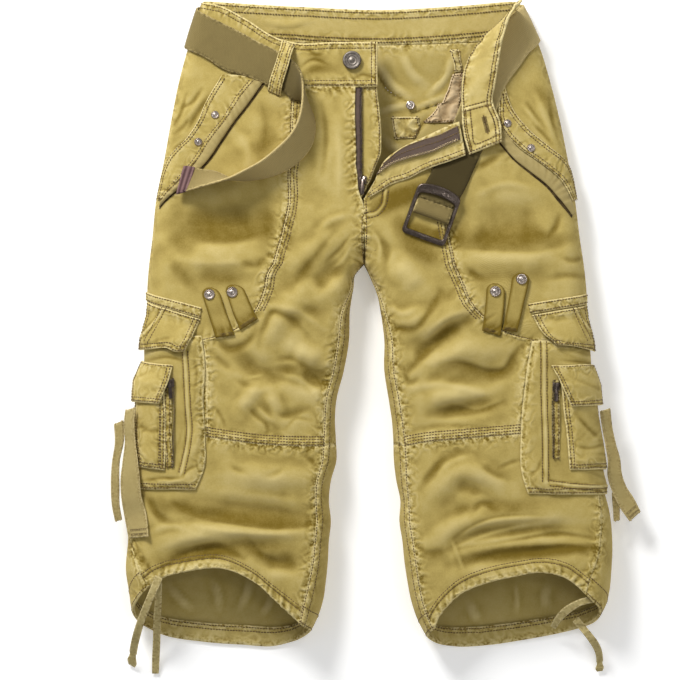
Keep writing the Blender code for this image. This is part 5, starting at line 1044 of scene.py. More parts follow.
@dataclass
class Seams:
    """The seam lines of one side, as dense arrays of (u, y)."""

    wrap: Wrap
    side: int
    steps: int = 240
    lines: dict[str, np.ndarray] = field(default_factory=dict)

    def __post_init__(self) -> None:
        """Work out every seam line."""
        left, wrap, side = self.side < 0, self.wrap, self.side
        knee = KNEE_LEFT if left else KNEE_RIGHT
        hem = HEM_FRONT_LEFT if left else HEM_FRONT_RIGHT[::-1]
        fly = FLY_EDGE_LEFT if left else FLY_EDGE_RIGHT[::-1]
        lines = self.lines
        lines["curved"] = self.top_line(CURVED_SEAM_LEFT if left else CURVED_SEAM_RIGHT)
        lines["side_seam"] = self.top_line(SIDE_SEAM_LEFT if left else SIDE_SEAM_RIGHT)
        lines["fly"] = self.top_line(fly)
        lines["inseam"] = self.edge_line(True, CROTCH_Y, KNEE_Y)
        lines["inseam_back"] = self.edge_line(True, CROTCH_Y, KNEE_Y, back=True)
        lines["outseam_hip"] = self.edge_line(False, BAND_SEAM_OUTER_Y, SIDE_TOP_Y)
        lines["outseam_side"] = self.edge_line(False, SIDE_TOP_Y, KNEE_OUTER_Y)
        seam_y = float(through(*zip(*WAIST_SEAM_BACK), CENTRE_X))
        lines["centre_back"] = np.array([(-1.0, y) for y in np.linspace(seam_y, CROTCH_Y, self.steps + 1)])
        lines["fly"][-1] = lines["inseam"][0] = (1.0, CROTCH_Y)
        outer_end, inner_end = lines["outseam_side"][-1], lines["inseam"][-1]
        lines["knee_side"] = sample([outer_end, lines["side_seam"][-1]], self.steps)
        lines["knee_centre"] = sample(np.vstack([wrap.on_top(side, knee), inner_end]), self.steps)
        hem_line = wrap.on_top(side, hem)
        lines["hem_front"] = sample(hem_line, self.steps)
        lines["outseam_lower"] = self.edge_line(False, KNEE_OUTER_Y, hem_line[0][1])
        lines["inseam_lower"] = self.edge_line(True, KNEE_Y, hem_line[-1][1])
        lines["inseam_lower_back"] = self.edge_line(True, KNEE_Y, hem_line[-1][1], back=True)
        lines["outseam_lower"][-1] = hem_line[0]
        lines["inseam_lower"][-1] = hem_line[-1]
        lines["inseam_lower_back"][-1] = hem_line[-1] - [2.0, 0.0]

    def top_line(self, points: Sequence) -> np.ndarray:
        """A seam drawn on the top, from its places (x, y)."""
        return sample(self.wrap.on_top(self.side, points), self.steps)

    def edge_line(self, inner: bool, start_y: float, end_y: float, back: bool = False) -> np.ndarray:
        """(u, y) along an outseam or an inseam.

        Args:
            inner: Whether it is the inseam.
            start_y: Y that it starts at.
            end_y: Y that it ends at.
            back: Whether u is counted as the back panels count it.
        Returns:
            The line's points.
        """
        wrap, side = self.wrap, self.side
        y = np.linspace(start_y, end_y, self.steps + 1)
        inset = through(wrap.legs[:, 0], wrap.legs[:, (3 if inner else 5) + (side > 0)], y)
        if inner:
            edge = wrap.inner_edge(side, y, np.ones(y.shape, bool)) + side * inset
            u = np.where((y <= CROTCH_Y) & (inset > 0.01), wrap.find_u(side, edge, y), 1.0)
            return np.stack([u - 2 if back else u, y], axis=-1)
        edge = wrap.outer_edge(side, y) - side * inset
        return np.stack([np.where(inset > 0.01, wrap.find_u(side, edge, y), 0.0), y], axis=-1)

    def hem_back(self) -> np.ndarray:
        """(u, y) along the back hem, from the outseam round under the leg to the inseam."""
        wrap, side, left = self.wrap, self.side, self.side < 0
        points = [self.lines["outseam_lower"][-1]]
        points += list(wrap.on_top(side, HEM_OUTER_LEFT if left else HEM_OUTER_RIGHT))
        for share, y in HEM_BACK_LEFT if left else HEM_BACK_RIGHT:
            outer = float(wrap.outer_edge(side, np.array(y)))
            x = outer + share * (float(wrap.inner_edge(side, np.array(y), np.array(False))) - outer)
            points.append((float(wrap.find_u(side, x, y, upper=False)) if 0 < share < 1 else -share, y))
        points += [(u - 2, y) for u, y in wrap.on_top(side, HEM_INNER_LEFT if left else HEM_INNER_RIGHT)]
        return sample(points + [self.lines["inseam_lower_back"][-1]], self.steps)

    def plan(self, name: str) -> np.ndarray:
        """A seam's places (x, y) on the top."""
        line = self.lines[name]
        return self.wrap.base(self.side, line[:, 0], line[:, 1])[:, :2]


class Thread(Enum):
    """The threads that the shorts are sewn with."""

    SEAM = "seam_thread"
    PALE = "pale_thread"
    TACK = "tack_thread"


@dataclass
class Cloth:
    """A cloth piece: a grid of points with a wall, a weave map, and its tone of wear with painted light and
    shade.
    """

    name: str
    points: np.ndarray
    normals: np.ndarray
    outer: np.ndarray
    inner: np.ndarray
    finish: str
    ring: bool = False
    tone: Optional[np.ndarray] = None
    plain: bool = False

    def __post_init__(self) -> None:
        """Bring the two offsets to the size of the grid."""
        shape = self.points.shape[:2]
        self.outer = np.broadcast_to(np.asarray(self.outer, float), shape).copy()
        self.inner = np.broadcast_to(np.asarray(self.inner, float), shape).copy()
        if self.tone is None:
            self.tone = np.zeros(shape)
        away = np.stack([lengths(self.points), lengths(self.points[::-1])[::-1],
                         lengths(self.points, 1), lengths(self.points[:, ::-1], 1)[:, ::-1]])
        self.away = away

    def edge(self) -> np.ndarray:
        """Distance of each point from the nearest border."""
        return self.away[:2].min(0) if self.ring else self.away.min(0)

    def lap(self, border: Border, width: float, height: float) -> "Cloth":
        """Raise the folded-in cloth along a border's seam."""
        near = 1 - ease((self.away[border] - width + 0.8) / 1.6)
        self.outer = np.maximum(self.outer, height * near)
        return self

    def hemmed(self, borders: Sequence[Border], first: float = 2.2, second: float = 7.0,
               depth: float = 0.45, swell: float = 0.35) -> "Cloth":
        """Round the borders and sink the two rows of stitches beside them.

        Args:
            borders: The borders that are turned in and sewn.
            first: Distance of the first row from its border.
            second: Distance of the second row, or 0 for none.
            depth: How deep the rows sink.
            swell: How far the cloth stands up beside them.
        Returns:
            The piece.
        """
        d = np.min([self.away[b] for b in borders], axis=0)
        shape = -0.9 * np.exp(-((d / 0.8) ** 2)) + swell * np.exp(-(((d - first / 2) / 1.1) ** 2))
        shape -= depth * np.exp(-(((d - first) / 0.8) ** 2))
        if second:
            shape += swell * np.exp(-(((d - (first + second) / 2) / 1.8) ** 2))
            shape -= depth * np.exp(-(((d - second) / 0.9) ** 2))
        self.outer += shape
        self.tone = np.clip(self.tone + 1.1 * np.exp(-((d / 1.5) ** 2)) + 0.35 * np.exp(-((d / 7) ** 2))
                            - 0.75 * np.exp(-(((d - first) / 1.2) ** 2)), -1, 1)
        return self

    def stitch_row(self, border: Border, distance: float, start: float = 0.0, end: float = 1.0,
                   lift: float = 0.1) -> tuple[np.ndarray, np.ndarray]:
        """A line at an even distance from a border.

        Args:
            border: The border that the line follows.
            distance: How far from it the line runs.
            start: Share of the border where the line starts.
            end: Share of it where the line ends.
            lift: Height over the cloth.
        Returns:
            The line's points and normals.
        """
        grid = np.concatenate([self.points + self.normals * (self.outer[..., None] + lift), self.normals], -1)
        turned = {Border.TOP: grid.transpose(1, 0, 2), Border.BOTTOM: grid[::-1].transpose(1, 0, 2),
                  Border.LEFT: grid, Border.RIGHT: grid[:, ::-1]}[border]
        away = lengths(turned[..., :3], 1)
        k = np.clip((away < distance).sum(1) - 1, 0, away.shape[1] - 2)
        i = np.arange(len(away))
        t = np.clip((distance - away[i, k]) / (away[i, k + 1] - away[i, k] + 1e-9), 0, 1)[:, None]
        line = turned[i, k] * (1 - t) + turned[i, k + 1] * t
        share = np.linspace(0, 1, len(line))
        line = line[(share >= start - 1e-9) & (share <= end + 1e-9)]
        return line[:, :3], line[:, 3:]

    def draw(self, points: Sequence, gap: float = 0.0, lift: float = 0.1) -> list:
        """Sew one or two rows along a line drawn on the piece's face.

        Args:
            points: Places (x, y) that the line goes through.
            gap: How far the second row lies to its left, or 0 for one row.
            lift: Height of the rows over the cloth.
        Returns:
            Points and normals of each row.
        """
        line = sample_plan(points, 50)
        away, _, offset, _ = beside(line, self.points[..., 0], self.points[..., 1])
        past = away - np.abs(offset)
        for place in {0.0, gap}:
            near = np.exp(-(((offset - place) / 0.9) ** 2) - (past / 2) ** 2)
            self.outer, self.tone = self.outer - 0.4 * near, self.tone - 0.7 * near
        if gap:
            ridge = np.exp(-(((offset - gap / 2) / (abs(gap) / 4)) ** 2) - (past / 2) ** 2)
            self.outer, self.tone = self.outer + 0.45 * ridge, np.clip(self.tone + 0.8 * ridge, -1, 1)
        along = self.unit(np.gradient(line, axis=0))
        face = (self.points + self.normals * self.outer[..., None]).reshape(-1, 3)
        rows = []
        for place in sorted({0.0, gap}):
            row = line + place * np.column_stack([-along[:, 1], along[:, 0]])
            far = np.hypot(face[:, 0] - row[:, :1], face[:, 1] - row[:, 1:])
            near = np.argpartition(far, 4, axis=1)[:, :4]
            weight = 1 / (np.take_along_axis(far, near, 1) + 0.05)[..., None]
            normal = self.unit((self.normals.reshape(-1, 3)[near] * weight).sum(1))
            height = (face[near][..., 2] * weight[..., 0]).sum(1) / weight[..., 0].sum(1)
            rows.append((np.column_stack([row, height]) + normal * lift, normal))
        return rows

    def borders(self) -> list[tuple[np.ndarray, np.ndarray]]:
        """Closed loops of border points, each with the direction that leads out of the piece."""
        rows, columns = self.points.shape[:2]
        index = np.arange(rows * columns).reshape(rows, columns)
        out = np.zeros((rows, columns, 3))
        out[0] += self.unit(self.points[0] - self.points[1])
        out[-1] += self.unit(self.points[-1] - self.points[-2])
        if self.ring:
            return [(index[0], out[0]), (index[-1][::-1], out[-1][::-1])]
        out[:, 0] += self.unit(self.points[:, 0] - self.points[:, 1])
        out[:, -1] += self.unit(self.points[:, -1] - self.points[:, -2])
        loop = np.concatenate([index[0, :-1], index[:-1, -1], index[-1, :0:-1], index[:0:-1, 0]])
        return [(loop, out.reshape(-1, 3)[loop])]

    @staticmethod
    def unit(vectors: np.ndarray) -> np.ndarray:
        """Vectors at length 1."""
        return vectors / (np.linalg.norm(vectors, axis=-1, keepdims=True) + 1e-9)

    def shade_along(self, places: Sequence[float], tones: Sequence[float]) -> None:
        """Paint light and shade along the piece, by tones at shares of its length."""
        self.tone += np.interp(np.linspace(0, 1, len(self.points)), places, tones)[:, None]

    def build(self, wardrobe: "Wardrobe") -> bpy.types.Object:
        """Make the piece's object with its walls and rounded rims."""
        rows, columns = self.points.shape[:2]
        count = rows * columns
        outer = (self.points + self.normals * self.outer[..., None]).reshape(-1, 3)
        inner = (self.points + self.normals * self.inner[..., None]).reshape(-1, 3)
        index = np.arange(count).reshape(rows, columns)
        if self.ring:
            index = np.concatenate([index, index[:, :1]], axis=1)
        quads = np.stack([index[:-1, :-1], index[:-1, 1:], index[1:, 1:], index[1:, :-1]], -1).reshape(-1, 4)
        vertices, faces = [outer, inner], [quads, quads[:, ::-1] + count]
        across = np.concatenate([lengths(self.points, 1), lengths(self.points, 1)]).reshape(-1)
        down = np.concatenate([lengths(self.points), lengths(self.points)]).reshape(-1)
        source = [np.arange(count), np.arange(count)]
        total = 2 * count
        for loop, out in self.borders():
            wall = np.linalg.norm(outer[loop] - inner[loop], axis=1, keepdims=True)
            vertices.append((outer[loop] + inner[loop]) / 2 + self.unit(out) * wall * 0.32)
            middle = total + np.arange(len(loop))
            source.append(loop)
            after, middle_after = np.roll(loop, -1), np.roll(middle, -1)
            faces.append(np.stack([after, loop, middle, middle_after], -1))
            faces.append(np.stack([middle_after, middle, loop + count, after + count], -1))
            total += len(loop)
        faces = np.concatenate(faces)
        i, j = rows // 2, columns // 2
        facing = np.cross(self.points[i, j] - self.points[i, j - 1],
                          self.points[i, j] - self.points[i - 1, j])
        if np.dot(facing, self.normals[i, j]) < 0:
            faces = faces[:, ::-1]
        source = np.concatenate(source)
        mesh = bpy.data.meshes.new(self.name)
        mesh.from_pydata((np.concatenate(vertices) - ORIGIN) * MM, [], faces.tolist())
        weave = np.stack([across[source], down[source]], -1) / 100
        layer = mesh.uv_layers.new(name="weave")
        loops = np.zeros(len(mesh.loops), int)
        mesh.loops.foreach_get("vertex_index", loops)
        layer.data.foreach_set("uv", weave[loops].reshape(-1))
        shown = np.ones(total)
        shown[count:2 * count] = 0.7
        for name, values in (("tone", self.tone.reshape(-1)[source] * shown),
                             ("edge", self.edge().reshape(-1)[source] + 20.0 * self.plain)):
            mesh.attributes.new(name, "FLOAT", "POINT").data.foreach_set("value", values)
        mesh.shade_smooth()
        made = bpy.data.objects.new(self.name, mesh)
        return wardrobe.hang(made, self.finish)


@dataclass
class Wardrobe:
    """Finishes by name, and the one way that a finished piece is hung on its body."""

    finishes: dict[str, bpy.types.Material]
    slots: dict[str, str]

    def hang(self, made: bpy.types.Object, finish: str, body: str = BODY) -> bpy.types.Object:
        """Link a piece, give it its finish and let it ride on its body."""
        bpy.context.scene.collection.objects.link(made)
        made.data.materials.clear()
        made.data.materials.append(self.finishes[finish])
        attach(made, body)
        return made

    def sheet(self, cloth: Cloth, nodes: Sequence[str], held: str = "laid") -> bpy.types.Object:
        made = cloth.build(self)
        if nodes:
            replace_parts(made, *nodes)
        return made


@dataclass
class Sewing:
    """Rows of thread, gathered from every piece and made as one mesh for each thread."""

    rows: dict[Thread, list] = field(default_factory=lambda: {thread: [] for thread in Thread})

    def row(self, line: tuple[np.ndarray, np.ndarray], thread: Thread = Thread.SEAM) -> None:
        """Take a row of points and normals."""
        if len(line[0]) > 1:
            self.rows[thread].append(line)

    def edging(self, cloth: Cloth, borders: Sequence[Border], distances: Sequence[float], start: float = 0.0,
               end: float = 1.0, lift: float = 0.1, thread: Thread = Thread.SEAM) -> None:
        """Take the rows beside a piece's borders.

        Args:
            cloth: The piece.
            borders: The borders that the rows follow.
            distances: How far from a border each row runs.
            start: Share of the border where the rows start.
            end: Share of it where they end.
            lift: Height over the cloth.
            thread: The thread that they are sewn with.
        """
        for border in borders:
            for distance in distances:
                self.row(cloth.stitch_row(border, distance, start, end, lift), thread)

    def across(self, cloth: Cloth, lift: float = 0.1) -> None:
        """Take the rows that cross a piece."""
        for name, gap, points in DRAWN_ROWS:
            for row in cloth.draw(points, gap, lift) if name == cloth.name else []:
                self.row(row)

    def tack(self, centre: np.ndarray, along: np.ndarray, normal: np.ndarray, length: float,
             width: float) -> None:
        """Take a bar tack: close short stitches across a bar.

        Args:
            centre: Middle of the bar.
            along: Direction of the bar.
            normal: Direction out of the cloth.
            length: Length of the bar.
            width: Its width.
        """
        along, normal = Cloth.unit(np.asarray(along, float)), Cloth.unit(np.asarray(normal, float))
        across = np.cross(normal, along)
        for share in np.linspace(-0.5, 0.5, max(int(length / 0.8), 2)):
            middle = centre + along * length * share
            ends = np.stack([middle - across * width / 2, middle + across * width / 2])
            self.row((ends, np.stack([normal, normal])), Thread.TACK)

    def bar(self, cloth: Cloth, distance: float, width: float) -> None:
        """Take a bar tack across a piece, at a distance from its lower end."""
        line, out = cloth.stitch_row(Border.BOTTOM, distance)
        run = line[-1] - line[0]
        self.tack(line[len(line) // 2], run, out[0], TACK_SHARE * np.linalg.norm(run), width)


def ribbon(name: str, edge_a: np.ndarray, edge_b: np.ndarray, outer: float, inner: float, finish: str,
           columns: int) -> Cloth:
    """A strip between two edges in space, its wall between two offsets from the line across.

    Args:
        name: The piece's name.
        edge_a: One edge.
        edge_b: The other edge, with as many points.
        outer: Offset of the upper face.
        inner: Offset of the lower face.
        finish: The finish's name.
        columns: Points across.
    Returns:
        The piece.
    """
    edge_a, edge_b = np.asarray(edge_a, float), np.asarray(edge_b, float)
    points = bridged(edge_a, edge_b, columns)
    along = np.gradient(points, axis=0)
    normals = Cloth.unit(np.cross(np.broadcast_to((edge_b - edge_a)[:, None], points.shape), along))
    if normals[0, 0, 2] < 0:
        normals = -normals
    return Cloth(name, points, normals, outer, inner, finish)


@dataclass
class Legs:
    """The panels of both sides and the casings in the hems."""

    wrap: Wrap
    wardrobe: Wardrobe
    sewing: Sewing
    seams: dict[int, Seams]
    front_pitch: float = 1.6
    back_pitch: float = 3.2
    lap_width: float = 7.0
    lap_height: float = 0.8

    def panel(self, name: str, side: int, borders: Sequence[np.ndarray], pitch: float,
              finish: str = "twill") -> Cloth:
        """A panel of the wrapped surface inside its top, bottom, left and right borders."""
        sizes = [lengths(self.wrap.base(side, line[:, 0], line[:, 1]))[-1] for line in borders]
        columns, rows = int(max(sizes[:2]) / pitch), int(max(sizes[2:]) / pitch)
        grid = coons(*(resample(line, n) for line, n in zip(borders, (columns, columns, rows, rows))))
        points, normals = self.wrap.surface(side, grid[..., 0], grid[..., 1])
        relief, x, y = self.wrap.relief, points[..., 0], points[..., 1]
        under = (grid[..., 0] <= 0) & (grid[..., 0] >= -1)
        tone = np.where(under, relief.at(relief.back_tone, x, y), relief.at(relief.tone, x, y))
        return Cloth(name, points, normals, 0.0, -WALL, finish, tone=tone)

    def front_waist(self) -> tuple[np.ndarray, np.ndarray, np.ndarray]:
        """The left waist seam over the hip, the centre panel and the fly shield."""
        lines = self.seams[-1].lines
        seam = sample(np.vstack([[0.0, BAND_SEAM_OUTER_Y], self.wrap.on_top(-1, WAIST_SEAM_LEFT[1:])]), 600)
        first = int(np.argmin(np.abs(seam[:, 0] - lines["curved"][0][0])))
        second = int(np.argmin(np.abs(seam[:, 0] - lines["fly"][0][0])))
        return seam[:first + 1], seam[first:second + 1], seam[second:]

    def build_side(self, side: int) -> None:
        """Build one side's panels."""
        name, wrap = "left" if side < 0 else "right", self.wrap
        seams = self.seams[side]
        lines = seams.lines
        outer_hip = lines["outseam_hip"].copy()
        if side < 0:
            hip_top, centre_top, _ = self.front_waist()
            lines["curved"][0], lines["fly"][0] = hip_top[-1], centre_top[-1]
        else:
            turned = wrap.on_top(side, TURN_LINE)
            hip_top = sample(turned[TURN_SPLIT:][::-1], 240)
            centre_top = sample(turned[:TURN_SPLIT + 1][::-1], 240)
            hip_top[0] = outer_hip[0] = (0.0, TURN_OUTER_Y)
        hip_bottom = sample([outer_hip[-1], lines["curved"][-1]], 240)
        side_top = sample([lines["outseam_side"][0], lines["side_seam"][0]], 240)
        fronts = [
            ("hip_front_", [hip_top, hip_bottom, outer_hip, lines["curved"]], []),
            ("side_panel_", [side_top, lines["knee_side"], lines["outseam_side"], lines["side_seam"]],
             [Border.BOTTOM]),
            ("centre_front_", [centre_top, lines["knee_centre"], chain(lines["curved"], lines["side_seam"]),
                               chain(lines["fly"], lines["inseam"])], [Border.LEFT, Border.BOTTOM]),
            ("lower_front_", [chain(lines["knee_side"], lines["knee_centre"]), lines["hem_front"],
                              lines["outseam_lower"], lines["inseam_lower"]], [Border.LEFT]),
        ]
        for part, borders, laps in fronts:
            cloth = self.panel(part + name, side, borders, self.front_pitch)
            for border in laps:
                cloth.lap(border, self.lap_width, self.lap_height)
            self.sew_front(part, cloth, side)
            self.sewing.across(cloth)
            self.wardrobe.sheet(cloth, [part + name])
        self.build_back(side, name, lines, seams.hem_back())

    def sew_front(self, part: str, cloth: Cloth, side: int) -> None:
        """Sew the rows beside a front panel's seams."""
        sew = self.sewing.edging
        if part == "centre_front_":
            cloth.hemmed([Border.LEFT, Border.BOTTOM], *SEAM_ROWS, 0.4, 0.4)
            to_tabs = TO_TABS[side]
            sew(cloth, [Border.LEFT], SEAM_ROWS, 0.0, to_tabs)
            sew(cloth, [Border.BOTTOM], KNEE_ROWS[:2])
            sew(cloth, [Border.LEFT], [THIRD_ROW], 0.0, to_tabs)
            sew(cloth, [Border.BOTTOM], KNEE_ROWS[2:])
            start, end, inset = FLY_ROW[side]
            sew(cloth, [Border.RIGHT], [inset], start, end)
        elif part == "side_panel_":
            cloth.hemmed([Border.BOTTOM], *SEAM_ROWS, 0.4, 0.4)
            sew(cloth, [Border.BOTTOM], SEAM_ROWS)
        elif part == "hip_front_":
            cloth.hemmed([Border.RIGHT], HIP_ROW, 0.0, 0.3, 0.3)
            sew(cloth, [Border.RIGHT], [HIP_ROW])
        else:
            cloth.hemmed([Border.BOTTOM], *HEM_ROWS, 0.5, 0.5)
            sew(cloth, [Border.BOTTOM], HEM_ROWS)

    def build_back(self, side: int, name: str, lines: dict[str, np.ndarray], hem: np.ndarray) -> None:
        """Build one side's back panels and the turned-in hem."""
        outer = chain(lines["outseam_hip"], lines["outseam_side"])
        inner = chain(lines["centre_back"], lines["inseam_back"])
        u = -np.linspace(0, 1, 241)
        x = self.wrap.plan(side, u, np.full(u.shape, BAND_MIDDLE_Y))["x"]
        waist = np.stack([u, through(*zip(*WAIST_SEAM_BACK), x)], axis=-1)
        waist[0], waist[-1] = outer[0], inner[0]
        knee = outer[-1] + (inner[-1] - outer[-1]) * np.linspace(0, 1, 241)[:, None]
        lower = [knee, hem, lines["outseam_lower"], lines["inseam_lower_back"]]
        for part, borders, hem_rows in (("upper_back_", [waist, knee, outer, inner], []),
                                        ("lower_back_", lower, BACK_HEM_ROWS)):
            cloth = self.panel(part + name, side, borders, self.back_pitch, "twill_back")
            cloth.lap(Border.RIGHT, self.lap_width, self.lap_height)
            cloth.hemmed([Border.RIGHT], *FELLED_ROWS, 0.4, 0.4)
            self.sewing.edging(cloth, [Border.RIGHT], FELLED_ROWS)
            self.sewing.edging(cloth, [Border.BOTTOM], hem_rows)
            self.wardrobe.sheet(cloth, [part + name])
        front = lines["hem_front"][::-1] - [2.0, 0.0]
        loop = resample(chain(hem, front), 150)[:-1]
        grid = np.stack([loop + [0.0, depth] for depth in np.linspace(0.2, HEM_DEPTH, 9)])
        points, normals = self.wrap.surface(side, grid[..., 0], grid[..., 1])
        under = -WALL - np.linspace(0.3, 2.4, 9)[:, None]
        casing = Cloth("hem_casing_" + name, points, normals, under, under - TAPE_WALL, "twill_inside",
                       ring=True)
        for distance in (2.0, 6.2):
            line, out = casing.stitch_row(Border.BOTTOM, distance, lift=-TAPE_WALL - 0.15)
            self.sewing.row((line, -out))
        self.wardrobe.sheet(casing, ["hem_casing_" + name])

    def build(self) -> None:
        """Build both sides."""
        for side in (-1, 1):
            self.build_side(side)


@dataclass
class Waist:
    """The waistbands, the open fly and the corner that is turned out."""

    wrap: Wrap
    wardrobe: Wardrobe
    sewing: Sewing
    legs: Legs

    def under(self, side: int, u: np.ndarray, curve: Sequence, drop: float = 0.0) -> np.ndarray:
        """(u, y) where a curve over x meets each u on the underside."""
        x = self.wrap.plan(side, u, np.full(u.shape, BAND_MIDDLE_Y))["x"]
        return np.stack([u, through(*zip(*curve), x) - drop], axis=-1)

    def both(self, make_grid) -> tuple[np.ndarray, np.ndarray]:
        """Points and normals of a piece that runs under both sides."""
        halves = []
        for side in (-1, 1):
            grid = make_grid(side)
            halves.append(self.wrap.surface(side, grid[..., 0], grid[..., 1]))
        return tuple(np.concatenate([halves[0][k], halves[1][k][:, 1:]], axis=1) for k in (0, 1))

    def bands(self) -> None:
        """The back band and the left front band."""
        def back(side: int) -> np.ndarray:
            """The back band's grid on one side."""
            u = -np.linspace(0, 1, 70)[::-side]
            top, seam = self.under(side, u, WAIST_TOP_BACK), self.under(side, u, WAIST_SEAM_BACK)
            return top + (seam - top) * np.linspace(0, 1, 16)[:, None, None]

        points, normals = self.both(back)
        band = Cloth("back_waistband", points, normals, 0.0, -BAND_WALL, "twill_back")
        band.inner = band.inner - 0.5 * np.exp(-((band.away[0] - 3) / 2.5) ** 2)
        band.tone += 0.3 - 0.5 * np.exp(-((band.away[0] - 31) / 2.5) ** 2)
        self.wardrobe.sheet(band, ["back_waistband"])
        for distance in (2.6, 9.0, 31.0, 35.0):
            line, out = band.stitch_row(Border.TOP, distance)
            self.sewing.row((line - out * (BAND_WALL + 0.9), -out))
        seam = chain(*self.legs.front_waist())
        count = 150
        seam = resample(seam, count)
        top = sample(np.vstack([[0.0, WAIST_TOP_LEFT[0][1]],
                                self.wrap.on_top(-1, WAIST_TOP_LEFT[1:])]), count)
        grid = np.stack([top + share * (seam - top) for share in np.linspace(0, 1, 30)])
        points, normals = self.wrap.surface(-1, grid[..., 0], grid[..., 1])
        tone = self.wrap.tone_at(points)
        front = Cloth("front_waistband_left", points, normals, BAND_PROUD, BAND_PROUD - BAND_WALL, "twill",
                      tone=tone)
        sewn = (Border.TOP, Border.BOTTOM, Border.RIGHT)
        front.hemmed(sewn, *BAND_ROWS)
        self.wardrobe.sheet(front, ["front_waistband_left"])
        for border in sewn:
            self.sewing.edging(front, [border], BAND_ROWS, 0.5 if border is Border.BOTTOM else 0.0, 0.98)

    def tape(self, name: str, side: int, left: np.ndarray, right: np.ndarray, lift: float,
             wall: float, finish: str, columns: int = 8, rows: int = 60) -> Cloth:
        """A piece that lies between two lines of (u, y), at a height over the top."""
        grid = bridged(sample(left, rows), sample(right, rows), columns)
        points, normals = self.wrap.surface(side, grid[..., 0], grid[..., 1])
        return Cloth(name, points, normals, lift + wall, lift, finish)

    def fly(self) -> None:
        """The left side of the open fly: the zip tape on its shield."""
        top = self.wrap.on_top
        tape = self.tape("zip_tape_left", -1, top(-1, TAPE_EDGE), top(-1, TAPE_TEETH),
                         -WALL - LAY_GAP - TAPE_WALL, TAPE_WALL, "zip_tape")
        self.wardrobe.sheet(tape, ["zip_tape_left"])
        shield = self.tape("fly_shield", -1, top(-1, SHIELD_LEFT), top(-1, SHIELD_RIGHT),
                           -WALL - 2 * LAY_GAP - TAPE_WALL - FLAP_WALL, FLAP_WALL, "twill", 16)
        shield.hemmed([Border.RIGHT], 2.2, 0.0)
        self.sewing.edging(shield, [Border.RIGHT], [2.2])
        self.wardrobe.sheet(shield, ["fly_shield"])

    def edges(self, rows: Sequence, shared: bool = False) -> tuple[np.ndarray, np.ndarray]:
        """Two edges in space from rows of plan points, each with a height over the top there."""
        first, second = [], []
        for ax, ay, a_lift, bx, by, b_lift in rows:
            ground = self.wrap.top_height(ax, ay)
            first.append((ax, ay, ground + a_lift))
            second.append((bx, by, (ground if shared else self.wrap.top_height(bx, by)) + b_lift))
        return np.array(first), np.array(second)

    def strip(self, name: str, rows: Sequence, count: int, outer: float, inner: float, finish: str,
              columns: int, shared: bool = False) -> Cloth:
        """A strip between the two edges of a table, at a number of steps along them."""
        a, b = self.edges(rows, shared)
        return ribbon(name, sample(a, count), sample(b, count), outer, inner, finish, columns)

    def turned_front(self) -> None:
        """The right front corner that is turned out: waistband, fly facing and its zip tape."""
        band = self.strip("front_waistband_right", TURNED_BAND, 120, BAND_WALL, 0.0, "twill_inside", 30, True)
        if band.normals[..., 2].mean() < 0:
            band.normals, band.outer, band.inner = -band.normals, -band.inner, -band.outer
        ripple = np.sin(band.away[0] / 2.9 + 1.6 * np.sin(band.away[0] / 11) + band.away[2] / 4)
        near = np.exp(-((np.minimum(band.away[2], band.away[3]) / 9) ** 2))
        band.outer += 0.45 * ripple * (0.3 + near)
        band.tone = 0.45 * ripple * near - 0.25 * np.sin(band.away[0] / 13) * np.cos(band.away[2] / 6)
        sewn, lift = (Border.LEFT, Border.RIGHT, Border.BOTTOM), 0.4
        band.hemmed(sewn, 2.4, 0.0)
        self.sewing.edging(band, sewn, [2.4], lift=lift)
        self.sewing.edging(band, [Border.RIGHT], [6.6], lift=lift)
        self.sewing.across(band, lift)
        (line, out), = band.draw(BUTTONHOLE, lift=lift)
        self.sewing.tack(line[25], line[-1] - line[0], out[25], 17.0, 4.4)
        self.sewing.row((line, out))
        self.wardrobe.sheet(band, ["front_waistband_right"])
        facing = self.strip("fly_facing", TURNED_FACING, 70, FLAP_WALL, 0.0, "twill_inside", 16)
        facing.hemmed([Border.LEFT], *FACING_ROWS)
        self.sewing.edging(facing, [Border.LEFT], FACING_ROWS)
        self.wardrobe.sheet(facing, ["fly_facing"])
        tape = self.strip("zip_tape_right", TURNED_TAPE, 60, TAPE_WALL, 0.0, "zip_tape", 8)
        self.wardrobe.sheet(tape, ["zip_tape_right"])
        self.turned_teeth = tape.stitch_row(Border.LEFT, 0.6, 0.02, 0.98, 0.6)
        self.sewing.edging(tape, [Border.RIGHT], (0.8, 7.0))

    def inside(self) -> None:
        """What lies on the inside of the back: a patch and a pocket's lining."""
        for name, finish, lift, left, right in INSIDE:
            a, b = (np.stack([self.wrap.find_u(1, x, y, upper=False), y], axis=-1)
                    for x, y in (np.array(line, float).T for line in (left, right)))
            piece = self.tape(name, 1, a, b, 0.0, 0.0, finish, 22, 30)
            piece.normals = -piece.normals
            swell = (0.9 * np.sin(piece.away[2] / 3.1 + 1.4 * np.sin(piece.away[0] / 5))
                     * ease(piece.edge() / 3))
            piece.outer = WALL + lift + FLAP_WALL + swell
            piece.inner = np.full_like(swell, WALL + lift) + swell
            piece.tone = 0.5 * swell
            piece.hemmed(list(Border), 1.8, 0.0)
            self.sewing.edging(piece, Border, [1.8])
            self.wardrobe.sheet(piece, [])

    def build(self) -> None:
        """Build the waist."""
        self.bands()
        self.fly()
        self.turned_front()
        self.inside()


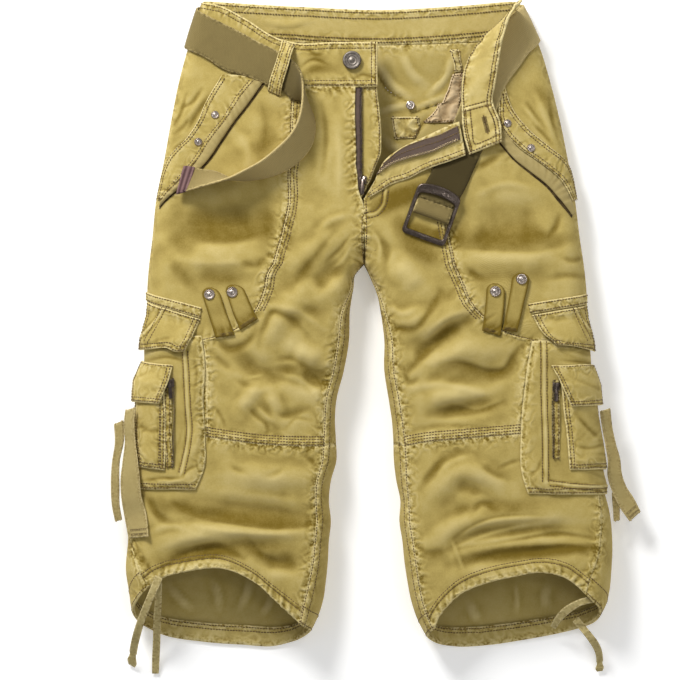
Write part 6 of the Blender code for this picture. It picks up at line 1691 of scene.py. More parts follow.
@dataclass
class Belt:
    """The web belt in its stretches, the loops that hold it and the end binding."""

    wrap: Wrap
    wardrobe: Wardrobe
    sewing: Sewing
    waist: Waist

    def lay(self, name: str, side: int, grid: np.ndarray, lifts: np.ndarray, wall: float,
            finish: str = "belt") -> Cloth:
        """A piece that lies over the wrapped surface at a height for each grid point."""
        points, normals = self.wrap.surface(side, grid[..., 0], grid[..., 1])

        def even_of(values: np.ndarray) -> np.ndarray:
            """The values with their ripples taken out."""
            return blurred(np.pad(values, 9, "edge"), 9)[9:-9, 9:-9]

        normals = Cloth.unit(np.stack([even_of(normals[..., k]) for k in range(3)], axis=-1))
        for _ in range(3 if finish == "belt" else 0):
            even = even_of(points[..., 2])
            flat = ease((normals[..., 2] - 0.5) / 0.4)
            points[..., 2] += flat * (np.maximum(points[..., 2] - 0.15, even) - points[..., 2])
        lifts = np.broadcast_to(np.asarray(lifts, float), grid.shape[:2])
        return Cloth(name, points, normals, lifts + wall, lifts, finish)

    def stretches(self) -> None:
        """The belt round the waist, its free tail and the end behind the buckle."""
        waist, wrap = self.waist, self.wrap

        def back(side: int) -> np.ndarray:
            """The back stretch's grid on one side."""
            u = -np.linspace(BELT_JOINT_U + 0.004, 1, 60)[::-side]
            upper = waist.under(side, u, WAIST_TOP_BACK, BELT_DROP)
            return upper[None] - np.array([0, 1.0]) * np.linspace(0, BELT_WIDTH, 10)[:, None, None]

        points, normals = waist.both(back)
        self.wardrobe.sheet(Cloth("belt_back", points, normals, LAY_GAP + BELT_WALL, LAY_GAP, "belt"),
                            ["belt_back"])
        upper = np.vstack([[-BELT_JOINT_U, BELT_WRAP_Y], [0.0, BELT_LEFT_TOP_Y],
                           wrap.on_top(-1, BELT_LEFT_UPPER)])
        lower = np.vstack([[-BELT_JOINT_U, BELT_WRAP_Y - BELT_WIDTH], [0.0, BELT_LEFT_LOW_Y],
                           wrap.on_top(-1, BELT_LEFT_LOWER)])
        grid = bridged(sample(upper, 70), sample(lower, 70), BELT_COLUMNS)
        tilt = ease(np.linspace(-1.5, 1, len(grid))[:, None]) * BELT_TILT * np.linspace(1, 0, BELT_COLUMNS)
        left = self.lay("belt_front_left", -1, grid, BAND_PROUD + LAY_GAP + 0.9 + tilt, BELT_WALL)
        left.tone -= 0.3
        self.wardrobe.sheet(left, ["belt_front_left"])
        tail = waist.strip("belt_tail", BELT_TAIL, 130, BELT_WALL / 2, -BELT_WALL / 2, "belt", BELT_COLUMNS)
        # Painted light and shade along the tail: light where it stands on edge, shade near its ends
        tail.shade_along(TAIL_SHARES, TAIL_LIGHT_AND_SHADE)
        self.wardrobe.sheet(tail, ["belt_tail"])
        binding = waist.strip("tail_binding", TAIL_BINDING, 23, 1.7, -1.7, "binding", 8)
        binding.tone += 0.9 * np.cos(np.linspace(0, 4 * math.pi, 24))[:, None]
        self.wardrobe.sheet(binding, [])
        upper = np.vstack([[-BELT_JOINT_U, BELT_WRAP_Y], [0.0, BELT_RIGHT_TOP_Y],
                           wrap.on_top(1, [row[:2] for row in BELT_RIGHT])])
        lower = np.vstack([[-BELT_JOINT_U, BELT_WRAP_Y - BELT_WIDTH], [0.0, BELT_RIGHT_LOW_Y],
                           wrap.on_top(1, [row[2:4] for row in BELT_RIGHT])])
        grid = bridged(sample(upper, 130), sample(lower, 130), BELT_COLUMNS)
        lifts = np.interp(np.linspace(0, 1, len(grid)), [0, 0.3, 0.5, 0.86, 0.95, 1], BELT_RIGHT_LIFTS)
        right = self.lay("belt_right", 1, grid, lifts[:, None], BELT_WALL)
        # Painted light on the stretch behind the turned band, painted shade under the turned corner by the
        # buckle
        right.shade_along(BELT_SHARES, BELT_LIGHT_AND_SHADE)
        self.wardrobe.sheet(right, ["belt_right"])

    def loops(self) -> None:
        """Belt loops: three under the back and one over the belt on the left front."""
        over, under = 2 * LAY_GAP + BELT_WALL, LAY_GAP
        for name, x in BACK_LOOPS:
            side = -1 if x < CENTRE_X else 1
            top = float(through(*zip(*WAIST_TOP_BACK), x))
            belt_top = top - BELT_DROP
            rows = np.array([(top - 0.3, under), (belt_top + 2.3, under), (belt_top + 1.4, over),
                             (belt_top - BELT_WIDTH - 1.4, over), (belt_top - BELT_WIDTH - 3.4, 2 * under),
                             (belt_top - BELT_WIDTH - 9.0, 2 * under)])
            at = np.unique(np.concatenate([rows[:, 0], np.linspace(rows[0, 0], rows[-1, 0], 24)]))[::-1]
            xs = x + np.linspace(-LOOP_WIDTH / 2, LOOP_WIDTH / 2, 6)
            grid = np.stack(np.broadcast_arrays(
                self.wrap.find_u(side, xs[None, :], at[:, None], upper=False), at[:, None]), axis=-1)
            grid = grid[:, ::-1] if side > 0 else grid
            lifts = np.interp(-at, -rows[:, 0], rows[:, 1])[:, None]
            piece = self.lay("belt_loop_" + name, side, grid, lifts, LOOP_WALL, "twill_back")
            self.sewing.edging(piece, SIDES, [2.0])
            self.wardrobe.sheet(piece, ["belt_loop_" + name])
        a, b = self.waist.edges(FRONT_LOOP)
        loop = ribbon("belt_loop_front_left", resample(a, 40), resample(b, 40), LOOP_WALL, 0.0, "twill", 9)
        loop.hemmed(SIDES, 1.8, 0.0, 0.3, 0.3)
        self.sewing.edging(loop, SIDES, (1.8, 4.8))
        self.wardrobe.sheet(loop, ["belt_loop_front_left"])

    def build(self) -> None:
        """Build the belt."""
        self.stretches()
        self.loops()


@dataclass
class Overlays:
    """Pockets, flaps, tabs and bands that lie on the panels."""

    wrap: Wrap
    wardrobe: Wardrobe
    sewing: Sewing
    belt: Belt
    pitch: float = 1.7

    def wrap_u(self, side: int, y: float, degrees: float) -> float:
        """The u reached by turning under the outer edge by an angle."""
        at = np.array(y, float)
        half = float(self.wrap.section(3, at)) / 2
        bend = min(EDGE_ROUND, 1.1 * half)
        arc = math.pi / 2 * math.sqrt((bend**2 + half**2) / 2)
        span = abs(float(self.wrap.inner_edge(side, at, np.array(False)))
                   - float(self.wrap.outer_edge(side, at)))
        return -degrees / 90 * arc / (2 * arc + span - 2 * bend)

    def grid(self, side: int, outer: Sequence, inner: Sequence) -> np.ndarray:
        """Grid of (u, y) between two lines down a piece."""
        if np.ndim(outer[0]) == 0:
            outer = [(self.wrap_u(side, y, EDGE_WRAP), y) for y in np.linspace(*outer, 6)]
        else:
            outer = self.wrap.on_top(side, outer)
        outer, inner = sample(outer, 200), sample(self.wrap.on_top(side, inner), 200)
        a, b = (self.wrap.base(side, line[:, 0], line[:, 1]) for line in (outer, inner))
        rows = int(max(lengths(a)[-1], lengths(b)[-1]) / self.pitch)
        columns = max(int(np.linalg.norm(a - b, axis=1).max() * 1.1 / self.pitch), 6)
        return bridged(resample(outer, rows), resample(inner, rows), columns + 1)

    def pockets(self) -> None:
        """The large and the small cargo pockets, puffed up between their sewn edges."""
        for name, side, lift, puff, outer, inner in POCKETS:
            grid = self.grid(side, outer, inner)
            piece = self.belt.lay(name, side, grid, lift, POCKET_WALL, "twill")
            d = piece.edge()
            swell = puff * ease((d - 2.0) / 7.0) * (0.85 + 0.25 * np.sin(piece.points[..., 1] / 9.5)
                                                    * np.cos(piece.points[..., 0] / 7.0))
            piece.outer, piece.inner = piece.outer + swell, piece.inner + swell
            piece.tone = self.wrap.tone_at(piece.points)
            rows = (2.4, 7.0 if "cargo" in name else 6.0)
            piece.hemmed(list(Border), *rows)
            self.sewing.edging(piece, [Border.BOTTOM] if "cargo" in name else Border, rows, 0.03, 0.97)
            self.sewing.across(piece)
            self.wardrobe.sheet(piece, [name])

    def flaps(self) -> None:
        """Flaps, bands and tabs."""
        for name, side, wall, finish, lifts, outer, inner in FLAPS:
            grid = self.grid(side, outer, inner)
            if "tab" in name:
                middle = grid.mean(1, keepdims=True)
                down = np.arange(len(grid)) * self.pitch / 9.0
                grid = middle + (grid - middle) * np.sqrt(1 - np.clip(0.97 - down, 0, 1) ** 2)[:, None, None]
            heights = np.interp(np.linspace(0, 1, len(grid)), np.linspace(0, 1, len(lifts)), lifts)
            piece = self.belt.lay(name, side, grid, heights[:, None], wall, finish)
            piece.tone = 0.5 * self.wrap.tone_at(piece.points)
            if "flap" in name:
                wave = 0.7 * np.sin(piece.away[2] / 6.5 + 1.0) * ease(piece.away[0] / 12)
                piece.outer, piece.inner = piece.outer + wave, piece.inner + wave
                rows = (2.2, 7.0 if "upper" in name else 5.6)
                piece.hemmed(list(Border), *rows)
                self.sewing.edging(piece, (Border.BOTTOM, *SIDES), rows, 0.02, 0.98)
                self.sewing.edging(piece, [Border.TOP], [2.0])
            elif "tab" in name:
                piece.plain = True
                # Tabs are browner cloth, with painted shade along their edges and near their lower ends
                rim_shade = 0.9 * np.exp(-((piece.edge() / 1.6) ** 2))
                piece.tone = piece.tone - 0.35 - rim_shade - 0.5 * np.exp(-((piece.away[1] - 6) / 6) ** 2)
                self.sewing.bar(piece, 2.2, 2.6)
            elif "slant" in name or "pocket_band" in name:
                slant = "slant" in name
                ends = SIDES if slant else (Border.TOP, Border.BOTTOM)
                piece.hemmed(ends, 1.8, 5.6 if slant else 0.0)
                self.sewing.edging(piece, ends, (1.8, 5.6 if slant else 1.8), SLANT_STARTS.get(name, 0.0))
            elif "piping" in name:
                piece.plain = True
                piece.outer += 1.0 * np.sin(math.pi * np.linspace(0, 1, piece.points.shape[1]))
            self.sewing.across(piece)
            self.wardrobe.sheet(piece, [name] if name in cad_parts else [])

    def straps(self) -> None:
        """The webbing straps beside the cargo pockets."""
        for name, node, rows in STRAPS:
            left, right = [row[:3] for row in rows], [row[3:] for row in rows]
            piece = ribbon(name, sample(left, 70), sample(right, 70), 1.6, 0.0, "webbing", 8)
            self.wardrobe.sheet(piece, [node] if node else [], "hung")
            self.sewing.edging(piece, SIDES, [1.4], thread=Thread.PALE)
            for distance in (3.0, 8.0) if node else ():
                self.sewing.bar(piece, distance, 1.6)

    def build(self) -> None:
        """Build everything that lies on the panels."""
        self.pockets()
        self.flaps()
        self.straps()


@dataclass
class Ties:
    """The flat tie tapes that come out of the hem casings."""

    wardrobe: Wardrobe
    sewing: Sewing
    steps: int = 60

    def build(self) -> None:
        """Build each tie as a flat tape along its rows."""
        for name, rows in TIES:
            left = sample([row[:3] for row in rows], self.steps)
            right = sample([row[3:] for row in rows], self.steps)
            share = np.linspace(0, 1, len(left))[:, None]
            knot = np.exp(-(((share - 0.95) / 0.04) ** 2)) * (name in ("tie_left_1", "tie_right_2"))
            middle, width = (left + right) / 2, 0.68 - 0.14 * (share > 0.85) * (knot > 0) + 0.28 * knot
            left, right = (middle + (edge - middle) * width for edge in (left, right))
            piece = ribbon(name, left, right, TIE_WALL, 0.0, "tie", 8)
            piece.outer += 0.8 * knot
            made = piece.build(self.wardrobe)
            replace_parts(made, name)


class Solid:
    """Mesh code for the hard pieces."""

    @staticmethod
    def stand_at(point: Sequence, normal: Sequence, turn: float) -> Matrix:
        """A hard piece's frame: its Z along a normal and its Y towards the waist, then turned."""
        normal = Vector(normal).normalized()
        up = (Vector((0, 1, 0)) - normal * normal.y).normalized()
        frame = Matrix((up.cross(normal), up, normal)).transposed().to_4x4()
        return Matrix.Translation(Vector(point)) @ frame @ Matrix.Rotation(math.radians(turn), 4, "Z")

    @staticmethod
    def make(name: str, vertices: Sequence, faces: Sequence, bevel: float = 0.0) -> bpy.types.Object:
        """An object from points in millimetres, with its edges rounded.

        Args:
            name: The piece's name.
            vertices: Its points.
            faces: Its faces.
            bevel: Width of the rounding.
        Returns:
            The object, not linked yet.
        """
        mesh = bpy.data.meshes.new(name)
        mesh.from_pydata([tuple((np.array(v) - ORIGIN) * MM) for v in vertices], [], faces)
        work = bmesh.new()
        work.from_mesh(mesh)
        bmesh.ops.recalc_face_normals(work, faces=work.faces)
        if bevel:
            sharp = [e for e in work.edges if e.is_manifold and e.calc_face_angle(0) > math.radians(30)]
            bmesh.ops.bevel(work, geom=sharp, offset=bevel * MM, segments=2, profile=0.5,
                            affect="EDGES", clamp_overlap=True)
        work.to_mesh(mesh)
        work.free()
        mesh.shade_smooth()
        mesh.set_sharp_from_angle(angle=math.radians(50))
        return bpy.data.objects.new(name, mesh)

    @staticmethod
    def turned(name: str, profile: Sequence, place: Matrix, sides: int) -> bpy.types.Object:
        """A round piece from a profile of (radius, height) that starts and ends on its axis."""
        vertices, faces, start = [], [], 0
        for radius, height in profile:
            for k in range(sides if radius > 0 else 1):
                a = 2 * math.pi * k / sides
                vertices.append(place @ Vector((radius * math.cos(a), radius * math.sin(a), height)))
        for (r0, _), (r1, _) in zip(profile, profile[1:]):
            n0, n1 = (sides if r0 > 0 else 1), (sides if r1 > 0 else 1)
            low = [start + k % n0 for k in range(sides + 1)]
            high = [start + n0 + k % n1 for k in range(sides + 1)]
            for k in range(sides):
                face = [low[k], low[k + 1], high[k + 1], high[k]]
                faces.append([v for n, v in enumerate(face) if v not in face[:n]])
            start += n0
        return Solid.make(name, vertices, faces)

    @staticmethod
    def prism(name: str, outline: Sequence, thickness: float, place: Matrix,
              bevel: float) -> bpy.types.Object:
        """An outline in its own plane, extruded by a thickness."""
        count = len(outline)
        vertices = [place @ Vector((x, y, level)) for level in (0, thickness) for x, y in outline]
        faces = [list(range(count))[::-1], list(range(count, 2 * count))]
        faces += [[k, (k + 1) % count, count + (k + 1) % count, count + k] for k in range(count)]
        return Solid.make(name, vertices, faces, bevel)


@dataclass
class Buckle:
    """The frame buckle with its centre bar, and the webbing's end looped round that bar."""

    wrap: Wrap
    wardrobe: Wardrobe
    sewing: Sewing
    bar_height: float = 5.3
    turn: float = -20.0
    tilt: float = 5.0
    width: float = 50.0
    side: float = 4.2
    above: float = 27.0
    below: float = 29.0
    top_bar: float = 10.5
    end_bar: float = 6.4
    thick: float = 3.4
    round: float = 1.6
    bulge: float = 1.3
    arch: float = 5.0
    bar_depth: float = 2.4
    loop_radius: float = 2.1
    loop_tail: float = 12.4
    loop_reach: float = 12.4
    corner: float = 5.0

    def lay(self) -> Matrix:
        """The frame of the bar's middle, on the slope of the cloth under the buckle."""
        turn = Matrix.Rotation(math.radians(self.turn), 4, "Z")
        above, below = turn @ Vector((0, self.above, 0)), turn @ Vector((0, -self.below, 0))
        high = self.wrap.top_height(BAR_CENTRE[0] + above.x, BAR_CENTRE[1] + above.y)
        low = self.wrap.top_height(BAR_CENTRE[0] + below.x, BAR_CENTRE[1] + below.y)
        slope = math.atan2(high - low, self.above + self.below)
        ground = self.wrap.top_height(*BAR_CENTRE)
        return Matrix.Translation((*BAR_CENTRE, ground)) @ turn @ Matrix.Rotation(slope, 4, "X")

    def outline(self, half: float, low: float, high: float, corner: float) -> list[tuple[float, float]]:
        """A rectangle with round corners whose upper edge is arched."""
        points = []
        for cx, cy, start in ((half - corner, high - corner, 0), (-half + corner, high - corner, 90),
                              (-half + corner, low + corner, 180), (half - corner, low + corner, 270)):
            for a in np.radians(np.linspace(start, start + 90, 7)):
                points.append((cx + corner * math.cos(a), cy + corner * math.sin(a)))
            if start == 0:
                points += [(x, high) for x in np.linspace(half - corner, -half + corner, 15)[1:-1]]
        top = self.width / 2
        return [(x, y + (self.arch * (1 - (x / top) ** 2) * ease(np.array((y - 2) / 8)) if y > 2 else 0))
                for x, y in points]

    def frame(self) -> None:
        """The metal frame with its two windows."""
        half, inner = self.width / 2, self.width / 2 - self.side
        shapes = [self.outline(half, -self.below, self.above, self.corner),
                  self.outline(inner, self.bar_depth / 2, self.above - self.top_bar, 2.2),
                  self.outline(inner, -self.below + self.end_bar, -self.bar_depth / 2, 2.2)]
        curve = bpy.data.curves.new("buckle_outline", "CURVE")
        curve.dimensions, curve.fill_mode = "2D", "BOTH"
        curve.bevel_depth, curve.bevel_resolution = self.round * MM, 5
        curve.extrude, curve.offset = (self.thick / 2 - self.round) * MM, -self.round * MM
        for shape in shapes:
            spline = curve.splines.new("POLY")
            spline.points.add(len(shape) - 1)
            spline.use_cyclic_u = True
            for point, (x, y) in zip(spline.points, shape):
                point.co = (x * MM, y * MM, 0, 1)
        holder = bpy.data.objects.new("buckle_outline", curve)
        mesh = bpy.data.meshes.new_from_object(holder)
        bpy.data.objects.remove(holder)
        tilt = Matrix.Rotation(math.radians(self.tilt), 4, "X")
        place = self.lay() @ Matrix.Translation((0, 0, self.bar_height)) @ tilt
        for vertex in mesh.vertices:
            x, y, z = vertex.co / MM
            z += self.bulge * (1 - (x / half) ** 2) * float(ease(np.array((y - 8) / 10)))
            vertex.co = (Vector(place @ Vector((x, y, z))) - Vector(ORIGIN)) * MM
        work = bmesh.new()
        work.from_mesh(mesh)
        bmesh.ops.remove_doubles(work, verts=work.verts, dist=2e-6)
        bmesh.ops.recalc_face_normals(work, faces=work.faces)
        work.to_mesh(mesh)
        work.free()
        mesh.shade_smooth()
        mesh.set_sharp_from_angle(angle=math.radians(35))
        made = bpy.data.objects.new("buckle_frame", mesh)
        self.wardrobe.hang(made, "gunmetal")
        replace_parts(made, "buckle")

    def loop(self) -> None:
        """The webbing's end round the bar, sewn back on itself."""
        radius, lay = self.loop_radius, self.lay()
        path = [(-self.loop_tail, LAY_GAP + BELT_WALL), (-8.0, LAY_GAP + BELT_WALL)]
        path += [(radius * math.sin(a), self.bar_height - radius * math.cos(a))
                 for a in np.linspace(math.radians(20), math.radians(160), 6)]
        path += [(-7.0, self.bar_height + radius - 1.2), (-self.loop_reach, 3.4)]
        fine = resample(sample_plan(path, 90), 40)
        sides = [np.array([lay @ Vector((across, -along, height)) for along, height in fine])
                 for across in (-BELT_WIDTH / 2, BELT_WIDTH / 2)]
        piece = ribbon("belt_buckle_loop", *sides, 0.0, -BELT_WALL, "belt", BELT_COLUMNS)
        # Painted shade: the loop lies in the shade round the buckle
        piece.tone -= 0.4
        self.wardrobe.sheet(piece, ["belt_buckle_loop"])
        self.sewing.edging(piece, [Border.BOTTOM], (3.0, 6.0), thread=Thread.PALE)

    def build(self) -> None:
        """Build the buckle."""
        self.frame()
        self.loop()


@dataclass
class Hardware:
    """Button, studs, zip sliders and their pull tabs."""

    wrap: Wrap
    wardrobe: Wardrobe
    slider_length: float = 9.0
    tab_height: float = 2.4
    tab_wall: float = 1.0

    def button(self) -> None:
        """The shank button on the left front waistband."""
        profile = [(0, 0), (3.5, 0), (3.5, 1.6), (8.6, 1.6), (9.8, 2.1), (10.3, 3.0), (10.2, 3.9), (9.6, 4.6),
                   (8.9, 5.0), (8.0, 5.0), (7.4, 4.5), (6.9, 4.2), (6.1, 4.2), (5.8, 4.6), (5.3, 4.6),
                   (4.9, 4.1), (3.0, 4.0), (2.3, 4.5), (1.2, 4.9), (0, 5.0)]
        x, y = BUTTON_PLACE
        point, normal = self.wrap.surface(-1, self.wrap.find_u(-1, x, y), y)
        place = Solid.stand_at(point + normal * BUTTON_LIFT, normal, 0.0)
        made = self.wardrobe.hang(Solid.turned("shank_button", profile, place, 48), "antique")
        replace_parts(made, "button")

    def studs(self) -> None:
        """Studs on the pocket bands and the tabs, as instances of one turned stud."""
        profile = [(0, 0), (0.97, 0), (1.0, 0.22), (0.95, 0.55), (0.84, 0.8), (0.72, 0.78), (0.66, 0.55),
                   (0.55, 0.5), (0.5, 0.72), (0.4, 0.95), (0.24, 1.08), (0, 1.12)]
        unit = Solid.turned("stud_pattern", [(r * 1000, h * 1000) for r, h in profile],
                            Matrix.Translation(Vector(ORIGIN)), 20)
        bpy.context.scene.collection.objects.link(unit)
        points, ups, sizes = [], [], []
        for x, y, lift, radius, height in STUDS:
            side = -1 if x < CENTRE_X else 1
            point, normal = self.wrap.surface(side, self.wrap.find_u(side, x, y, upper=lift > 0), y)
            points.append(point + normal * lift)
            ups.append(normal if lift > 0 else -normal)
            sizes.append((radius * MM, radius * MM, height * MM))
        made = Trail.scatter("studs", np.array(points), np.array(ups), np.array(sizes), unit,
                             self.wardrobe.finishes["nickel"])
        self.wardrobe.hang(made, "nickel")
        bpy.data.objects.remove(unit)

    def sliders(self) -> None:
        """Zip sliders, each with a pull tab that hinges between its rails."""
        profile = [(-4, 0), (4, 0), (4, 2), (2.8, 2), (2.8, 3.8), (1.7, 3.8), (1.7, 2), (-1.7, 2),
                   (-1.7, 3.8), (-2.8, 3.8), (-2.8, 2), (-4, 2)]
        plan = [(-1.3, 0.5), (-1.3, -5), (-2.1, -6), (-2.1, -15), (-1.2, -16.5), (1.2, -16.5), (2.1, -15),
                (2.1, -6), (1.3, -5), (1.3, 0.5)]
        for name, x, y, lift, turn in SLIDERS:
            side = -1 if x < CENTRE_X else 1
            point, normal = self.wrap.surface(side, self.wrap.find_u(side, x, y), y)
            low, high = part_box(name + "_pull_tab")
            place = Solid.stand_at(point + normal * (lift + 0.5), normal, turn)
            stand = Matrix.Translation((0, self.slider_length / 2, 0)) @ Matrix.Rotation(math.pi / 2, 4, "X")
            body = Solid.prism(name + "_slider_body", profile, self.slider_length, place @ stand, 0.45)
            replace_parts(self.wardrobe.hang(body, "gunmetal"), name + "_slider")
            tab = Solid.prism(name + "_tab", plan, self.tab_wall,
                              place @ Matrix.Translation((0, 0, self.tab_height)), 0.3)
            move = (np.array(low) + np.array(high)) / 2 - self.middle(tab)
            for piece in (body, tab):
                for vertex in piece.data.vertices:
                    vertex.co += Vector(move)
            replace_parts(self.wardrobe.hang(tab, "gunmetal", name + "_pull_tab"), name + "_pull_tab")

    @staticmethod
    def middle(piece: bpy.types.Object) -> np.ndarray:
        """Middle of a piece's box."""
        co = np.array([v.co for v in piece.data.vertices])
        return (co.min(0) + co.max(0)) / 2

    def build(self) -> None:
        """Build the hard pieces."""
        self.button()
        self.studs()
        self.sliders()


class Bead(Enum):
    """The small shapes that are set along a line."""

    STITCH = "stitch"
    TOOTH = "tooth"


class Trail:
    """Geometry Nodes that set small pieces along lines, or on points."""

    @staticmethod
    def socket(tree: bpy.types.NodeTree, name: str, kind: str, output: bool = False) -> None:
        """Add a named socket to a tree."""
        tree.interface.new_socket(name, in_out="OUTPUT" if output else "INPUT",
                                  socket_type="NodeSocket" + kind)

    @staticmethod
    def tree(bead: Bead) -> bpy.types.NodeTree:
        """The tree that sets beads of one shape along every line of a mesh."""
        tree = bpy.data.node_groups.new("trail_" + bead.value, "GeometryNodeTree")
        for name, kind in (("Geometry", "Geometry"), ("Pitch", "Float"), ("Size", "Vector"),
                           ("Stagger", "Float"), ("Jitter", "Float"), ("Seed", "Int"),
                           ("Finish", "Material")):
            Trail.socket(tree, name, kind)
        Trail.socket(tree, "Geometry", "Geometry", output=True)
        nodes = Nodes(tree)
        given = nodes.add("NodeGroupInput").outputs
        curve = nodes.add("GeometryNodeMeshToCurve", {"Mesh": given["Geometry"]})
        spaced = nodes.add("GeometryNodeResampleCurve", {"Curve": curve.outputs[0], "Length": given["Pitch"]},
                           mode="LENGTH")
        up = nodes.add("GeometryNodeInputNamedAttribute", {"Name": "up"}, data_type="FLOAT_VECTOR").outputs[0]
        tangent = nodes.add("GeometryNodeInputTangent").outputs[0]
        across = nodes.add("ShaderNodeVectorMath", {0: up, 1: tangent}, operation="CROSS_PRODUCT").outputs[0]
        index = nodes.add("GeometryNodeInputIndex").outputs[0]
        parity = nodes.math("SUBTRACT", nodes.math("MODULO", index, 2.0), 0.5)
        push = nodes.math("MULTIPLY", parity, given["Stagger"])
        shift = nodes.add("ShaderNodeVectorMath", {0: across, "Scale": push}, operation="SCALE").outputs[0]
        least = nodes.math("MULTIPLY", given["Jitter"], -1.0)
        noise = nodes.add("FunctionNodeRandomValue", {0: (-1, -1, -1), 1: (1, 1, 1), "Seed": given["Seed"]},
                          data_type="FLOAT_VECTOR").outputs[0]
        shake = nodes.add("ShaderNodeVectorMath", {0: noise, "Scale": least}, operation="SCALE").outputs[0]
        offset = nodes.add("ShaderNodeVectorMath", {0: shift, 1: shake}, operation="ADD").outputs[0]
        moved = nodes.add("GeometryNodeSetPosition", {"Geometry": spaced.outputs[0], "Offset": offset})
        along = nodes.add("FunctionNodeAlignRotationToVector", {"Vector": tangent}, axis="X")
        upright = nodes.add("FunctionNodeAlignRotationToVector", {"Rotation": along.outputs[0], "Vector": up},
                            axis="Z", pivot_axis="X")
        if bead is Bead.STITCH:
            shape = nodes.add("GeometryNodeMeshUVSphere", {"Segments": 6, "Rings": 4, "Radius": 0.5})
        else:
            shape = nodes.add("GeometryNodeMeshCube", {"Size": (1.0, 1.0, 1.0)})
        sized = nodes.add("GeometryNodeTransform", {"Geometry": shape.outputs[0], "Scale": given["Size"]})
        set_out = nodes.add("GeometryNodeInstanceOnPoints", {
            "Points": moved.outputs[0], "Instance": sized.outputs[0], "Rotation": upright.outputs[0]})
        real = nodes.add("GeometryNodeRealizeInstances", {"Geometry": set_out.outputs[0]})
        painted = nodes.add("GeometryNodeSetMaterial", {"Geometry": real.outputs[0],
                                                        "Material": given["Finish"]})
        nodes.add("NodeGroupOutput", {"Geometry": painted.outputs[0]})
        return tree

    @staticmethod
    def points_tree() -> bpy.types.NodeTree:
        """The tree that sets one piece on each point, at its own size."""
        tree = bpy.data.node_groups.new("scatter_on_points", "GeometryNodeTree")
        for name, kind in (("Geometry", "Geometry"), ("Piece", "Object"), ("Finish", "Material")):
            Trail.socket(tree, name, kind)
        Trail.socket(tree, "Geometry", "Geometry", output=True)
        nodes = Nodes(tree)
        given = nodes.add("NodeGroupInput").outputs
        up = nodes.add("GeometryNodeInputNamedAttribute", {"Name": "up"}, data_type="FLOAT_VECTOR").outputs[0]
        size = nodes.add("GeometryNodeInputNamedAttribute", {"Name": "size"},
                         data_type="FLOAT_VECTOR").outputs[0]
        upright = nodes.add("FunctionNodeAlignRotationToVector", {"Vector": up}, axis="Z")
        piece = nodes.add("GeometryNodeObjectInfo", {"Object": given["Piece"]})
        set_out = nodes.add("GeometryNodeInstanceOnPoints", {
            "Points": given["Geometry"], "Instance": piece.outputs["Geometry"],
            "Rotation": upright.outputs[0], "Scale": size})
        real = nodes.add("GeometryNodeRealizeInstances", {"Geometry": set_out.outputs[0]})
        painted = nodes.add("GeometryNodeSetMaterial", {"Geometry": real.outputs[0],
                                                        "Material": given["Finish"]})
        nodes.add("NodeGroupOutput", {"Geometry": painted.outputs[0]})
        return tree

    @staticmethod
    def bake(name: str, vertices: np.ndarray, edges: Sequence, vectors: dict[str, np.ndarray],
             tree: bpy.types.NodeTree, values: dict[str, object]) -> bpy.types.Object:
        """Run a tree on a mesh and keep the result as a plain mesh.

        Args:
            name: The piece's name.
            vertices: Points in millimetres.
            edges: Pairs of points that are joined.
            vectors: Vector attributes of the points, by name.
            tree: The tree to run.
            values: The tree's inputs, by name.
        Returns:
            The object, not linked.
        """
        mesh = bpy.data.meshes.new(name)
        mesh.from_pydata((vertices - ORIGIN) * MM, edges, [])
        for key, value in vectors.items():
            mesh.attributes.new(key, "FLOAT_VECTOR", "POINT").data.foreach_set("vector", value.reshape(-1))
        made = bpy.data.objects.new(name, mesh)
        bpy.context.scene.collection.objects.link(made)
        modifier = made.modifiers.new("trail", "NODES")
        modifier.node_group = tree
        for item in tree.interface.items_tree:
            if item.in_out == "INPUT" and item.name in values:
                modifier[item.identifier] = values[item.name]
        bpy.context.view_layer.update()
        graph = bpy.context.evaluated_depsgraph_get()
        result = bpy.data.meshes.new_from_object(made.evaluated_get(graph))
        made.modifiers.remove(modifier)
        bpy.data.objects.remove(made)
        result.shade_smooth()
        return bpy.data.objects.new(name, result)

    @staticmethod
    def along(name: str, lines: Sequence, bead: Bead, pitch: float, size: Sequence[float], finish: object,
              stagger: float = 0.0, jitter: float = 0.0, seed: int = 1) -> bpy.types.Object:
        """Set beads along lines of points and normals; sizes are in millimetres."""
        points = np.concatenate([line[0] for line in lines])
        ups = np.concatenate([line[1] for line in lines])
        edges, start = [], 0
        for line in lines:
            count = len(line[0])
            edges += [(start + k, start + k + 1) for k in range(count - 1)]
            start += count
        return Trail.bake(name, points, edges, {"up": ups}, Trail.tree(bead), {
            "Pitch": pitch * MM, "Size": tuple(value * MM for value in size), "Stagger": stagger * MM,
            "Jitter": jitter * MM, "Seed": seed, "Finish": finish})

    @staticmethod
    def scatter(name: str, points: np.ndarray, ups: np.ndarray, sizes: np.ndarray, piece: bpy.types.Object,
                finish: bpy.types.Material) -> bpy.types.Object:
        """Set one piece on each point."""
        return Trail.bake(name, points, [], {"up": ups, "size": sizes}, Trail.points_tree(),
                          {"Piece": piece, "Finish": finish})


